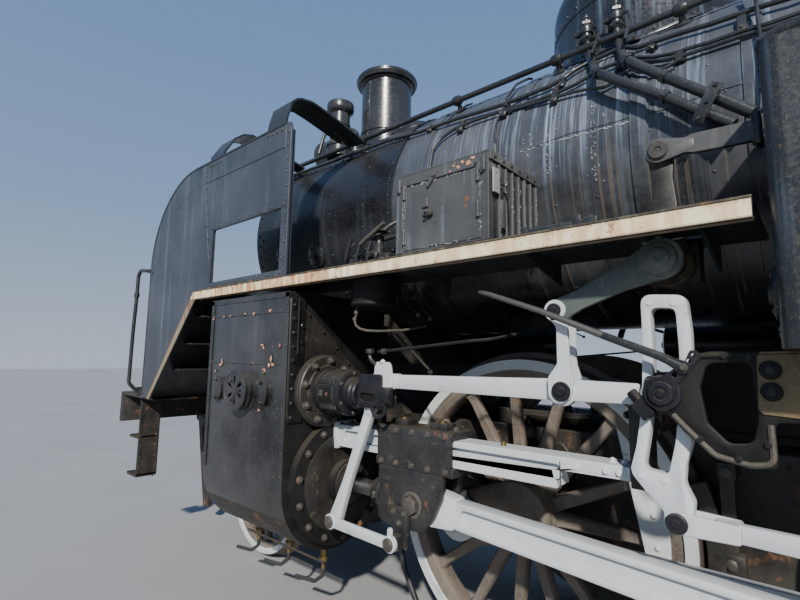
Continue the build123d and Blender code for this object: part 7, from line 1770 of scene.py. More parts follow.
# washout plugs and inspection covers low on the barrel and on the firebox sides
for x, deg in ((-1600, -12), (-2300, -12), (-3000, -8), (-1600, 192), (-2300, 192), (-3000, 188), (-2050, 14), (-2700, 14), (-2050, 166), (-2700, 166)):
    n = Vector((0, cos(radians(deg)), sin(radians(deg))))
    q = on_barrel(F(x), deg, BARREL_R)
    p.lathe(tuple(q), tuple(n), [(0.045, -0.003), (0.045, 0.006), (0.040, 0.009), (0.020, 0.010), (0.016, 0.024), (0.0, 0.025)], "boiler", 24)
p.done(38)


# ------------------------------------------------------------------ smokebox
p = Piece("smokebox_trim", "engine", SLOT_OF.get("smokebox"))
for x in (SMOKE_F - 0.060, SMOKE_F - 0.110):
    for k in range(60):
        deg = 6 * k + (3 if x < SMOKE_F - 0.1 else 0)
        n = Vector((0, cos(radians(deg)), sin(radians(deg))))
        p.rivet(on_barrel(x, deg, SMOKE_R - 0.0005), tuple(n), 0.011, "smoke", 8)
for deg in (38, 142):
    for k in range(22):
        n = Vector((0, cos(radians(deg)), sin(radians(deg))))
        p.rivet(on_barrel(SMOKE_B + 0.07 + k * 0.062, deg, SMOKE_R - 0.0005), tuple(n), 0.010, "smoke", 8)
    barrel_line(p, SMOKE_B + 0.03, SMOKE_F - 0.05, deg - 2.4, SMOKE_R, 0.012, 0.003, "smoke")
for x in (1010, 1330):
    for k in range(26):
        deg = -40 + 260 * k / 25
        if x == 1330 and 60 < deg < 120:
            continue
        n = Vector((0, cos(radians(deg)), sin(radians(deg))))
        p.rivet(on_barrel(F(x), deg, SMOKE_R - 0.0005), tuple(n), 0.0095, "smoke", 8)
# superheater header cover: low dome behind the chimney and a small one ahead of it
p.lathe((F(1120), 0.10, BZ + SMOKE_R - 0.03), (0, 0.11, 0.99), [(0.205, 0.0), (0.205, 0.034), (0.195, 0.042), (0.165, 0.046), (0.150, 0.075), (0.110, 0.108), (0.060, 0.124), (0.0, 0.130)], "smoke", 40)
for k in range(12):
    a = radians(30 * k)
    p.bolt((F(1120) + 0.184 * cos(a), 0.10 + 0.184 * sin(a), BZ + SMOKE_R + 0.012 - 0.02 * sin(a)), (0, 0.11, 0.99), 0.012, "bolt")
p.lathe((F(2060), 0.0, BZ + SMOKE_R - 0.01), (0, 0, 1), [(0.120, 0.0), (0.120, 0.022), (0.100, 0.030), (0.085, 0.055), (0.045, 0.080), (0.0, 0.086)], "smoke", 32)
# washout and ash plates low on both sides
for side in (1, -1):
    for x, deg, r in ((1500, -18, 0.085), (1900, -14, 0.060)):
        d = deg if side > 0 else 180 - deg
        n = Vector((0, cos(radians(d)), sin(radians(d))))
        p.lathe(tuple(on_barrel(F(x), d, SMOKE_R)), tuple(n), [(r, -0.004), (r, 0.008), (r - 0.006, 0.012), (0.020, 0.014), (0.018, 0.030), (0.0, 0.031)], "smoke", 30)
        for k in range(6):
            a = radians(60 * k)
            t = Vector((1, 0, 0)) * cos(a) + n.cross(Vector((1, 0, 0))) * sin(a)
            p.bolt(tuple(on_barrel(F(x), d, SMOKE_R + 0.010) + t * (r - 0.016)), tuple(n), 0.007, "bolt", thread=False)
p.done(38)

# ---- door: dogs, ring, handles
rounded("smokebox_door", 0.004, 2)
p = Piece("smokebox_door_trim", BODY_OF["smokebox_door"], SLOT_OF.get("smokebox_door"))
for k in range(10):
    a = radians(36 * k + 18)
    if abs(cos(a) + 0.95) < 0.15:
        continue
    y, z = 0.566 * cos(a), BZ + 0.566 * sin(a)
    p.box(-0.030, 0.030, -0.045, 0.045, -0.014, 0.014, "engine", 0.004, 1, Matrix.Translation((SMOKE_F + 0.050, y * 0.985, z - (z - BZ) * 0.015)) @ Matrix.Rotation(a, 4, "X"))
    p.bolt((SMOKE_F + 0.064, y * 0.99, z), (1, 0, 0), 0.014, "bolt")
p.lathe((SMOKE_F, 0, BZ), (1, 0, 0), [(0.552, 0.034), (0.548, 0.042), (0.530, 0.046), (0.522, 0.052)], "smoke", 72)
for z in (BZ + 0.190, BZ - 0.190):
    p.box(SMOKE_F + 0.047, SMOKE_F + 0.060, -0.560, -0.180, z - 0.030, z + 0.030, "engine", 0.004)
    for y in (-0.52, -0.44, -0.34, -0.24):
        p.rivet((SMOKE_F + 0.060, y, z), (1, 0, 0), 0.011, "engine", 10)
    p.lathe((SMOKE_F + 0.035, -0.622, z - 0.042), (0, 0, 1), [(0.027, 0), (0.030, 0.004), (0.030, 0.080), (0.027, 0.084)], "engine", 20)
p.tube([(SMOKE_F + 0.09, 0.30, BZ + 0.13), (SMOKE_F + 0.16, 0.31, BZ + 0.13), (SMOKE_F + 0.16, 0.31, BZ - 0.13), (SMOKE_F + 0.09, 0.30, BZ - 0.13)], 0.012, "steel", 12, 0.03)
p.lathe((SMOKE_F + 0.124, 0, BZ), (1, 0, 0), [(0.085, -0.02), (0.078, 0.004), (0.050, 0.010), (0.046, 0.036), (0.030, 0.040)], "engine", 32)
p.tube([(SMOKE_F + 0.150, 0, BZ), (SMOKE_F + 0.150, 0.115, BZ + 0.115)], 0.011, "steel", 12)
p.tube([(SMOKE_F + 0.150, 0.105, BZ + 0.105), (SMOKE_F + 0.150, 0.122, BZ + 0.122)], 0.018, "steel", 12)
p.disc((SMOKE_F + 0.045, 0, BZ + 0.34), (1, 0, 0), 0.125, 0.048, "engine", 40, 0.006)
p.done(38)

# ------------------------------------------------------------------ chimney and small stack
p = Piece("chimney_trim", "engine", SLOT_OF.get("chimney"))
CHX = F(1545)
p.lathe((CHX, 0, 3.928), (0, 0, 1), [(0.262, -0.036), (0.264, -0.024), (0.262, -0.014), (0.256, -0.012), (0.256, -0.006), (0.250, 0.0)], "chimney", 64)
p.lathe((CHX, 0, 3.868), (0, 0, 1), [(0.2135, -0.020), (0.222, -0.014), (0.226, -0.004), (0.222, 0.004), (0.2135, 0.006)], "chimney", 64)
for z in (3.302, 3.420):
    p.lathe((CHX, 0, z), (0, 0, 1), [(0.2145 + (0.006 if z < 3.4 else 0), -0.018), (0.221 + (0.006 if z < 3.4 else 0), -0.012), (0.221 + (0.006 if z < 3.4 else 0), 0.012), (0.2145 + (0.004 if z < 3.4 else 0), 0.018)], "chimney", 64)
for k in range(16):
    a = radians(22.5 * k)
    y = 0.298 * sin(a)
    p.bolt((CHX + 0.298 * cos(a), y, 3.198 + 0.0), (cos(a) * 0.5, sin(a) * 0.5, 0.8), 0.014, "bolt")
p.box(CHX - 0.005, CHX + 0.005, 0.210, 0.217, 3.44, 3.85, "chimney", 0.001)
for k in range(9):
    p.rivet((CHX + 0.018, 0.2125, 3.47 + 0.045 * k), (0.08, 1, 0), 0.006, "chimney", 6)
# petticoat inside so the mouth reads as deep
p.lathe((CHX, 0, 3.915), (0, 0, 1), [(0.178, 0.0), (0.176, -0.06), (0.170, -0.40), (0.0, -0.42)], "under", 40)
# small stack: rim, body bands, base flange, side fitting to the chimney
SX, SY = F(1780), 0.320
p.lathe((SX, SY, 3.600), (0, 0, 1), [(0.083, -0.03), (0.100, -0.016), (0.112, -0.004), (0.114, 0.010), (0.114, 0.052), (0.110, 0.062), (0.098, 0.066), (0.074, 0.066), (0.068, 0.058)], "chimney", 44)
p.lathe((SX, SY, 3.470), (0, 0, 1), [(0.0825, -0.010), (0.088, -0.006), (0.088, 0.006), (0.0825, 0.010)], "chimney", 40)
p.lathe((SX, SY, 3.288), (0, 0, 1), [(0.112, -0.012), (0.114, -0.004), (0.112, 0.008), (0.096, 0.014), (0.084, 0.022)], "chimney", 40)
for k in range(8):
    a = radians(45 * k + 10)
    p.bolt((SX + 0.100 * cos(a), SY + 0.100 * sin(a), 3.296), (0, 0, 1), 0.010, "bolt")
p.tube([(SX - 0.06, SY, 3.40), (SX - 0.13, SY - 0.02, 3.40), (SX - 0.17, SY - 0.03, 3.36), (SX - 0.17, SY - 0.03, 3.26)], 0.028, "pipe", 14, 0.05)
p.lathe((SX - 0.17, SY - 0.03, 3.25), (0, 0, 1), [(0.060, -0.06), (0.060, 0.012), (0.052, 0.018), (0.030, 0.022)], "chimney", 24)
p.tube([(SX + 0.04, SY + 0.055, 3.40), (SX + 0.06, SY + 0.10, 3.40), (SX + 0.07, SY + 0.12, 3.34), (SX + 0.08, SY + 0.15, 3.20)], 0.014, "pipe", 10, 0.04)
p.done(38)

# ------------------------------------------------------------------ handrails, conduits, sanding pipes
SEAM = ((2.441, 0.1027), (1.750, 0.0804))
p = Piece("boiler_pipes", "engine", SLOT_OF.get("boiler"))
for side in (1, -1):
    hr = mm3([(2180, 560, 3040), (2130, 560, 3100), (1200, 560, 3106), (-774, 560, 3107), (-4360, 560, 3107)], side)
    p.tube(hr, 0.0165, "pipe", 16, 0.05)
    for x in (2040, 1250, 420, -210, -785, -1500, -2300, -3200, -4200):
        R = SMOKE_R if x > 765 else BARREL_R
        # ball, stem and forked foot
        p.lathe((F(x), side * 0.560, 3.107), (1, 0, 0), [(0.0165, -0.030), (0.024, -0.026), (0.029, -0.012), (0.030, 0.0), (0.029, 0.012), (0.024, 0.026), (0.0165, 0.030)], "pipe", 20)
        n = Vector((0, 0.560, 3.107 - BZ)).normalized()
        base = Vector((F(x), n.y * R, BZ + n.z * R))
        top = Vector((F(x), 0.560, 3.107))
        base.y *= side
        top.y *= side
        nn = Vector((0, n.y * side, n.z))
        p.tube([tuple(top), tuple(top.lerp(base, 0.5)), tuple(base)], [0.014, 0.013, 0.020], "pipe", 12)
        p.lathe(tuple(base), tuple(nn), [(0.038, -0.006), (0.038, 0.006), (0.030, 0.010), (0.018, 0.014)], "pipe", 20)
        for dx in (-0.028, 0.028):
            p.bolt((base.x + dx, base.y, base.z + 0.004), tuple(nn), 0.006, "bolt", thread=False)
    c1 = [(2050, 640, 2990), (1400, 655, 2968), (900, 652, 2965), (642, 649, 2941), (358, 662, 2928), (43, 686, 2892), (-217, 672, 2905), (-292, 662, 2926), (-324, 636, 2962), (-395, 607, 2994), (-506, 593, 3011), (-566, 615, 2992), (-627, 655, 2941), (-676, 654, 2941),
          (-763, 653, 2938), (-907, 672, 2912), (-1066, 684, 2898), (-1167, 697, 2880), (-2400, 700, 2878), (-4440, 700, 2878)]
    p.tube(mm3(c1, side), 0.011, "pipe", 10, 0.06)
    c2 = [(456, 812, 2380), (456, 799, 2560), (457, 755, 2745), (420, 728, 2800), (345, 712, 2838), (203, 704, 2851), (20, 706, 2845), (-187, 714, 2830), (-261, 710, 2832), (-355, 703, 2846), (-420, 694, 2866), (-483, 682, 2889), (-558, 682, 2890), (-632, 692, 2873), (-694, 708, 2838), (-780, 724, 2812)]
    p.tube(mm3(c2, side), 0.0085, "pipe", 10, 0.05)
    c3 = [(23, 708, 2835), (-264, 724, 2806), (-362, 728, 2795), (-432, 734, 2781), (-500, 744, 2755), (-560, 736, 2775), (-593, 706, 2842), (-656, 712, 2832), (-734, 728, 2798), (-785, 732, 2788)]
    p.tube(mm3(c3, side), 0.0075, "pipe", 8, 0.05)
    c4 = [(-583, 706, 2852), (-610, 728, 2810), (-641, 742, 2775), (-690, 750, 2748), (-746, 752, 2744), (-790, 748, 2756)]
    p.tube(mm3(c4, side), 0.007, "pipe", 8, 0.04)
    p.tube(mm3([(-815, 722, 2812), (-908, 726, 2802), (-1004, 726, 2802), (-1100, 731, 2790), (-2000, 734, 2786), (-4440, 734, 2786)], side), 0.0085, "pipe", 8, 0.05)
    p.tube(mm3([(-815, 735, 2780), (-908, 736, 2778), (-1003, 738, 2775), (-1099, 741, 2766), (-2000, 744, 2760), (-4440, 744, 2760)], side), 0.0085, "pipe", 8, 0.05)
    # branches over the crown and down to the box
    p.tube(mm3([(372, 470, 3110), (377, 535, 3068), (407, 600, 3005), (430, 655, 2940)], side), 0.006, "pipe", 8, 0.05)
    p.tube(mm3([(-41, 500, 3096), (-41, 545, 3076), (10, 590, 3040), (22, 676, 2925), (8, 712, 2862)], side), 0.0065, "pipe", 8, 0.05)
    p.tube(mm3([(40, 706, 2850), (55, 724, 2790), (50, 752, 2710), (40, 772, 2640), (33, 790, 2480), (33, 840, 2366)], side), 0.006, "pipe", 8, 0.06)
    # clips
    for x, y, z, w in ((-278, 676, 2904, 0.040), (-258, 716, 2822, 0.050), (23, 702, 2856, 0.055), (-559, 680, 2890, 0.050), (-680, 656, 2934, 0.040), (300, 704, 2850, 0.045), (560, 655, 2944, 0.035), (-1010, 700, 2860, 0.060), (-1600, 715, 2830, 0.06), (-2400, 715, 2830, 0.06), (-3300, 715, 2830, 0.06)):
        n = Vector((0, y / 1000.0, z / 1000.0 - BZ)).normalized()
        a = atan2(n.z, n.y)
        m = Matrix.Translation((F(x), side * (BARREL_R + 0.010) * cos(a), BZ + (BARREL_R + 0.010) * sin(a))) @ Matrix.Rotation(a if side > 0 else pi - a, 4, "X")
        p.box(-0.016, 0.016, -0.010, 0.016, -w, w, "pipe", 0.003, 1, m)
        nn = (0, side * cos(a), sin(a))
        for t in (-w * 0.75, w * 0.75):
            c = Vector((F(x), side * (BARREL_R + 0.026) * cos(a + t / BARREL_R), BZ + (BARREL_R + 0.026) * sin(a + t / BARREL_R)))
            p.bolt(tuple(c), nn, 0.008, "bolt", thread=False)
    # terminal boxes on the cleading
    for x, deg, w, h in ((-800, 23.0, 0.019, 0.036), (-690, 33.5, 0.014, 0.014)):
        a = radians(deg if side > 0 else 180 - deg)
        m = Matrix.Translation((F(x), (BARREL_R + 0.014) * cos(a), BZ + (BARREL_R + 0.014) * sin(a))) @ Matrix.Rotation(a, 4, "X")
        p.box(-w, w, -0.020, 0.006, -h, h, "oily", 0.003, 1, m)
        for dx in (-w * 0.75, w * 0.75):
            for dz in (-h * 0.8, h * 0.8):
                p.bolt(tuple(m @ Vector((dx, 0.0055, dz))), (0, cos(a), sin(a)), 0.004, "oily", False, thread=False)
    # upright thin rod beside the tank's front
    p.tube(mm3([(-1056, 640, 3102), (-1058, 700, 2960), (-1066, 770, 2730), (-1070, 808, 2560), (-1072, 830, 2380)], side), 0.007, "pipe", 8, 0.05)
    # sanding pipes: valve bodies beside the dome, elbows, long runs down to the rear, strap over both
    for vx, run in ((-354, [(-354, 520, 3177), (-361, 525, 3121), (-383, 565, 3046), (-425, 650, 2944), (-483, 790, 2815), (-557, 815, 2744), (-747, 838, 2585), (-868, 842, 2478), (-976, 842, 2388)]),
                    (-502, [(-502, 520, 3184), (-505, 525, 3115), (-525, 570, 3035), (-558, 655, 2935), (-603, 782, 2830), (-660, 808, 2765), (-748, 822, 2678), (-909, 842, 2526), (-1034, 844, 2412)])):
        p.tube(mm3(run, side), 0.0205, "pipe", 16, 0.08)
        p.tube(mm3(run[-2:], side), 0.0225, "pipe", 16)
        # collars
        for k in (4, 6):
            a, b = Vector(mm3([run[k]], side)[0]), Vector(mm3([run[k + 1]], side)[0])
            u = (b - a).normalized()
            p.tube([tuple(a + u * 0.004), tuple(a + u * 0.026)], 0.028, "pipe", 6)
        x, y, z = mm3([(vx, 520, 3165 if vx > -400 else 3172)], side)[0]
        p.lathe((x, y, z), (0, 0, 1), [(0.022, -0.012), (0.030, -0.006), (0.034, 0.004), (0.034, 0.018), (0.026, 0.022), (0.026, 0.034), (0.033, 0.040), (0.036, 0.060), (0.036, 0.074), (0.031, 0.082), (0.028, 0.104), (0.022, 0.108), (0.022, 0.128), (0.017, 0.132), (0.016, 0.142), (0.0, 0.144)], "pipe", 24)
        p.lathe((x, y, z), (0, 0, 1), [(0.036, 0.000), (0.040, 0.002), (0.040, 0.014), (0.036, 0.017)], "pipe", 6, start=11)
        p.lathe((x, y, z), (0, 0, 1), [(0.032, 0.082), (0.037, 0.084), (0.037, 0.098), (0.032, 0.101), (0.020, 0.101)], "pipe", 6, start=37)
        p.lathe((x, y, z), (0, 0, 1), [(0.020, 0.112), (0.026, 0.114), (0.026, 0.124), (0.020, 0.126)], "pipe", 6, start=20)
        # inlet from the dome, square spindle with its lever, thin air pipe
        p.tube([(x, y, z + 0.050), (x - 0.03, y - side * 0.10, z + 0.050)], 0.017, "pipe", 14)
        p.lathe((x - 0.008, y - side * 0.028, z + 0.050), (-0.28, -side * 0.96, 0), [(0.018, 0.0), (0.025, 0.002), (0.025, 0.014), (0.018, 0.016)], "pipe", 6)
        p.lathe((x + 0.028, y, z + 0.056), (1, 0, 0), [(0.018, 0.0), (0.018, 0.014), (0.011, 0.017), (0.011, 0.032), (0.0, 0.032)], "pipe_old", 14)
        p.prism(round_poly([(x + 0.050 + 0.010, z + 0.070), (x + 0.050 - 0.010, z + 0.070), (x + 0.050 - 0.007, z - 0.010), (x + 0.050 + 0.007, z - 0.010)], 0.005, 3), "y", y - 0.003, y + 0.003, "pipe_old", 0.001)
        p.tube([(x - 0.030, y + side * 0.006, z + 0.060), (x - 0.060, y + side * 0.012, z + 0.058), (x - 0.070, y + side * 0.030, z - 0.010), (x - 0.074, y + side * 0.090, z - 0.085), (x - 0.080, y + side * 0.170, z - 0.190)], 0.008, "pipe", 8, 0.03)
    # peeled edge of the upper lap of the cleading, broken up in short bits
    state = random.getstate()
    random.seed(17)
    q0, q1 = SEAM
    for k in range(68):
        if random.random() < 0.25:
            continue
        t0 = k / 68.0
        xx = q0[0] + (q1[0] - q0[0]) * t0
        lw = random.uniform(0.004, 0.011)
        dz = random.uniform(-0.004, 0.004)
        a = q0[1] + (q1[1] - q0[1]) * t0 + dz / BARREL_R
        a = a if side > 0 else pi - a
        m = Matrix.Translation((xx, BARREL_R * cos(a), BZ + BARREL_R * sin(a))) @ Matrix.Rotation(a, 4, "X")
        p.box(-lw, lw, -0.002, 0.0022, -random.uniform(0.0012, 0.0035), random.uniform(0.0012, 0.0035), "chalk", 0.0, 1, m)
    # the same on two of the hoop seams, with loose flakes beside them
    for xs, a0, a1, n in ((-242, -0.10, 0.30, 60), (-453, -0.22, 0.32, 84), (-150, 0.02, 0.22, 30)):
        for k in range(n):
            if random.random() < 0.42:
                continue
            a = a0 + (a1 - a0) * (k + random.random()) / n
            a = a if side > 0 else pi - a
            xx = F(xs) + random.uniform(-0.010, 0.010) + (random.uniform(-0.05, 0.05) if random.random() < 0.25 else 0.0)
            m = Matrix.Translation((xx, BARREL_R * cos(a), BZ + BARREL_R * sin(a))) @ Matrix.Rotation(a, 4, "X")
            w = random.uniform(0.0010, 0.0030)
            p.box(-w, w, -0.002, 0.0022, -random.uniform(0.0015, 0.006), random.uniform(0.0015, 0.006), "chalk", 0.0, 1, m)
    random.setstate(state)
    c = Vector(mm3([(-903, 876, 2480)], side)[0])
    p.strip([tuple(Vector(mm3([(-940, 868, 2550)], side)[0])), tuple(Vector(mm3([(-928, 882, 2528)], side)[0])), tuple(Vector(mm3([(-880, 882, 2440)], side)[0])), tuple(Vector(mm3([(-868, 868, 2420)], side)[0]))], (0.87, 0, 0.48), 0.042, 0.007, "pipe")
    for q in ((-934, 884, 2539), (-904, 886, 2484), (-874, 884, 2430)):
        p.bolt(mm3([q], side)[0], (0, side, 0), 0.009, "pipe", False, 0.006, False)
    # lubricator pipes from the box rear up to the boiler side
    for k in range(3 if side < 0 else 0):
        p.tube(mm3([(-210 - 26 * k, 870 + 30 * k, 2040 + 60 * k), (-260 - 26 * k, 850 + 14 * k, 2030 + 60 * k), (-330 - 30 * k, 810, 2060 + 40 * k), (-420 - 60 * k, 772, 2180 + 40 * k)], side), 0.0065, "pipe_old", 8, 0.05)
    # valve cluster on the board between box and jacket
    for x, y, h, r in ((560, 1080, 0.215, 0.020), (640, 1010, 0.180, 0.018), (700, 1090, 0.120, 0.022)):
        p.lathe(mm3([(x, y, 1972)], side)[0], (0, 0, 1), [(0.046, 0.0), (0.046, 0.010), (r, 0.014), (r, h * 0.42), (r * 1.55, h * 0.45), (r * 1.6, h * 0.62), (r * 1.2, h * 0.66), (r, h * 0.80), (r * 1.3, h * 0.82), (r * 1.3, h * 0.92), (0.008, h * 0.94), (0.008, h), (0.0, h)], "pipe_old", 20)
        for k in range(4):
            a = radians(90 * k + 20)
            q = mm3([(x, y, 1982)], side)[0]
            p.bolt((q[0] + 0.036 * cos(a), q[1] + 0.036 * sin(a), q[2]), (0, 0, 1), 0.007, "bolt", thread=False)
    p.lathe(mm3([(560, 1080, 2190)], side)[0], (0, 0, 1), [(0.042, 0.0), (0.048, 0.004), (0.042, 0.009), (0.0, 0.009)], "pipe_old", 20)
    p.lathe(mm3([(560, 1098, 2062)], side)[0], (0, side, 0), [(0.026, 0.0), (0.030, 0.004), (0.030, 0.026), (0.020, 0.032), (0.016, 0.060), (0.0, 0.060)], "pipe_old", 6)
    p.lathe(mm3([(700, 1110, 2030)], side)[0], (0, side, 0), [(0.030, 0.0), (0.034, 0.004), (0.034, 0.022), (0.0, 0.026)], "pipe_old", 24)
    for pts, r in (([(560, 1080, 2050), (500, 1085, 2050), (450, 1090, 2030), (400, 1095, 1990), (396, 1095, 1972)], 0.012),
                   ([(560, 1080, 2080), (600, 1050, 2110), (640, 1010, 2100)], 0.012),
                   ([(640, 1010, 2130), (690, 960, 2170), (710, 900, 2210), (705, 800, 2250)], 0.013),
                   ([(700, 1090, 2060), (760, 1080, 2100), (800, 1020, 2120), (820, 930, 2090), (820, 900, 1975)], 0.012),
                   ([(600, 1120, 1975), (600, 1125, 2080), (580, 1115, 2150), (500, 1060, 2225), (430, 980, 2290), (410, 900, 2330)], 0.010),
                   ([(660, 1135, 1975), (668, 1140, 2060), (650, 1130, 2140), (600, 1090, 2200)], 0.008),
                   ([(760, 1130, 1975), (752, 1130, 2050), (770, 1120, 2110), (745, 1080, 2160)], 0.007)):
        p.tube(mm3(pts, side), r, "pipe_old", 8, 0.03)
    p.tube(mm3([(640, 1140, 2128), (470, 1140, 2216)], side), 0.011, "cast", 8)
    p.tube(mm3([(742, 1150, 2050), (700, 1150, 2166)], side), 0.009, "pipe_old", 8)
    p.box(F(470), F(530), side * 1.02, side * 1.10, DECK_Z, DECK_Z + 0.10, "pipe_old", 0.006, 2)
    p.disc(mm3([(500, 1105, 2030)], side)[0], (0, side, 0), 0.040, 0.014, "pipe_old", 24)
    p.bolt(mm3([(500, 1119, 2030)], side)[0], (0, side, 0), 0.014, "bolt")
p.done(38)


# ------------------------------------------------------------------ equipment box on the left board
rounded("equipment_box", 0.004, 2)
p = Piece("equipment_box_trim", "engine", SLOT_OF.get("equipment_box"))
BX0, BX1, BY, BZ0, BZ1 = F(-203), F(282), 1.250, 2.003, 2.362
# door sheet with its lap strips, raised lid lip and corner angle
p.box(BX0 + 0.035, BX1 - 0.040, BY, BY + 0.004, BZ0 + 0.012, BZ1 - 0.052, "box", 0.0015)
p.box(BX0 - 0.004, BX1 + 0.004, BY, BY + 0.007, BZ1 - 0.046, BZ1 + 0.004, "box", 0.002)
p.box(BX1 - 0.036, BX1 + 0.003, BY, BY + 0.006, BZ0, BZ1 - 0.050, "box", 0.002)
p.box(BX0 - 0.004, BX0 + 0.010, BY - 0.03, BY + 0.008, BZ0, BZ1, "box", 0.002)
p.box(BX0 + 0.010, BX0 + 0.032, BY, BY + 0.0045, BZ0, BZ1 - 0.05, "box", 0.0015)
p.box(BX0 - 0.008, BX1 + 0.008, 0.826, BY + 0.008, BZ1 + 0.002, BZ1 + 0.010, "box", 0.002)
# hinges on both upright edges: knuckles on a leaf
for x, zs in ((BX0 + 0.046, (2.285, 2.135)), (BX1 - 0.046, (2.285, 2.075))):
    for z in zs:
        p.box(x - 0.012, x + 0.012, BY + 0.004, BY + 0.008, z - 0.034, z + 0.034, "box", 0.001)
        p.lathe((x, BY + 0.010, z - 0.034), (0, 0, 1), [(0.0, 0.0), (0.0065, 0.0), (0.0065, 0.066), (0.0, 0.066)], "box", 10)
        for dz in (-0.012, 0.012):
            p.lathe((x, BY + 0.010, z + dz - 0.001), (0, 0, 1), [(0.0072, 0.0), (0.0072, 0.002)], "under", 10)
        p.rivet((x - 0.007 if x > 0 else x + 0.007, BY + 0.0078, z + 0.026), (0, 1, 0), 0.004, "box", 6)
        p.rivet((x - 0.007 if x > 0 else x + 0.007, BY + 0.0078, z - 0.026), (0, 1, 0), 0.004, "box", 6)
# hasp, staple and bracket in the middle of the door
cx, cz = F(118), 2.195
p.box(cx - 0.022, cx + 0.010, BY + 0.004, BY + 0.014, cz - 0.002, cz + 0.040, "box", 0.002)
p.box(cx - 0.030, cx - 0.004, BY + 0.004, BY + 0.026, cz - 0.030, cz - 0.018, "box", 0.002)
p.tube([(cx - 0.026, BY + 0.006, cz - 0.044), (cx - 0.026, BY + 0.028, cz - 0.044), (cx - 0.006, BY + 0.028, cz - 0.044), (cx - 0.006, BY + 0.006, cz - 0.044)], 0.004, "pipe", 8, 0.006)
p.prism(round_poly([(cx - 0.020, cz - 0.020), (cx - 0.046, cz - 0.024), (cx - 0.048, cz - 0.046), (cx - 0.022, cz - 0.048)], 0.006, 3), "y", BY + 0.004, BY + 0.024, "under", 0.002)
for dx, dz in ((-0.016, 0.030), (0.004, 0.030), (-0.016, 0.006), (0.004, 0.006)):
    p.rivet((cx + dx, BY + 0.0135, cz + dz), (0, 1, 0), 0.004, "box", 6)
# turn clasps on the lid lip, and the hooks at its corners
for x, a in ((F(78), -40), (F(-165), 30)):
    m = Matrix.Translation((x, BY + 0.010, BZ1 - 0.050)) @ Matrix.Rotation(radians(a), 4, "Y")
    p.box(-0.008, 0.008, -0.004, 0.006, -0.036, 0.030, "box", 0.002, 1, m)
    p.bolt(tuple(m @ Vector((0, 0.005, 0.020))), (0, 1, 0), 0.007, "box", thread=False)
for x in (BX1 - 0.016, BX0 + 0.020):
    p.box(x - 0.010, x + 0.010, BY + 0.006, BY + 0.016, BZ1 - 0.075, BZ1 - 0.010, "box", 0.003)
    p.disc((x, BY + 0.014, BZ1 - 0.070), (0, 1, 0), 0.007, 0.004, "under", 10, 0.001)
for k in range(7):
    p.rivet((BX0 + 0.03 + 0.072 * k, BY + 0.0068, BZ1 - 0.018), (0, 1, 0), 0.0045, "rusty" if k in (2, 3) else "box", 6)
    p.rivet((BX0 + 0.05 + 0.064 * k, BY + 0.0038, BZ0 + 0.022), (0, 1, 0), 0.0045, "box", 6)
# peeled paint on the lid lip, a bare patch on the door, chalky flakes along its edges
state = random.getstate()
random.seed(23)
for x, z, w, h, y1, mat in ((-137, 2.354, 0.015, 0.008, 0.0092, "peel"), (-112, 2.340, 0.020, 0.012, 0.0084, "peel"), (-84, 2.350, 0.010, 0.010, 0.0092, "peel"),
                            (-62, 2.334, 0.013, 0.014, 0.0084, "peel"), (-38, 2.346, 0.008, 0.007, 0.0084, "peel"), (-20, 2.326, 0.005, 0.006, 0.0084, "peel"),
                            (-102, 2.188, 0.011, 0.026, 0.0048, "rusty"), (-96, 2.160, 0.007, 0.012, 0.0048, "rusty")):
    pts = []
    for k in range(13):
        a = 2 * pi * k / 13
        r = random.uniform(0.4, 1.0)
        pts.append((F(x) + w * r * cos(a), z + h * r * sin(a)))
    p.prism(pts, "y", BY + 0.002, BY + y1, mat, 0.0)
for k in range(110):
    t = random.random()
    x, z = random.choice(((BX0 + 0.037, BZ0 + 0.02 + 0.29 * t), (BX1 - 0.042, BZ0 + 0.02 + 0.29 * t), (BX0 + 0.04 + 0.40 * t, BZ0 + 0.014), (BX0 + 0.04 + 0.40 * t, BZ1 - 0.054)))
    x += random.uniform(-0.004, 0.004)
    z += random.uniform(-0.004, 0.004)
    w, h = random.uniform(0.0008, 0.0026), random.uniform(0.0010, 0.0050)
    p.box(x - w, x + w, BY + 0.002, BY + 0.0047, z - h, z + h, "chalk", 0.0)
for k in range(60):
    y, z = 0.845 + 0.056 * random.randrange(7) + random.uniform(-0.007, 0.007), BZ0 + 0.01 + 0.31 * random.random()
    p.box(BX0 - 0.0140, BX0 - 0.010, y - 0.0012, y + 0.0012, z - random.uniform(0.002, 0.008), z + 0.003, "chalk", 0.0)
random.setstate(state)
# rear end: lid flange with bolts, upright ribs, a worn blank plate and a lever
p.box(BX0 - 0.012, BX0, 0.832, BY + 0.004, BZ1 - 0.030, BZ1 + 0.010, "box", 0.002)
for k in range(6):
    p.bolt((BX0 - 0.0118, 0.868 + 0.070 * k, BZ1 - 0.012), (-1, 0, 0), 0.006, "under", thread=False)
p.box(BX0 - 0.003, BX0 + 0.004, 0.836, BY - 0.004, BZ0 + 0.006, BZ1 - 0.030, "pipe", 0.001)
for k in range(7):
    y = 0.845 + 0.056 * k
    p.box(BX0 - 0.013, BX0, y - 0.0065, y + 0.0065, BZ0 + 0.004, BZ1 - 0.034, "box", 0.003)
p.box(BX0 - 0.020, BX0 - 0.012, 1.196, 1.244, 2.196, 2.300, "plate_worn", 0.002)
p.rivet((BX0 - 0.0198, 1.219, 2.282), (-1, 0, 0), 0.004, "bolt", 6)
p.rivet((BX0 - 0.0198, 1.219, 2.218), (-1, 0, 0), 0.004, "bolt", 6)
p.tube([(BX0 - 0.010, 1.165, 2.245), (BX0 - 0.030, 1.165, 2.245), (BX0 - 0.034, 1.150, 2.20), (BX0 - 0.034, 1.140, 2.13)], 0.005, "pipe", 8, 0.01)
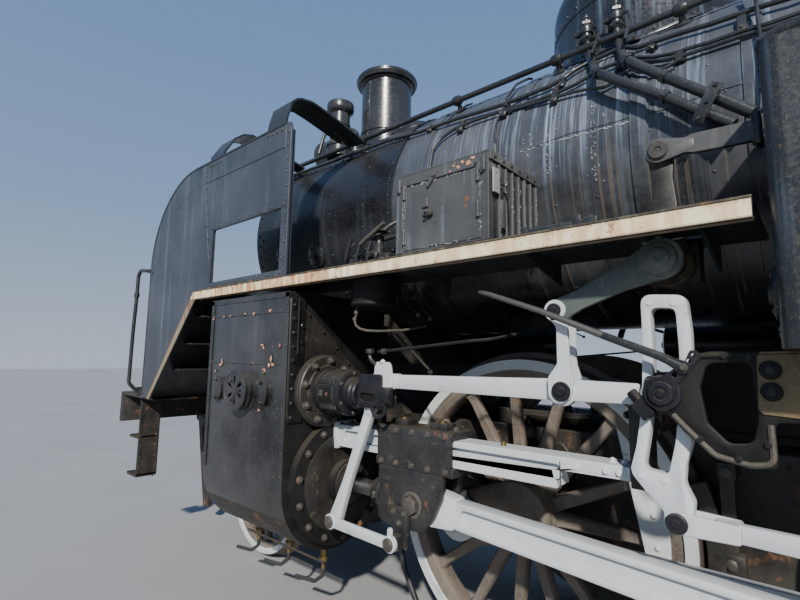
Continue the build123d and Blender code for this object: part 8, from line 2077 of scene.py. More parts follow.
p.box(BX0 - 0.022, BX0 - 0.004, 1.148, 1.182, 2.06, 2.18, "box", 0.004, 2)
# front end: same flange and two vents
p.box(BX1, BX1 + 0.010, 0.832, BY, BZ1 - 0.030, BZ1 + 0.008, "box", 0.002)
for k in range(5):
    p.box(BX1, BX1 + 0.010, 0.90, 1.18, 2.07 + 0.045 * k, 2.084 + 0.045 * k, "box", 0.004)
# angle feet with bolts, and the low bar on the board behind the box
for x in (F(-190), F(245)):
    for y in (0.90, 1.20):
        p.bolt((x + 0.040, y, DECK_Z + 0.001), (0, 0, 1), 0.009, "bolt")
    p.box(x + 0.020, x + 0.060, 0.860, 1.240, DECK_Z, DECK_Z + 0.005, "box", 0.001)
p.box(F(-203), F(60), BY + 0.001, BY + 0.006, 1.978, 2.006, "under", 0.001)
for x0, x1, y0, y1, h in ((2.052, 2.030, 1.268, 1.318, 0.036), (2.032, 1.868, 1.276, 1.312, 0.026), (1.864, 1.836, 1.266, 1.320, 0.044), (1.838, 1.786, 1.276, 1.312, 0.032)):
    p.box(x1, x0, y0, y1, DECK_Z - 0.002, DECK_Z + h, "pipe", 0.004, 2)
    p.box(x1 + 0.004, x0 - 0.004, y0 + 0.004, y1 - 0.004, DECK_Z + h - 0.002, DECK_Z + h + 0.0012, "box", 0.001)
p.bolt((2.000, 1.294, DECK_Z + 0.026), (0, 0, 1), 0.009, "pipe_old")
p.bolt((1.812, 1.294, DECK_Z + 0.032), (0, 0, 1), 0.008, "pipe_old")
p.bolt((F(-420), 1.282, DECK_Z + 0.016), (0, 0, 1), 0.008, "bolt")
# dull lip of the deck plate above the pale edge, both sides
for side in (1, -1):
    p.box(BOARD_REAR, KNEE_X - 0.004, side * 1.330, side * 1.3435, DECK_Z - 0.004, DECK_Z + 0.004, "lichen", 0.0015)
p.done(35)

# ------------------------------------------------------------------ air pump on the right board
rounded("air_compressor", 0.004, 2)
p = Piece("air_pump_trim", "engine", SLOT_OF.get("air_compressor"))
px, py = F(250), -1.060
for z in (2.255, 2.262):
    pass
for r, z in ((0.160, 2.262), (0.160, 2.412), (0.150, 2.655)):
    for k in range(10):
        a = radians(36 * k)
        p.bolt((px + (r - 0.004) * cos(a), py + (r - 0.004) * sin(a), z + 0.012), (0, 0, 1), 0.010, "bolt")
for k in range(9):
    z = 2.035 + 0.024 * k
    p.lathe((px, py, z), (0, 0, 1), [(0.150, -0.006), (0.160, -0.003), (0.160, 0.003), (0.150, 0.006)], "pipe", 36)
for z in (2.46, 2.60):
    p.lathe((px, py, z), (0, 0, 1), [(0.1405, -0.010), (0.145, -0.006), (0.145, 0.006), (0.1405, 0.010)], "pipe", 36)
p.lathe((px, py, 2.668), (0, 0, 1), [(0.150, 0.0), (0.140, 0.010), (0.060, 0.020), (0.055, 0.060), (0.040, 0.066), (0.0, 0.068)], "pipe", 32)
p.tube([(px, py - 0.06, 2.32), (px, py - 0.10, 2.32), (px, py - 0.10, 2.20), (px, py - 0.17, 2.16)], 0.010, "brass", 10, 0.03)
p.tube([(px + 0.10, py + 0.04, 2.70), (px + 0.16, py + 0.10, 2.74), (px + 0.22, py + 0.22, 2.78), (px + 0.22, py + 0.34, 2.84), (px + 0.20, py + 0.42, 2.90)], 0.020, "pipe", 14, 0.06)
p.tube([(px - 0.12, py, 2.14), (px - 0.24, py, 2.14), (px - 0.30, py, 2.08), (px - 0.30, py, DECK_Z - 0.02), (px - 0.30, py + 0.05, 1.85), (px - 0.30, py + 0.20, 1.72)], 0.022, "pipe", 14, 0.05)
p.lathe((px - 0.16, py - 0.05, 2.14), (0, -1, 0), [(0.030, -0.03), (0.036, -0.02), (0.036, 0.03), (0.030, 0.05), (0.0, 0.055)], "brass", 18)
for x0, x1 in ((F(400), F(930)), (F(-1060), F(-370))):
    for x, s in ((x0, -1), (x1, 1)):
        p.lathe((x, -0.860, 1.650), (s, 0, 0), [(0.150, -0.002), (0.146, 0.006), (0.110, 0.022), (0.06, 0.032), (0.0, 0.036)], "pipe", 40)
        p.lathe((x + s * 0.03, -0.860, 1.650), (s, 0, 0), [(0.020, 0.0), (0.020, 0.020), (0.0, 0.020)], "brass", 6)
    for x in (x0 + 0.10, x1 - 0.10):
        p.lathe((x, -0.860, 1.650), (1, 0, 0), [(0.1505, -0.022), (0.156, -0.020), (0.156, 0.020), (0.1505, 0.022)], "under", 40)
        p.box(x - 0.020, x + 0.020, -0.872, -0.848, 1.80, DECK_Z - 0.012, "under", 0.003)
p.done(38)

# ------------------------------------------------------------------ side tanks
rounded("side_tanks", 0.006, 2)
p = Piece("side_tank_trim", "engine", SLOT_OF.get("side_tanks"))
for side in (1, -1):
    Y = SIDE_Y
    # butt straps with twin rivet rows, top and bottom angle rivets
    for x in (F(-2150), F(-3300)):
        p.box(x - 0.045, x + 0.045, side * Y, side * (Y + 0.005), TANK_LO + 0.02, TANK_HI - 0.02, "tank", 0.002)
        for dx in (-0.028, 0.028):
            for k in range(15):
                p.rivet((x + dx, side * (Y + 0.0045), TANK_LO + 0.05 + 0.050 * k), (0, side, 0), 0.009, "tank", 8)
    for z in (TANK_LO + 0.035, TANK_HI - 0.035):
        for k in range(40):
            x = TANK_F - 0.10 - 0.081 * k
            if x > TANK_B + 0.03:
                p.rivet((x, side * (Y - 0.0005), z), (0, side, 0), 0.009, "rusty" if k % 13 == 5 else "tank", 8)
    for z in (1.84, 2.11):
        for k in range(16):
            x = TANK_F - 0.20 - 0.20 * k
            if x > TANK_B + 0.03:
                p.rivet((x, side * (Y - 0.0005), z), (0, side, 0), 0.008, "tank", 8)
    # lower lip and the half-round along the top
    p.tube([(TANK_B + 0.02, side * (Y - 0.004), TANK_HI - 0.004), (TANK_F - 0.045, side * (Y - 0.004), TANK_HI - 0.004), (TANK_F - 0.013, side * (Y - 0.018), TANK_HI - 0.004), (TANK_F - 0.004, side * (Y - 0.050), TANK_HI - 0.004), (TANK_F - 0.004, side * 0.81, TANK_HI - 0.004)],
           0.011, "tank", 10)
    p.box(TANK_B + 0.01, TANK_F - 0.05, side * (Y - 0.05), side * (Y + 0.003), TANK_LO - 0.008, TANK_LO + 0.006, "tank", 0.002)
    # front wall: rivets, wash-out door, sanding pipe holes, gauge cock
    for k in range(13):
        p.rivet((TANK_F - 0.0005, side * (Y - 0.070), TANK_LO + 0.05 + 0.058 * k), (1, 0, 0), 0.009, "tank", 8)
    for k in range(9):
        for z in (TANK_LO + 0.035, TANK_HI - 0.035):
            p.rivet((TANK_F - 0.0005, side * (0.84 + 0.060 * k), z), (1, 0, 0), 0.009, "tank", 8)
    p.lathe((TANK_F, side * 1.22, 1.72), (1, 0, 0), [(0.075, -0.002), (0.075, 0.010), (0.068, 0.014), (0.030, 0.015), (0.028, 0.026), (0.0, 0.027)], "tank", 30)
    for k in range(6):
        a = radians(60 * k)
        p.bolt((TANK_F + 0.012, side * 1.22 + 0.056 * cos(a), 1.72 + 0.056 * sin(a)), (1, 0, 0), 0.008, "bolt", thread=False)
    # inner angle brackets from the tank to the bracket pad
    p.box(F(-1150), F(-1120), side * 1.10, side * 1.19, 1.552, 1.572, "lichen", 0.004)
    # ladder by the filler and handrail on top
    for z in (1.66, 1.92, 2.18):
        p.tube([(F(-3560), side * Y, z), (F(-3560), side * (Y + 0.0195), z), (F(-3920), side * (Y + 0.0195), z), (F(-3920), side * Y, z)], 0.010, "pipe", 8, 0.015)
    p.tube([(F(-1240), side * 1.30, TANK_HI), (F(-1240), side * 1.30, TANK_HI + 0.075), (F(-4380), side * 1.30, TANK_HI + 0.075), (F(-4380), side * 1.30, TANK_HI)], 0.0125, "pipe", 10, 0.04)
    for x in (-1900, -3100, -3800):
        p.tube([(F(x), side * 1.30, TANK_HI), (F(x), side * 1.30, TANK_HI + 0.075)], 0.010, "pipe", 8)
        p.disc((F(x), side * 1.30, TANK_HI), (0, 0, 1), 0.026, 0.007, "pipe", 16)
    # filler neck ring and swing bolts, vent pipe
    p.lathe((F(-2500), side * 1.130, TANK_HI), (0, 0, 1), [(0.225, 0.0), (0.225, 0.010), (0.195, 0.014), (0.191, 0.020)], "tank", 44)
    for k in range(12):
        a = radians(30 * k)
        p.bolt((F(-2500) + 0.210 * cos(a), side * 1.130 + 0.210 * sin(a), TANK_HI + 0.010), (0, 0, 1), 0.009, "bolt", thread=False)
    p.tube([(F(-3000), side * 1.05, TANK_HI), (F(-3000), side * 1.05, TANK_HI + 0.20), (F(-3000), side * 1.12, TANK_HI + 0.25), (F(-3000), side * 1.16, TANK_HI + 0.19)], 0.028, "pipe", 14, 0.05)
    # lifting eyes
    for x in (-1400, -4150):
        p.prism(round_poly([(F(x) - 0.06, TANK_HI), (F(x) + 0.06, TANK_HI), (F(x) + 0.035, TANK_HI + 0.085), (F(x) - 0.035, TANK_HI + 0.085)], 0.02, 4), "y", side * 0.95, side * 0.968, "tank", 0.002, 1, holes=[ring_hole(F(x), TANK_HI + 0.050, 0.018, 14)])
p.done(35)
for tag, side in (("left", 1), ("right", -1)):
    node = "tank_lid_" + tag
    rounded(node, 0.004, 2)
    p = Piece(node + "_trim", BODY_OF[node], SLOT_OF.get(node))
    c = (F(-2500), side * 1.130)
    p.lathe((c[0], c[1], TANK_HI + 0.076), (0, 0, 1), [(0.196, 0.0), (0.190, 0.006), (0.150, 0.010), (0.121, 0.011)], "engine", 40)
    for k in range(4):
        a = radians(45 + 90 * k)
        p.prism([(c[0] + 0.115 * cos(a) - 0.006 * sin(a), c[1] + 0.115 * sin(a) + 0.006 * cos(a)), (c[0] + 0.188 * cos(a) - 0.006 * sin(a), c[1] + 0.188 * sin(a) + 0.006 * cos(a)),
                 (c[0] + 0.188 * cos(a) + 0.006 * sin(a), c[1] + 0.188 * sin(a) - 0.006 * cos(a)), (c[0] + 0.115 * cos(a) + 0.006 * sin(a), c[1] + 0.115 * sin(a) - 0.006 * cos(a))], "z", TANK_HI + 0.078, TANK_HI + 0.092, "engine", 0.002)
    p.tube([(c[0] - 0.05, c[1] + side * 0.10, TANK_HI + 0.088), (c[0] - 0.05, c[1] + side * 0.10, TANK_HI + 0.125), (c[0] + 0.05, c[1] + side * 0.10, TANK_HI + 0.125), (c[0] + 0.05, c[1] + side * 0.10, TANK_HI + 0.088)], 0.009, "pipe", 10, 0.015)
    for dx in (-0.028, 0.028):
        for dy in (0.045, 0.080):
            p.rivet((c[0] + dx, side * (0.89 + dy), TANK_HI + 0.0758), (0, 0, 1), 0.008, "engine", 8)
    p.done(35)


# ------------------------------------------------------------------ cab
rounded("cab_sides", 0.003, 1)
rounded("cab_front", 0.003, 1)
rounded("cab_rear", 0.003, 1)
rounded("cab_roof", 0.003, 1)
rounded("cab_steps", 0.003, 1)
p = Piece("cab_trim", "engine", SLOT_OF.get("cab_sides"))
DRX0, DRX1 = CAB_B + 0.090, CAB_B + 0.690
W0, W1 = CAB_F - 1.130, CAB_F - 0.230
for side in (1, -1):
    Y = SIDE_Y
    # window frame proud of the sheet, sliding sash with two panes, arm rest
    for x0, x1, z0, z1 in ((W0 - 0.045, W1 + 0.045, 2.98, 3.015), (W0 - 0.045, W1 + 0.045, 2.370, 2.40), (W0 - 0.045, W0, 2.40, 2.98), (W1, W1 + 0.045, 2.40, 2.98)):
        p.box(x0, x1, side * Y, side * (Y + 0.010), z0, z1, "tank", 0.003, 2)
    mid = (W0 + W1) / 2
    for a, b, y in ((W0 + 0.005, mid + 0.03, 1.383), (mid - 0.03, W1 - 0.005, 1.393)):
        for x0, x1, z0, z1 in ((a, b, 2.935, 2.975), (a, b, 2.405, 2.445), (a, a + 0.038, 2.445, 2.935), (b - 0.038, b, 2.445, 2.935)):
            p.box(x0, x1, side * (y - 0.006), side * (y + 0.006), z0, z1, "wood", 0.003)
        p.box(a + 0.036, b - 0.036, side * (y - 0.002), side * (y + 0.002), 2.443, 2.937, "glass", 0.0)
    p.box(W0 + 0.05, W1 - 0.05, side * (Y - 0.075), side * (Y + 0.019), 2.386, 2.402, "wood", 0.006, 2)
    # rain gutter over window and doorway
    p.tube([(CAB_B + 0.02, side * (Y + 0.006), 3.085), (CAB_F - 0.02, side * (Y + 0.006), 3.085)], 0.009, "tank", 8)
    # rivet rows
    for k in range(26):
        x = CAB_B + 0.04 + 0.0775 * k
        if not (DRX0 - 0.02 < x < DRX1 + 0.02):
            p.rivet((x, side * (Y - 0.0005), 1.475), (0, side, 0), 0.0085, "tank", 8)
        p.rivet((x, side * (Y - 0.0005), 3.055), (0, side, 0), 0.0085, "tank", 8)
    for k in range(17):
        z = 1.53 + 0.090 * k
        for x in (CAB_F - 0.035, CAB_B + 0.035, DRX1 + 0.055):
            p.rivet((x, side * (Y - 0.0005), z), (0, side, 0), 0.0085, "tank", 8)
    for k in range(13):
        p.rivet((DRX1 + 0.12 + 0.093 * k, side * (Y - 0.0005), 2.26), (0, side, 0), 0.0085, "tank", 8)
    # frame strip round the doorway, grab rails both sides of it
    for x0, x1, z0, z1 in ((DRX0 - 0.030, DRX0, 1.50, 3.05), (DRX1, DRX1 + 0.030, 1.50, 3.05), (DRX0, DRX1, 3.02, 3.05)):
        p.box(x0, x1, side * Y, side * (Y + 0.006), z0, z1, "tank", 0.002)
    for x in (DRX0 - 0.055, DRX1 + 0.085):
        p.tube([(x, side * Y, 1.62), (x, side * (Y + 0.040), 1.62), (x, side * (Y + 0.040), 2.78), (x, side * Y, 2.78)], 0.0135, "steel", 12, 0.03)
        for z in (1.62, 2.78):
            p.disc((x, side * Y, z), (0, side, 0), 0.027, 0.008, "tank", 16)
    # blank plate
    p.box(W0 + 0.22, W1 - 0.22, side * Y, side * (Y + 0.006), 1.96, 2.12, "brass", 0.003, 2)
    for x in (W0 + 0.24, W1 - 0.24):
        for z in (1.975, 2.105):
            p.rivet((x, side * (Y + 0.0055), z), (0, side, 0), 0.005, "bolt", 6)
    # spectacle windows front and rear
    for y0, y1, z0, z1, xf, s in ((0.86, 1.28, 2.48, 3.00, CAB_F, 1), (0.62, 1.15, 2.80, 3.06, CAB_B, -1)):
        for a, b, c, d in ((y0 - 0.03, y1 + 0.03, z1, z1 + 0.03), (y0 - 0.03, y1 + 0.03, z0 - 0.03, z0), (y0 - 0.03, y0, z0, z1), (y1, y1 + 0.03, z0, z1)):
            p.box(xf - (0.0 if s > 0 else 0.008), xf + (0.008 if s > 0 else 0.0), side * a, side * b, c, d, "brass" if s > 0 else "engine", 0.002)
        xg = xf - s * 0.016
        p.box(xg - 0.002, xg + 0.002, side * (y0 + 0.001), side * (y1 - 0.001), z0 + 0.001, z1 - 0.001, "glass", 0.0)
        p.box(xg - 0.006, xg + 0.006, side * ((y0 + y1) / 2 - 0.010), side * ((y0 + y1) / 2 + 0.010), z0, z1, "wood", 0.002)
        if s < 0:
            for k in range(5):
                y = y0 + 0.045 + 0.11 * k
                p.tube([(xf - 0.010, side * y, z0 - 0.01), (xf - 0.010, side * y, z1 + 0.01)], 0.006, "pipe", 8)
    # rear window guard rail and cab rear rivets
    for k in range(14):
        p.rivet((CAB_B + 0.0005, side * (0.06 + 0.095 * k), 2.70), (-1, 0, 0), 0.008, "engine", 8)
# roof: seams, rain strip, ventilator flaps, lifting eyes
for x in (CAB_B - 0.08, CAB_B + 0.50, CAB_B + 1.52, CAB_F + 0.08):
    verts, faces = [], []
    for k in range(33):
        y = -1.405 + 2.81 * k / 32
        z = roof_z(y)
        for dx, dz in ((-0.022, -0.002), (-0.020, 0.006), (0.020, 0.006), (0.022, -0.002)):
            verts.append((x + dx, y, z + dz))
    for k in range(32):
        for j in range(3):
            faces.append((4 * k + j, 4 * k + j + 1, 4 * k + 5 + j, 4 * k + 4 + j))
    p.add(verts, faces, "roof")
    for k in range(31):
        y = -1.38 + 0.092 * k
        p.rivet((x, y, roof_z(y) + 0.0055), (0, y / ROOF_R, 1), 0.007, "roof", 6)
for side in (1, -1):
    p.box(CAB_B + 0.68, CAB_B + 1.36, side * 0.421, side * 0.430, roof_z(0.42) + 0.005, roof_z(0) + 0.050, "engine", 0.003)
    for k in range(6):
        p.box(CAB_B + 0.70 + 0.11 * k, CAB_B + 0.76 + 0.11 * k, side * 0.428, side * 0.436, roof_z(0.42) + 0.02, roof_z(0) + 0.035, "under", 0.003)
    p.tube([(CAB_B + 0.35, side * 0.9, roof_z(0.9) - 0.01), (CAB_B + 0.35, side * 0.9, roof_z(0.9) + 0.05), (CAB_B + 0.45, side * 0.9, roof_z(0.9) + 0.05), (CAB_B + 0.45, side * 0.9, roof_z(0.9) - 0.01)], 0.010, "roof", 8, 0.03)
    p.tube([(CAB_B - 0.11, side * 1.400, roof_z(1.40) + 0.006), (CAB_F + 0.11, side * 1.400, roof_z(1.40) + 0.006)], 0.009, "roof", 8)
p.lathe((CAB_B + 1.75, -0.35, roof_z(0.35) - 0.02), (0, 0, 1), [(0.060, 0.0), (0.060, 0.10), (0.095, 0.105), (0.100, 0.12), (0.070, 0.145), (0.0, 0.160)], "roof", 28)
p.done(35)

# ---- inside the cab
p = Piece("cab_interior", "engine", SLOT_OF.get("backhead"))
XB = D1 - 4.542
for y, z, r in ((-0.16, 2.66, 0.085), (0.14, 2.70, 0.075), (-0.40, 2.60, 0.060), (0.38, 2.60, 0.060)):
    p.lathe((XB - 0.006, y, z), (-1, 0, 0), [(r, 0.0), (r, 0.05), (r * 1.08, 0.052), (r * 1.08, 0.066), (r * 0.92, 0.070)], "brass", 32)
    p.disc((XB - 0.066, y, z), (-1, 0, 0), r * 0.92, 0.003, "dial", 32, 0.0005)
    p.box(XB - 0.0705, XB - 0.069, y - 0.002, y + 0.002, z - 0.012, z + r * 0.7, "under", 0.0)
    for k in range(9):
        a = radians(-40 + 32.5 * k)
        p.box(-0.0012, 0.0012, -0.0008, 0.0012, r * 0.72, r * 0.84, "under", 0.0, 1, Matrix.Translation((XB - 0.0695, y, z)) @ Matrix.Rotation(a, 4, "X"))
    p.tube([(XB - 0.02, y, z - r), (XB - 0.02, y, z - r - 0.06), (XB - 0.02, y * 0.6, 2.53)], 0.006, "brass", 8, 0.03)
# fire door, two leaves with handles, ring bolts
for s in (1, -1):
    p.prism(round_poly([(s * 0.004, 1.74), (s * 0.19, 1.78), (s * 0.19, 2.02), (s * 0.004, 2.06)], 0.05, 5) if s > 0 else round_poly([(s * 0.004, 1.74), (s * 0.004, 2.06), (s * 0.19, 2.02), (s * 0.19, 1.78)], 0.05, 5), "x", XB - 0.058, XB - 0.040, "under", 0.004)
    p.tube([(XB - 0.058, s * 0.05, 1.86), (XB - 0.085, s * 0.05, 1.86), (XB - 0.085, s * 0.05, 1.95), (XB - 0.058, s * 0.05, 1.95)], 0.008, "steel", 8, 0.01)
for k in range(12):
    a = radians(30 * k)
    p.bolt((XB - 0.034, 0.192 * cos(a), 1.90 + 0.192 * sin(a)), (-1, 0, 0), 0.010, "bolt", thread=False)
# regulator, water gauges, injector valves and wheels
p.tube([(XB - 0.10, 0.0, 2.72), (XB - 0.13, 0.18, 2.60), (XB - 0.14, 0.42, 2.46)], 0.013, "steel", 12, 0.08)
p.tube([(XB - 0.14, 0.40, 2.475), (XB - 0.14, 0.50, 2.415)], 0.019, "steel", 12)
p.lathe((XB, 0, 2.72), (-1, 0, 0), [(0.07, 0.0), (0.07, 0.03), (0.05, 0.035), (0.03, 0.04), (0.03, 0.12), (0.0, 0.125)], "brass", 24)
for y in (0.24, -0.28):
    p.tube([(XB - 0.05, y, 2.08), (XB - 0.05, y, 2.42)], 0.012, "glass", 12)
    for z in (2.06, 2.43):
        p.lathe((XB, y, z), (-1, 0, 0), [(0.030, 0.0), (0.030, 0.018), (0.018, 0.022), (0.018, 0.075), (0.010, 0.08), (0.0, 0.08)], "brass", 18)
        p.tube([(XB - 0.05, y, z), (XB - 0.05, y + 0.06, z)], 0.007, "brass", 8)
    p.box(XB - 0.066, XB - 0.062, y - 0.026, y + 0.026, 2.08, 2.41, "glass", 0.001)
for y, z in ((0.46, 2.22), (-0.48, 2.22), (0.50, 2.40), (-0.50, 2.40), (0.10, 2.30), (-0.10, 2.30)):
    p.tube([(XB, y, z), (XB - 0.13, y, z)], 0.012, "brass", 12)
    pts = [(XB - 0.125, y + 0.052 * cos(radians(a)), z + 0.052 * sin(radians(a))) for a in range(0, 360, 18)]
    p.tube(pts, 0.007, "red", 8, closed=True)
    for a in (0, 120, 240):
        p.tube([(XB - 0.125, y, z), (XB - 0.125, y + 0.050 * cos(radians(a)), z + 0.050 * sin(radians(a)))], 0.005, "red", 6)
    p.lathe((XB, y, z), (-1, 0, 0), [(0.032, 0.0), (0.032, 0.03), (0.020, 0.04), (0.016, 0.07)], "brass", 18)
for y, z0, z1 in ((0.30, 2.54, 3.05), (-0.30, 2.54, 3.00), (0.10, 2.54, 2.90), (-0.58, 1.60, 2.60), (0.58, 1.60, 2.60), (0.66, 1.55, 2.35), (-0.66, 1.55, 2.35)):
    p.tube([(XB - 0.03, y, z0), (XB - 0.03, y, z1), (XB - 0.03, y + (0.12 if y > 0 else -0.12), z1 + 0.06)], 0.012, "brass" if abs(y) < 0.5 else "pipe", 10, 0.04)
# brake stand and reverser on the left, seats both sides, floor boards, tool shelf
p.box(XB - 0.36, XB - 0.26, 0.74, 0.84, 1.50, 2.20, "cabin", 0.01, 2)
p.lathe((XB - 0.31, 0.79, 2.20), (0, 0, 1), [(0.065, 0.0), (0.070, 0.03), (0.060, 0.06), (0.030, 0.07), (0.026, 0.10), (0.0, 0.10)], "brass", 26)
p.tube([(XB - 0.31, 0.79, 2.29), (XB - 0.42, 0.70, 2.30)], 0.010, "brass", 10)
p.lathe((XB - 0.421, 0.70, 2.30), (-0.77, -0.63, 0), [(0.012, 0), (0.018, 0.02), (0.016, 0.06), (0.0, 0.07)], "wood", 14)
p.box(XB - 0.70, XB - 0.25, 1.00, 1.10, 1.98, 2.08, "cabin", 0.01, 2)
pts = [(XB - 0.74, 1.05 + 0.13 * cos(radians(a)), 2.06 + 0.13 * sin(radians(a))) for a in range(0, 360, 12)]
p.tube(pts, 0.010, "steel", 8, closed=True)
for a in range(0, 360, 72):
    p.tube([(XB - 0.74, 1.05, 2.06), (XB - 0.74, 1.05 + 0.128 * cos(radians(a)), 2.06 + 0.128 * sin(radians(a)))], 0.007, "steel", 8)
p.tube([(XB - 0.745, 1.05, 2.19), (XB - 0.81, 1.05, 2.19)], 0.013, "wood", 10)
p.tube([(XB - 0.25, 1.05, 2.03), (CAB_F - 0.02, 1.02, 2.20)], 0.018, "steel", 12)
for side in (1, -1):
    sx = CAB_F - 0.98
    p.box(sx - 0.20, sx + 0.20, side * 0.96, side * 1.34, 2.02, 2.10, "seat", 0.03, 3)
    p.box(sx - 0.21, sx + 0.21, side * 0.95, side * 1.35, 1.99, 2.02, "wood", 0.004)
    p.box(sx - 0.26, sx - 0.20, side * 0.98, side * 1.32, 2.12, 2.50, "seat", 0.025, 3)
    p.box(sx - 0.18, sx + 0.18, side * 0.98, side * 1.33, 1.50, 1.99, "cabin", 0.008)
    p.box(sx - 0.06, sx + 0.10, side * 0.975, side * 0.981, 1.62, 1.90, "cabin", 0.004)
for k in range(12):
    y0 = -1.32 + 0.221 * k
    p.box(CAB_B + 0.035, XB - 0.08, y0, y0 + 0.212, 1.4995, 1.508, "wood", 0.002)
p.box(XB - 0.30, XB - 0.05, -0.95, -0.60, 1.55, 1.57, "under", 0.003)
# ceiling boards and lamp
p.lathe((CAB_B + 0.95, 0.0, roof_z(0) - 0.032), (0, 0, -1), [(0.07, 0.0), (0.07, 0.02), (0.05, 0.03), (0.05, 0.06), (0.0, 0.075)], "lens", 24)
p.box(XB - 0.055, XB - 0.01, -0.66, 0.66, 1.502, 1.53, "under", 0.004)
p.done(35)

# ---- doors
for tag, side in (("left", 1), ("right", -1)):
    node = "cab_door_" + tag
    rounded(node, 0.003, 1)
    p = Piece(node + "_trim", BODY_OF[node], SLOT_OF.get(node))
    Y = SIDE_Y - 0.003
    for x0, x1, z0, z1 in ((DRX0 + 0.020, DRX1 - 0.040, 1.530, 1.575), (DRX0 + 0.020, DRX1 - 0.040, 2.275, 2.318), (DRX0 + 0.020, DRX0 + 0.065, 1.575, 2.275), (DRX1 - 0.085, DRX1 - 0.040, 1.575, 2.275), (DRX0 + 0.065, DRX1 - 0.085, 1.900, 1.945)):
        p.box(x0, x1, side * Y, side * (Y + 0.0025), z0, z1, "tank", 0.001)
    for z in (1.66, 2.18):
        p.box(DRX1 - 0.20, DRX1 - 0.030, side * (Y + 0.001), side * (Y + 0.006), z - 0.022, z + 0.022, "tank", 0.002)
        for k in range(3):
            p.rivet((DRX1 - 0.185 + 0.055 * k, side * (Y + 0.0055), z), (0, side, 0), 0.006, "bolt", 8)
    for k in range(8):
        for x in (DRX0 + 0.042, DRX1 - 0.062):
            p.rivet((x, side * (Y + 0.0022), 1.60 + 0.092 * k), (0, side, 0), 0.005, "tank", 6)
    p.box(DRX0 + 0.045, DRX0 + 0.135, side * (Y - 0.036), side * (Y - 0.026), 2.19, 2.29, "brass", 0.003)
    p.tube([(DRX0 + 0.09, side * (Y - 0.030), 2.24), (DRX0 + 0.09, side * (Y - 0.062), 2.24), (DRX0 + 0.16, side * (Y - 0.066), 2.235)], 0.008, "brass", 10, 0.012)
    p.done(35)

# ------------------------------------------------------------------ bunker
rounded("coal_bunker", 0.004, 1)
p = Piece("bunker_trim", "engine", SLOT_OF.get("coal_bunker"))
for side in (1, -1):
    Y = SIDE_Y
    for z in (1.48, 2.26, 1.87):
        for k in range(22):
            x = BUNK_B + 0.04 + 0.0785 * k
            p.rivet((x, side * (Y - 0.0005), z), (0, side, 0), 0.0085, "tank", 8)
    for x in (BUNK_B + 0.04, BUNK_B + 0.86, CAB_B - 0.045):
        for k in range(10):
            p.rivet((x, side * (Y - 0.0005), 1.53 + 0.078 * k), (0, side, 0), 0.0085, "tank", 8)
    p.box(BUNK_B + 0.81, BUNK_B + 0.84, side * Y, side * (Y + 0.004), 1.46, 2.28, "tank", 0.001)
    # beading along the coal plates
    p.tube([(BUNK_B + 0.01, side * 1.250, 2.762), (CAB_B - 0.02, side * 1.250, 2.762)], 0.014, "tank", 10)
    # rear steps up the bunker and a rail at the corner
    for k in range(4):
        z = 1.55 + 0.28 * k
        p.tube([(BUNK_B, side * 0.98, z), (BUNK_B - 0.10, side * 0.98, z), (BUNK_B - 0.10, side * 1.28, z), (BUNK_B, side * 1.28, z)], 0.011, "pipe", 10, 0.02)
    p.tube([(BUNK_B + 0.09, side * Y, 1.55), (BUNK_B + 0.09, side * (Y + 0.040), 1.55), (BUNK_B + 0.09, side * (Y + 0.040), 2.20), (BUNK_B + 0.09, side * Y, 2.20)], 0.0125, "pipe", 12, 0.03)
    # tail lamp at the corner
    p.box(BUNK_B - 0.020, BUNK_B, side * 1.06, side * 1.16, 2.40 - 0.04, 2.40 + 0.04, "engine", 0.004)
    p.lathe((BUNK_B - 0.018, side * 1.11, 2.40), (-1, 0, 0), [(0.062, 0.0), (0.062, 0.07), (0.068, 0.072), (0.068, 0.095), (0.056, 0.098)], "engine", 28)
    p.lathe((BUNK_B - 0.112, side * 1.11, 2.40), (-1, 0, 0), [(0.056, 0.0), (0.048, 0.012), (0.024, 0.020), (0.0, 0.022)], "red", 24)
for z in (1.48, 2.26, 2.72):
    w = 1.36 if z < 2.5 else 1.22
    for k in range(30):
        y = -w + 2 * w * k / 29
        p.rivet((BUNK_B + 0.0005, y, z), (-1, 0, 0), 0.0085, "tank", 8)
for y in (-0.70, 0.70):
    for k in range(10):
        p.rivet((BUNK_B + 0.0005, y, 1.53 + 0.078 * k), (-1, 0, 0), 0.0085, "tank", 8)
p.tube([(BUNK_B, -0.55, 2.05), (BUNK_B - 0.045, -0.55, 2.05), (BUNK_B - 0.045, 0.55, 2.05), (BUNK_B, 0.55, 2.05)], 0.013, "pipe", 12, 0.03)
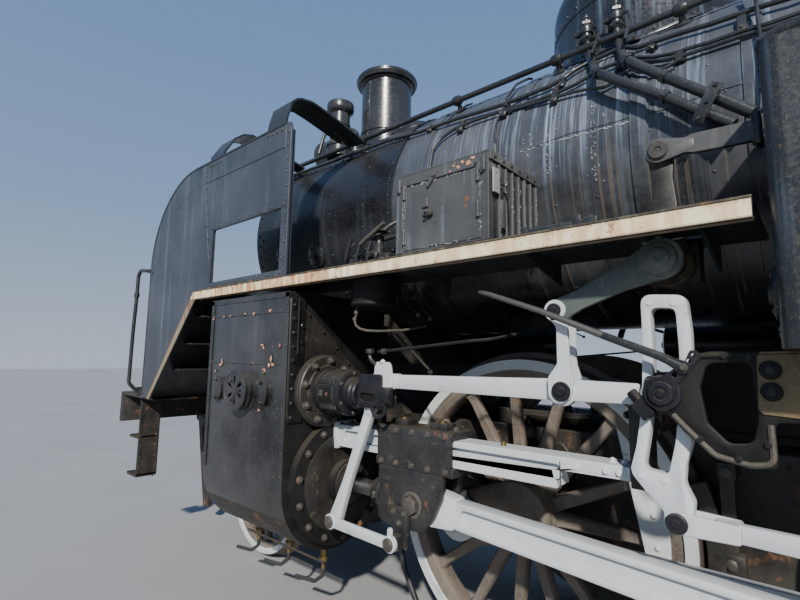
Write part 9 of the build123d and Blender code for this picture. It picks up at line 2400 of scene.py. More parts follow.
# coal in the bunker: heaped lumps as one surface with loose pieces on it
coal = bmesh.new()
nx, ny = 26, 34
vs = []
for i in range(nx + 1):
    row = []
    for j in range(ny + 1):
        x = BUNK_B + 0.04 + (CAB_B - BUNK_B - 0.10) * i / nx
        y = -1.19 + 2.38 * j / ny
        edge = min(1.0, 6.0 * min(i / nx, 1 - i / nx), 6.0 * min(j / ny, 1 - j / ny))
        h = 2.36 + 0.16 * sin(3.1 * i / nx) * sin(pi * j / ny) + random.uniform(-0.035, 0.035) * edge
        row.append(coal.verts.new((x + random.uniform(-0.012, 0.012) * (0 < i < nx), y + random.uniform(-0.015, 0.015) * (0 < j < ny), h)))
    vs.append(row)
for i in range(nx):
    for j in range(ny):
        coal.faces.new([vs[i][j], vs[i + 1][j], vs[i + 1][j + 1], vs[i][j + 1]])
p.take(coal, "coal")
coal.free()
for k in range(420):
    i, j = random.uniform(0.06, 0.94), random.uniform(0.05, 0.95)
    x = BUNK_B + 0.04 + (CAB_B - BUNK_B - 0.10) * i
    y = -1.19 + 2.38 * j
    z = 2.36 + 0.16 * sin(3.1 * i) * sin(pi * j) + 0.005
    lump = bmesh.new()
    bmesh.ops.create_icosphere(lump, subdivisions=1, radius=random.uniform(0.022, 0.058))
    sc = Vector((random.uniform(0.7, 1.2), random.uniform(0.7, 1.2), random.uniform(0.6, 1.0)))
    for v in lump.verts:
        v.co = Vector((v.co.x * sc.x, v.co.y * sc.y, v.co.z * sc.z)) * random.uniform(0.82, 1.15)
    m = Matrix.Translation((x, y, z)) @ Matrix.Rotation(random.uniform(0, 6.3), 4, "Z") @ Matrix.Rotation(random.uniform(0, 6.3), 4, "X")
    p.take(lump, "coal", m)
    lump.free()
p.done(25)

# ------------------------------------------------------------------ headlights
rounded("headlights", 0.003, 1)
p = Piece("headlight_trim", "engine", SLOT_OF.get("headlights"))
for xb, z, s in ((D1 + 2.170, 3.440, 1), (BUNK_B + 0.190, 3.010, -1)):
    xf = xb + s * 0.150
    p.lathe((xf, 0, z), (s, 0, 0), [(0.149, -0.022), (0.157, -0.018), (0.158, 0.004), (0.154, 0.012), (0.140, 0.014), (0.132, 0.010)], "engine", 56)
    p.lathe((xf, 0, z), (s, 0, 0), [(0.132, 0.010), (0.100, 0.022), (0.055, 0.030), (0.0, 0.033)], "lens", 48)
    p.box(xf - 0.012, xf + 0.012, -0.012, 0.012, z + 0.150, z + 0.172, "engine", 0.003)
    p.bolt((xf, 0.012, z + 0.162), (0, 1, 0), 0.007, "bolt", thread=False)
    for k in range(4):
        a = radians(45 + 90 * k)
        p.bolt((xf + s * 0.012, 0.148 * cos(a), z + 0.148 * sin(a)), (s, 0, 0), 0.005, "bolt", False, thread=False)
    p.lathe((xb - s * 0.02, 0, z + 0.140), (0, 0, 1), [(0.050, -0.01), (0.050, 0.022), (0.060, 0.026), (0.055, 0.040), (0.020, 0.050), (0.0, 0.052)], "engine", 24)
    for y in (-0.035, 0.035):
        for dx in (-0.02, 0.10):
            p.bolt((xb + s * dx, y, z - 0.116), (0, 0, 1), 0.007, "bolt", thread=False)
    p.tube([(xb - s * 0.05, 0.06, z - 0.06), (xb - s * 0.10, 0.08, z - 0.10), (xb - s * 0.10, 0.08, z - 0.20), (xb - s * 0.14, 0.10, (BZ + SMOKE_R - 0.01) if s > 0 else 2.765)], 0.009, "pipe", 8, 0.03)
p.done(38)

# ------------------------------------------------------------------ domes and valves
rounded("sand_dome", 0.003, 1)
rounded("steam_dome", 0.003, 1)
rounded("safety_valves", 0.004, 2)
p = Piece("dome_trim", "engine", SLOT_OF.get("sand_dome"))
for x, r, top in ((F(-490), 0.480, 3.830), (F(-1900), 0.400, 3.800)):
    for k in range(36):
        a = radians(10 * k)
        rr = r + 0.020
        y = rr * sin(a)
        if abs(y) < BARREL_R:
            z = BZ + sqrt((BARREL_R + 0.020) ** 2 - y * y)
            p.bolt((x + rr * cos(a), y, z - 0.002), (0, y / BARREL_R, sqrt(max(0.05, 1 - (y / BARREL_R) ** 2))), 0.011, "bolt", thread=False)
    p.lathe((x, 0, 0), (0, 0, 1), [(r - 0.0005, 3.410), (r + 0.004, 3.413), (r + 0.004, 3.427), (r - 0.0005, 3.430)], "dome", 96)
    if x > F(-1000):
        for k in range(40):
            p.rivet((x + r * cos(radians(9 * k)), r * sin(radians(9 * k)), 3.452), (cos(radians(9 * k)), sin(radians(9 * k)), 0), 0.007, "rusty" if k in (5, 11, 12) else "dome", 6)
        # filler lids on the crown
        for dx in (-0.16, 0.16):
            p.lathe((x + dx, 0, 3.795), (0, 0, 1), [(0.110, 0.0), (0.110, 0.030), (0.120, 0.034), (0.120, 0.048), (0.060, 0.060), (0.0, 0.062)], "dome", 32)
            p.box(x + dx - 0.02, x + dx + 0.02, 0.105, 0.150, 3.822, 3.838, "dome", 0.003)
            p.tube([(x + dx - 0.03, -0.05, 3.855), (x + dx - 0.03, -0.05, 3.880), (x + dx + 0.03, -0.05, 3.880), (x + dx + 0.03, -0.05, 3.855)], 0.006, "pipe", 8, 0.01)
    else:
        p.lathe((x, 0, 3.790), (0, 0, 1), [(0.150, 0.0), (0.150, 0.012), (0.135, 0.018), (0.0, 0.022)], "dome", 40)
        for k in range(10):
            a = radians(36 * k)
            p.bolt((x + 0.135 * cos(a), 0.135 * sin(a), 3.804), (0, 0, 1), 0.010, "bolt")
# safety valves: springs, lever; whistle with its bell
for y in (-0.105, 0.105):
    p.lathe((F(-3300), y, 3.52), (0, 0, 1), [(0.062, 0.0), (0.062, 0.012), (0.045, 0.018), (0.030, 0.05), (0.030, 0.07), (0.0, 0.072)], "brass", 28)
    for k in range(6):
        a = radians(60 * k)
        p.bolt((F(-3300) + 0.070 * cos(a), y + 0.070 * sin(a), 3.500), (0, 0, 1), 0.008, "bolt", thread=False)
    for k in range(5):
        p.lathe((F(-3300), y, 3.33 + 0.028 * k), (0, 0, 1), [(0.0625, -0.004), (0.066, 0.0), (0.0625, 0.004)], "cast", 28)
p.lathe((F(-3560), 0, 3.56), (0, 0, 1), [(0.036, -0.14), (0.046, -0.135), (0.046, -0.002), (0.030, 0.010), (0.012, 0.018), (0.012, 0.035), (0.0, 0.036)], "brass", 28)
p.lathe((F(-3560), 0, 3.40), (0, 0, 1), [(0.037, -0.02), (0.050, -0.014), (0.050, 0.008), (0.040, 0.014)], "brass", 28)
p.tube([(F(-3560), 0.05, 3.34), (F(-3560), 0.14, 3.36), (F(-3700), 0.16, 3.34), (F(-4440), 0.16, 3.20)], 0.006, "pipe", 8, 0.03)
p.done(38)


# ------------------------------------------------------------------ front and rear beams, steps, couplers
rounded("front_beam", 0.004, 1)
rounded("rear_beam", 0.004, 1)
rounded("main_frame", 0.003, 1)
rounded("front_coupler", 0.014, 3)
rounded("rear_coupler", 0.014, 3)
rounded("front_knuckle", 0.012, 3)
rounded("rear_knuckle", 0.012, 3)


def tread_plate(p, x0, x1, y0, y1, z):
    """Raised edge and cross bars of a step."""
    lo, hi = min(y0, y1), max(y0, y1)
    p.box(x0, x0 + 0.005, lo, hi, z - 0.004, z + 0.010, "under", 0.001)
    p.box(x1 - 0.005, x1, lo, hi, z - 0.004, z + 0.010, "under", 0.001)
    n = max(3, int((x1 - x0) / 0.022))
    for k in range(1, n):
        x = x0 + (x1 - x0) * k / n
        p.box(x - 0.003, x + 0.003, lo + 0.008, hi - 0.008, z - 0.002, z + 0.0045, "under", 0.0012)


for end, s, bx, zlo, zhi, node, body in (("front", 1, BEAM_F, 0.960, 1.210, "front_beam", "engine"), ("rear", -1, BEAM_B, 1.000, 1.380, "rear_beam", "engine")):
    p = Piece(end + "_beam_trim", "engine", SLOT_OF.get(node))
    f = bx
    # flange angles along the top and bottom with rivets
    for z, dz in ((zhi - 0.040, 0.040), (zlo, 0.040)):
        for k in range(31):
            y = -1.20 + 0.08 * k
            if abs(y) > 0.17 or z > 1.1:
                p.rivet((f - s * 0.0005, y, z + dz / 2), (s, 0, 0), 0.010, "under", 8)
    p.box(min(f, f + s * 0.008), max(f, f + s * 0.008), -1.245, 1.245, zhi - 0.012, zhi + 0.002, "under", 0.003)
    # coupler pocket: cast face plate with ribs and bolts
    p.prism(round_poly([(-0.24, 0.805), (0.24, 0.805), (0.24, 1.02), (0.17, 1.09), (-0.17, 1.09), (-0.24, 1.02)], 0.03, 4), "x", f if s > 0 else f - 0.022, f + 0.022 if s > 0 else f,
            "cast", 0.004, 2, holes=[[(y, z) for y, z in round_poly([(-0.088, 0.820), (-0.088, 0.996), (0.088, 0.996), (0.088, 0.820)], 0.015, 3)]])
    for y in (-0.205, 0.205):
        for z in (0.84, 0.91, 0.98):
            p.bolt((f + s * 0.022, y, z), (s, 0, 0), 0.015, "bolt")
    for y in (-0.12, 0.0, 0.12):
        p.bolt((f + s * 0.022, y, 1.050), (s, 0, 0), 0.013, "bolt")
    # blank plate, lamp irons
    p.box(min(f, f + s * 0.007), max(f, f + s * 0.007), -0.98, -0.62, zhi - 0.155, zhi - 0.055, "cast", 0.003, 2)
    for y in (-0.95, -0.65):
        p.rivet((f + s * 0.0065, y, zhi - 0.105), (s, 0, 0), 0.006, "bolt", 8)
    for y in (-1.10, 1.10):
        p.box(min(f, f + s * 0.012), max(f, f + s * 0.012), y - 0.030, y + 0.030, zhi - 0.09, zhi + 0.035, "under", 0.002)
        p.box(min(f + s * 0.012, f + s * 0.050), max(f + s * 0.012, f + s * 0.050), y - 0.030, y + 0.030, zhi + 0.020, zhi + 0.030, "under", 0.002)
    # cut lever across the beam with its brackets and handle, link down to the coupler head
    zr = zhi - 0.075
    p.tube([(f + s * 0.052, -0.02, zr), (f + s * 0.052, -1.155, zr), (f + s * 0.066, -1.195, zr - 0.02), (f + s * 0.090, -1.205, zr - 0.19)], 0.0125, "steel", 12, 0.03)
    p.tube([(f + s * 0.052, -0.02, zr), (f + s * 0.150, -0.012, zr + 0.012), (f + s * 0.200, 0.0, 1.036)], 0.011, "steel", 10, 0.02)
    for y in (-0.30, -0.72, -1.10):
        p.prism(round_poly([(f, zr - 0.035), (f, zr + 0.035), (f + s * 0.070, zr + 0.026), (f + s * 0.070, zr - 0.026)] if s > 0 else
                           [(f, zr + 0.035), (f, zr - 0.035), (f + s * 0.070, zr - 0.026), (f + s * 0.070, zr + 0.026)], 0.012, 3), "y", y - 0.007, y + 0.007, "under", 0.002)
        p.box(min(f, f + s * 0.008), max(f, f + s * 0.008), y - 0.032, y + 0.032, zr - 0.040, zr + 0.040, "under", 0.002)
        p.bolt((f + s * 0.008, y + 0.020, zr + 0.022), (s, 0, 0), 0.007, "bolt", thread=False)
        p.bolt((f + s * 0.008, y - 0.020, zr - 0.022), (s, 0, 0), 0.007, "bolt", thread=False)
    # brake pipes: rigid, standing up the face, cock with handle, blank end
    for y, r in ((0.34, 0.020), (0.52, 0.015)):
        p.tube([(f - s * 0.03, y, zlo - 0.05), (f + s * 0.045, y, zlo - 0.05), (f + s * 0.045, y, zhi + 0.05), (f + s * 0.085, y, zhi + 0.09), (f + s * 0.135, y, zhi + 0.09)], r, "pipe", 14, 0.05)
        p.lathe((f + s * 0.135, y, zhi + 0.09), (s, 0, 0), [(r * 1.25, -0.02), (r * 1.45, -0.015), (r * 1.45, 0.03), (r * 1.1, 0.04), (0.0, 0.042)], "cast", 20)
        p.lathe((f + s * 0.045, y, zhi - 0.06), (0, 0, 1), [(r, -0.035), (r * 1.6, -0.03), (r * 1.7, 0.0), (r * 1.6, 0.03), (r, 0.035)], "cast", 20)
        p.tube([(f + s * 0.045, y, zhi - 0.06), (f + s * 0.085, y, zhi - 0.06), (f + s * 0.095, y + 0.07, zhi - 0.055)], 0.006, "brass", 8, 0.01)
        p.box(min(f, f + s * 0.062), max(f, f + s * 0.062), y - 0.028, y + 0.028, zlo + 0.07, zlo + 0.082, "under", 0.002)
    # corner steps
    for side in (1, -1):
        if s > 0:
            x0, x1, xh = BEAM_F - 0.420, BEAM_F - 0.230, BEAM_F - 0.420
            levels = (0.562, 0.862)
        else:
            x0, x1, xh = BEAM_B + 0.020, BEAM_B + 0.142, BEAM_B + 0.130
            levels = (0.562, 0.862, 1.370)
        for z in levels:
            tread_plate(p, x0, x1, side * 1.080, side * 1.240, z)
            p.tube([(x0 + 0.015, side * 1.10, z - 0.020), (x1 - 0.020, side * 1.10, z - 0.020)], 0.006, "under", 8)
        for k in range(7):
            p.rivet((xh - 0.0005, side * 1.105, 0.62 + 0.085 * k), (-1, 0, 0), 0.008, "rusty" if k == 3 else "under", 8)
            p.rivet((xh - 0.0005, side * 1.215, 0.62 + 0.085 * k), (-1, 0, 0), 0.008, "under", 8)
        p.box(xh - 0.004, xh, side * 1.080, side * 1.100, 0.57, 1.18, "under", 0.001)
        p.box(xh - 0.004, xh, side * 1.220, side * 1.240, 0.57, 1.18, "under", 0.001)
        # pole pocket at the beam end and a hand rail beside it
        p.lathe((f, side * 1.17, (zlo + zhi) / 2), (s, 0, 0), [(0.060, 0.0), (0.060, 0.018), (0.050, 0.026), (0.034, 0.026), (0.010, 0.010), (0.0, 0.009)], "cast", 28)
        if s < 0:
            p.tube([(f, side * 1.02, zhi - 0.02), (f - 0.06, side * 1.02, zhi - 0.02), (f - 0.06, side * 1.02, zhi - 0.02), (f - 0.06, side * 0.66, zhi - 0.02), (f, side * 0.66, zhi - 0.02)], 0.011, "pipe", 10, 0.02)
    p.done(35)

# pilot deck edges, guard iron bolts
p = Piece("pilot_trim", "engine", SLOT_OF.get("front_beam"))
for side in (1, -1):
    for k in range(4):
        p.bolt((BEAM_F - 0.030 - 0.036 * k, side * 0.545, 0.955 - 0.002 * k), (0, side, 0), 0.014, "bolt")
    p.box(BEAM_F - 0.165, BEAM_F - 0.050, side * 0.545, side * 0.555, 0.86, 0.975, "under", 0.003)
    p.tube([(BEAM_F - 0.252, side * 0.548, 0.16), (BEAM_F - 0.115, side * 0.548, 0.86)], 0.010, "under", 8)
    for k in range(14):
        p.rivet((FOOT_X + 0.02 + 0.052 * k, side * 1.235, PILOT_Z - 0.0005), (0, 0, 1), 0.008, "under", 8)
    for k in range(9):
        p.rivet((D1 + 2.34 + 0.045 * k, side * 0.545, PILOT_Z - 0.0005), (0, 0, 1), 0.008, "under", 8)
# raised diamonds of the deck plate
for i in range(13):
    for j in range(46):
        x = FOOT_X + 0.03 + 0.052 * i
        y = -1.17 + 0.052 * j
        a = radians(45 if (i + j) % 2 else -45)
        c, s = cos(a), sin(a)
        p.add([(x + 0.014 * c - 0.004 * s, y + 0.014 * s + 0.004 * c, PILOT_Z), (x - 0.014 * c - 0.004 * s, y - 0.014 * s + 0.004 * c, PILOT_Z),
               (x - 0.014 * c + 0.004 * s, y - 0.014 * s - 0.004 * c, PILOT_Z), (x + 0.014 * c + 0.004 * s, y + 0.014 * s - 0.004 * c, PILOT_Z),
               (x + 0.010 * c, y + 0.010 * s, PILOT_Z + 0.0022), (x - 0.010 * c, y - 0.010 * s, PILOT_Z + 0.0022)],
              [(0, 1, 5, 4), (2, 3, 4, 5), (1, 2, 5), (3, 0, 4)], "under")
p.done(30)

# couplers: cast ribs, lock pin, shank bands
for tag, s in (("front", 1), ("rear", -1)):
    end = s * 6.325
    p = Piece(tag + "_coupler_trim", BODY_OF[tag + "_coupler"], SLOT_OF.get(tag + "_coupler"))
    for dz in (-0.075, 0.0, 0.075):
        p.box(min(end - s * 0.250, end - s * 0.185), max(end - s * 0.250, end - s * 0.185), s * 0.10 if s > 0 else -0.178, 0.178 if s > 0 else -0.10, COUPLER_Z + dz - 0.008, COUPLER_Z + dz + 0.008, "cast", 0.006, 2)
    p.lathe((end - s * 0.205, 0.0, COUPLER_Z + 0.128), (0, 0, 1), [(0.046, 0.0), (0.044, 0.014), (0.024, 0.020), (0.020, 0.040), (0.0, 0.042)], "cast", 22)
    for x in (end - s * 0.300, end - s * 0.270):
        p.box(min(x - 0.008, x + 0.008), max(x - 0.008, x + 0.008), -0.084, 0.084, COUPLER_Z - 0.084, COUPLER_Z + 0.084, "cast", 0.008, 2)
    p.done(40)
    p = Piece(tag + "_knuckle_trim", BODY_OF[tag + "_knuckle"], SLOT_OF.get(tag + "_knuckle"))
    for dz, sg in ((0.150, 1), (-0.150, -1)):
        p.lathe((end - s * 0.120, -s * 0.152, COUPLER_Z + dz), (0, 0, sg), [(0.024, -0.004), (0.033, 0.0), (0.033, 0.008), (0.024, 0.012), (0.0, 0.012)], "cast", 24)
    p.done(40)

# ------------------------------------------------------------------ main frame: horn cheeks, springs, rivets, stays
p = Piece("frame_trim", "engine", SLOT_OF.get("main_frame"))
for x in (D1, D2, D3):
    for side in (1, -1):
        hole = [ring_hole(x, DRIVER_Z, 0.108, 28)]
        p.prism(round_poly([(x - 0.20, 0.575), (x + 0.20, 0.575), (x + 0.20, 1.05), (x + 0.14, 1.12), (x - 0.14, 1.12), (x - 0.20, 1.05)], 0.03, 4), "y", side * 0.440, side * 0.453, "under", 0.003, 1, holes=hole)
        for sx in (-1, 1):
            for k in range(6):
                p.bolt((x + sx * 0.172, side * 0.453, 0.62 + 0.078 * k), (0, side, 0), 0.012, "under", False, thread=False)
        p.box(x - 0.24, x + 0.24, side * 0.385, side * 0.452, 0.535, 0.566, "under", 0.004)
        for sx in (-1, 1):
            p.bolt((x + sx * 0.20, side * 0.418, 0.536), (0, 0, -1), 0.018, "bolt")
for side in (1, -1):
    for k in range(44):
        x = D3 - 0.45 + 0.115 * k
        if x < D1 + 0.85 and min(abs(x - D1), abs(x - D2), abs(x - D3)) > 0.22:
            p.rivet((x, side * 0.4395, 1.135), (0, side, 0), 0.010, "under", 8)
            p.rivet((x, side * 0.4395, 0.605), (0, side, 0), 0.010, "under", 8)
    for k in range(38):
        x = BEAM_B + 0.12 + 0.11 * k
        if x < D3 - 0.85:
            p.rivet((x, side * 0.4395, 1.315), (0, side, 0), 0.010, "under", 8)
            p.rivet((x, side * 0.4395, 1.025), (0, side, 0), 0.010, "under", 8)
    for k in range(17):
        x = D1 + 1.82 + 0.095 * k
        if x < BEAM_F - 0.08:
            p.rivet((x, side * 0.4395, 1.155), (0, side, 0), 0.010, "under", 8)
            p.rivet((x, side * 0.4395, 1.015), (0, side, 0), 0.010, "under", 8)
    # leaf springs of the drivers, between the frame plates over the axle boxes
    for x in (D1, D2):
        for k in range(8):
            half = 0.44 - 0.042 * k
            p.box(x - half, x + half, side * 0.285, side * 0.372, 1.150 - 0.0125 * k, 1.161 - 0.0125 * k, "under", 0.001)
        p.box(x - 0.05, x + 0.05, side * 0.272, side * 0.379, 1.040, 1.170, "under", 0.005, 2)
        p.box(x - 0.13, x + 0.13, side * 0.28, side * 0.379, 0.905, 0.99, "under", 0.008, 2)
        p.tube([(x, side * 0.33, 0.98), (x, side * 0.33, 1.05)], 0.028, "under", 14)
        for sx in (-1, 1):
            p.tube([(x + sx * 0.42, side * 0.33, 1.175), (x + sx * 0.42, side * 0.33, 1.02)], 0.014, "under", 10)
            p.box(x + sx * 0.42 - 0.025, x + sx * 0.42 + 0.025, side * 0.30, side * 0.36, 1.005, 1.03, "under", 0.004)
# outside brackets that carry the cab and bunker on the frame
for x in (CAB_F - 0.35, CAB_B + 0.85, BUNK_B + 1.15, BUNK_B + 0.35):
    for side in (1, -1):
        pts = [(0.440, 1.345), (1.300, 1.430), (1.300, 1.400), (0.60, 1.180), (0.440, 1.120)]
        pts = [(side * y, z) for y, z in pts]
        if side < 0:
            pts = pts[::-1]
        p.prism(pts, "x", x - 0.007, x + 0.007, "under", 0.002)
        p.box(x - 0.045, x + 0.045, side * 0.438, side * 0.450, 1.13, 1.33, "under", 0.002)
        for z in (1.17, 1.23, 1.29):
            p.bolt((x + 0.027, side * 0.450, z), (0, side, 0), 0.011, "bolt", thread=False)
            p.bolt((x - 0.027, side * 0.450, z), (0, side, 0), 0.011, "bolt", thread=False)
# angle iron along the bottom of cab and bunker sides
for side in (1, -1):
    p.box(BUNK_B + 0.02, CAB_B + 0.08, side * 1.33, side * 1.395, 1.420, 1.442, "under", 0.004)
    p.box(CAB_B + 0.70, CAB_F - 0.02, side * 1.33, side * 1.395, 1.420, 1.442, "under", 0.004)
p.done(35)

# ------------------------------------------------------------------ dark sheets between the frames, under the boiler: painted shade that fills the view through the link bracket windows
p = Piece("painted_shade_sheets", "engine")
for side in (1, -1):
    p.prism(round_poly([(F(-735), 1.215), (F(-735), 1.600), (F(-1290), 1.600), (F(-1290), 1.215)], 0.02, 3), "y", side * 0.392, side * 0.400, "soot_and_shade", 0.0)
    for z in (1.240, 1.575):
        p.box(F(-1285), F(-740), side * 0.400, side * 0.424, z - 0.004, z + 0.004, "soot_and_shade", 0.001)
    for k in range(8):
        p.rivet((F(-760 - 72 * k), side * 0.4005, 1.262), (0, side, 0), 0.008, "under", 6)
        p.rivet((F(-760 - 72 * k), side * 0.4005, 1.552), (0, side, 0), 0.008, "under", 6)
p.done(35)
# ------------------------------------------------------------------ firebox, ash pan, brake gear
rounded("firebox", 0.010, 2)
p = Piece("firebox_trim", "engine", SLOT_OF.get("firebox"))
fx0, fx1 = D2 - 1.600, D2 - 0.400
for side in (1, -1):
    for i in range(11):
        for j in range(9):
            z = 0.86 + 0.098 * j
            p.rivet((fx0 + 0.10 + 0.10 * i, side * 0.3675, z), (0, side, 0), 0.012, "under", 8)
    p.box(fx0 + 0.01, fx1 - 0.01, side * 0.3675, side * 0.376, 0.790, 0.812, "under", 0.002)
    for x in (fx0 + 0.34, fx1 - 0.34):
        p.box(x - 0.17, x + 0.17, side * 0.3675, side * 0.377, 0.655, 0.775, "rusty", 0.003)
        p.tube([(x - 0.19, side * 0.380, 0.778), (x + 0.19, side * 0.380, 0.778)], 0.006, "under", 8)
for k in range(7):
    p.bolt((fx1, -0.30 + 0.10 * k, 0.83), (1, 0, 0), 0.012, "bolt", thread=False)
    p.bolt((fx0, -0.30 + 0.10 * k, 0.83), (-1, 0, 0), 0.012, "bolt", thread=False)
    for j in range(7):
        p.rivet((fx1 - 0.0005, -0.30 + 0.10 * k, 0.93 + 0.10 * j), (1, 0, 0), 0.012, "under", 8)
        p.rivet((fx0 + 0.0005, -0.30 + 0.10 * k, 0.93 + 0.10 * j), (-1, 0, 0), 0.012, "under", 8)
p.lathe((fx1 - 0.002, 0.22, 0.70), (1, 0, 0), [(0.05, 0.0), (0.05, 0.018), (0.02, 0.022), (0.0, 0.022)], "cast", 20)
p.done(35)

rounded("brake_gear", 0.006, 2)
p = Piece("brake_trim", "engine", SLOT_OF.get("brake_gear"))
for x in (D1, D2, D3):
    hx = x - 0.848
    for side in (1, -1):
        for z in (1.118, 0.780, 0.512):
            p.lathe((hx, side * 0.596, z), (0, side, 0), [(0.020, -0.002), (0.020, 0.012), (0.014, 0.016), (0.0, 0.016)], "bolt", 16)
            p.lathe((hx, side * 0.560, z), (0, -side, 0), [(0.020, -0.002), (0.020, 0.010), (0.014, 0.013), (0.0, 0.013)], "bolt", 16)
        p.box(hx - 0.045, hx + 0.020, side * 0.545, side * 0.60, 0.745, 0.815, "under", 0.008, 2)
    p.box(hx - 0.040, hx + 0.040, -0.050, 0.050, 0.462, 0.558, "under", 0.008, 2)
    p.lathe((hx, 0.0, 0.560), (0, 0, 1), [(0.022, 0.0), (0.022, 0.014), (0.012, 0.018), (0.0, 0.018)], "bolt", 16)
# pull rods in the middle, turnbuckles, the lever up to the cylinder between the frames
for xa, xb in ((D3 - 0.848, D2 - 0.848), (D2 - 0.848, D1 - 0.848), (D1 - 0.848, D1 + 0.34)):
    p.tube([(xa + 0.035, 0.0, 0.510), (xb - 0.035, 0.0, 0.510)], 0.0185, "under", 14)
    m = (xa + xb) / 2
    for dy in (-0.026, 0.026):
        p.box(m - 0.12, m + 0.12, dy - 0.007, dy + 0.007, 0.497, 0.523, "under", 0.003)
    for dx in (-0.125, 0.125):
        p.lathe((m + dx, 0, 0.510), (1, 0, 0), [(0.0185, -0.024), (0.032, -0.024), (0.032, 0.024), (0.0185, 0.024)], "under", 6)
p.prism(round_poly([(D1 + 0.31, 0.485), (D1 + 0.37, 0.485), (D1 + 0.40, 0.86), (D1 + 0.34, 0.86)], 0.02, 4), "y", -0.016, 0.016, "under", 0.004, 2)
p.lathe((D1 + 0.42, 0.0, 0.84), (1, 0, 0), [(0.0, -0.06), (0.026, -0.06), (0.026, 0.0), (0.130, 0.004), (0.140, 0.016), (0.140, 0.05), (0.122, 0.056), (0.122, 0.24), (0.135, 0.245), (0.135, 0.262), (0.100, 0.285), (0.0, 0.292)], "under", 44)
for k in range(10):
    a = radians(36 * k)
    p.bolt((D1 + 0.420 + 0.004, 0.118 * cos(a), 0.84 + 0.118 * sin(a)), (-1, 0, 0), 0.011, "bolt")
for side in (1, -1):
    p.box(D1 + 0.46, D1 + 0.62, side * 0.11, side * 0.382, 0.805, 0.830, "under", 0.004)
p.done(35)

# ------------------------------------------------------------------ trucks
rounded("pony_frame", 0.006, 2)
rounded("bogie_frame", 0.006, 2)
p = Piece("pony_trim", BODY_OF["pony_frame"], SLOT_OF.get("pony_frame"))
for side in (1, -1):
    for k in range(7):
        half = 0.335 - 0.036 * k
        p.box(LEAD_X - half, LEAD_X + half, side * 0.303, side * 0.360, 0.648 + 0.0115 * k, 0.658 + 0.0115 * k, "under", 0.001)
    p.box(LEAD_X - 0.045, LEAD_X + 0.045, side * 0.296, side * 0.366, 0.585, 0.742, "under", 0.006, 2)
    for sx in (-1, 1):
        p.tube([(LEAD_X + sx * 0.315, side * 0.331, 0.672), (LEAD_X + sx * 0.315, side * 0.331, 0.50)], 0.013, "under", 10)
        p.box(LEAD_X + sx * 0.315 - 0.024, LEAD_X + sx * 0.315 + 0.024, side * 0.304, side * 0.358, 0.664, 0.682, "under", 0.004)
    # axle box: cover ring and bolts on both faces, keeps below
    p.box(LEAD_X - 0.135, LEAD_X + 0.135, side * 0.270, side * 0.400, 0.310, 0.345, "under", 0.008, 2)
    for k in range(8):
        a = radians(22.5 + 45 * k)
        p.bolt((LEAD_X + 0.098 * cos(a), side * 0.420, SMALL_Z + 0.098 * sin(a)), (0, side, 0), 0.009, "bolt", False, thread=False)
    for x in (LEAD_X - 0.38, LEAD_X - 0.22, LEAD_X + 0.22, LEAD_X + 0.29):
        p.bolt((x, side * 0.362, 0.44), (0, side, 0), 0.011, "bolt", thread=False)
        p.bolt((x, side * 0.362, 0.49), (0, side, 0), 0.011, "bolt", thread=False)
for sx in (-1, 1):
    for y in (-0.22, -0.11, 0.0, 0.11, 0.22):
        p.bolt((LEAD_X + sx * 0.095, y, 0.640), (0, 0, 1), 0.012, "bolt", thread=False)
p.lathe((LEAD_X, 0, 0.70), (0, 0, 1), [(0.111, -0.05), (0.128, -0.045), (0.128, -0.02), (0.111, -0.015)], "under", 36)
p.done(35)

p = Piece("bogie_trim", BODY_OF["bogie_frame"], SLOT_OF.get("bogie_frame"))
bx = (TRAIL1_X + TRAIL2_X) / 2
for side in (1, -1):
    for k in range(9):
        half = 0.46 - 0.042 * k
        p.box(bx - half, bx + half, side * 0.300, side * 0.372, 0.680 - 0.0125 * k, 0.691 - 0.0125 * k, "under", 0.001)
    p.box(bx - 0.055, bx + 0.055, side * 0.292, side * 0.380, 0.560, 0.705, "under", 0.006, 2)
    for sx in (-1, 1):
        p.tube([(bx + sx * 0.44, side * 0.336, 0.700), (bx + sx * 0.44, side * 0.336, 0.56)], 0.013, "under", 10)
        p.box(bx + sx * 0.44 - 0.026, bx + sx * 0.44 + 0.026, side * 0.306, side * 0.366, 0.688, 0.706, "under", 0.004)
    for ax in (TRAIL1_X, TRAIL2_X):
        for k in range(8):
            a = radians(22.5 + 45 * k)
            p.bolt((ax + 0.100 * cos(a), side * 0.424, SMALL_Z + 0.100 * sin(a)), (0, side, 0), 0.009, "bolt", False, thread=False)
        p.box(ax - 0.14, ax + 0.14, side * 0.300, side * 0.400, 0.300, 0.334, "under", 0.008, 2)
        for sx in (-1, 1):
            for z in (0.47, 0.53, 0.59):
                p.bolt((ax + sx * 0.155, side * 0.372, z), (0, side, 0), 0.010, "bolt", thread=False)
    for k in range(9):
        p.rivet((bx - 0.40 + 0.10 * k, side * 0.3715, 0.44), (0, side, 0), 0.009, "under", 8)
for k in range(8):
    a = radians(45 * k)
    p.bolt((bx + 0.155 * cos(a), 0.155 * sin(a), 0.860), (0, 0, 1), 0.013, "bolt", thread=False)
p.done(35)

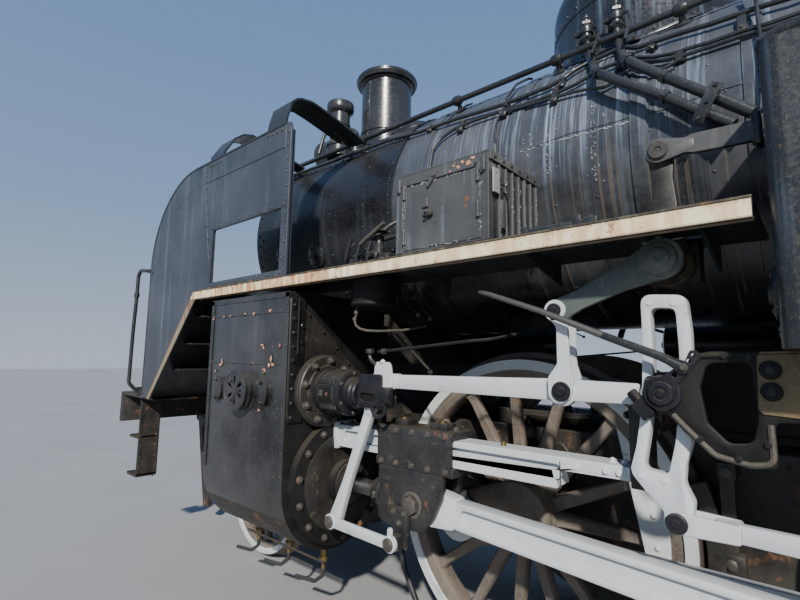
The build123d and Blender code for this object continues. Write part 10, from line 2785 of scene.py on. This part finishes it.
# ------------------------------------------------------------------ injectors and pipes below the cab, sand pipes
p = Piece("underside_pipes", "engine", SLOT_OF.get("cab_steps"))
for side in (1, -1):
    ix, iy, iz = -2.56, side * 1.120, 1.285
    p.lathe((ix - 0.22, iy, iz), (1, 0, 0), [(0.0, 0.0), (0.032, 0.0), (0.032, 0.02), (0.044, 0.024), (0.044, 0.05), (0.036, 0.055), (0.034, 0.16), (0.050, 0.175), (0.054, 0.22), (0.050, 0.26),
                                             (0.034, 0.275), (0.030, 0.36), (0.044, 0.365), (0.044, 0.395), (0.030, 0.40), (0.0, 0.40)], "brass", 30)
    p.lathe((ix, iy, iz + 0.03), (0, 0, 1), [(0.032, 0.0), (0.030, 0.05), (0.042, 0.055), (0.042, 0.075), (0.018, 0.085), (0.016, 0.11), (0.0, 0.112)], "brass", 24)
    pts = [(ix + 0.045 * cos(radians(a)), iy + 0.045 * sin(radians(a)), iz + 0.135) for a in range(0, 360, 24)]
    p.tube(pts, 0.006, "under", 8, closed=True)
    p.lathe((ix, iy, iz - 0.04), (0, 0, -1), [(0.034, 0.0), (0.030, 0.05), (0.040, 0.055), (0.040, 0.075), (0.024, 0.08)], "brass", 24)
    p.tube([(ix, iy, iz - 0.10), (ix, iy, 1.00), (ix - 0.06, iy + side * 0.02, 0.94), (ix - 0.06, iy + side * 0.02, 0.52)], 0.024, "pipe", 14, 0.06)
    p.tube([(ix + 0.18, iy, iz), (ix + 0.30, iy, iz), (ix + 0.36, iy, iz + 0.06), (ix + 0.36, iy, 1.578)], 0.026, "pipe", 14, 0.06)
    p.tube([(ix - 0.22, iy, iz), (ix - 0.34, iy, iz), (ix - 0.40, iy, iz + 0.06), (ix - 0.40, iy - side * 0.02, 1.47)], 0.022, "pipe", 14, 0.06)
    p.box(ix - 0.30, ix - 0.26, iy - 0.035, iy + 0.035, iz + 0.02, 1.45, "under", 0.003)
    p.tube([(ix + 0.14, iy, iz), (ix + 0.14, iy - side * 0.12, iz), (ix + 0.30, iy - side * 0.20, iz + 0.12), (ix + 0.62, iy - side * 0.20, 1.50)], 0.020, "pipe", 12, 0.06)
    # drain valves and hangers under the tanks
    for x in (F(-3420), F(-1700)):
        p.lathe((x, side * 1.20, TANK_LO + 0.002), (0, 0, -1), [(0.050, 0.0), (0.050, 0.012), (0.026, 0.016), (0.024, 0.05), (0.034, 0.055), (0.030, 0.09), (0.0, 0.095)], "brass", 22)
    # rail-height sand pipe ends ahead of the first driver
    p.tube([(D1 + 0.865, side * 0.560, 1.05), (D1 + 0.865, side * 0.560, 0.55), (D1 + 0.80, side * 0.560, 0.30), (D1 + 0.70, side * 0.560, 0.13)], 0.017, "pipe", 12, 0.08)
    p.box(D1 + 0.855, D1 + 0.875, side * 0.440, side * 0.575, 0.96, 0.985, "under", 0.003)
    # heating and brake lines along the rear part of the frame
    p.tube([(BEAM_B + 0.04, side * 0.52, 1.085), (D3 - 1.15, side * 0.52, 1.085), (D3 - 1.05, side * 0.50, 1.12), (D3 - 0.95, side * 0.46, 1.14)], 0.021, "pipe", 12, 0.06)
    for x in (BEAM_B + 0.5, BEAM_B + 1.5, BEAM_B + 2.5):
        p.box(x - 0.012, x + 0.012, side * 0.440, side * 0.545, 1.106, 1.116, "under", 0.002)
        p.box(x - 0.012, x + 0.012, side * 0.541, side * 0.548, 1.062, 1.112, "under", 0.002)
# cab step trim
for side in (1, -1):
    for z in (0.714, 1.074):
        tread_plate(p, CAB_B + 0.12, CAB_B + 0.66, side * 1.06, side * 1.34, z)
        p.box(CAB_B + 0.12, CAB_B + 0.66, side * 1.336, side * 1.344, z - 0.016, z + 0.022, "under", 0.002)
    for x in (CAB_B + 0.14, CAB_B + 0.64):
        for k in range(6):
            p.rivet((x, side * 1.2305, 0.76 + 0.115 * k), (0, side, 0), 0.008, "under", 8)
p.done(35)
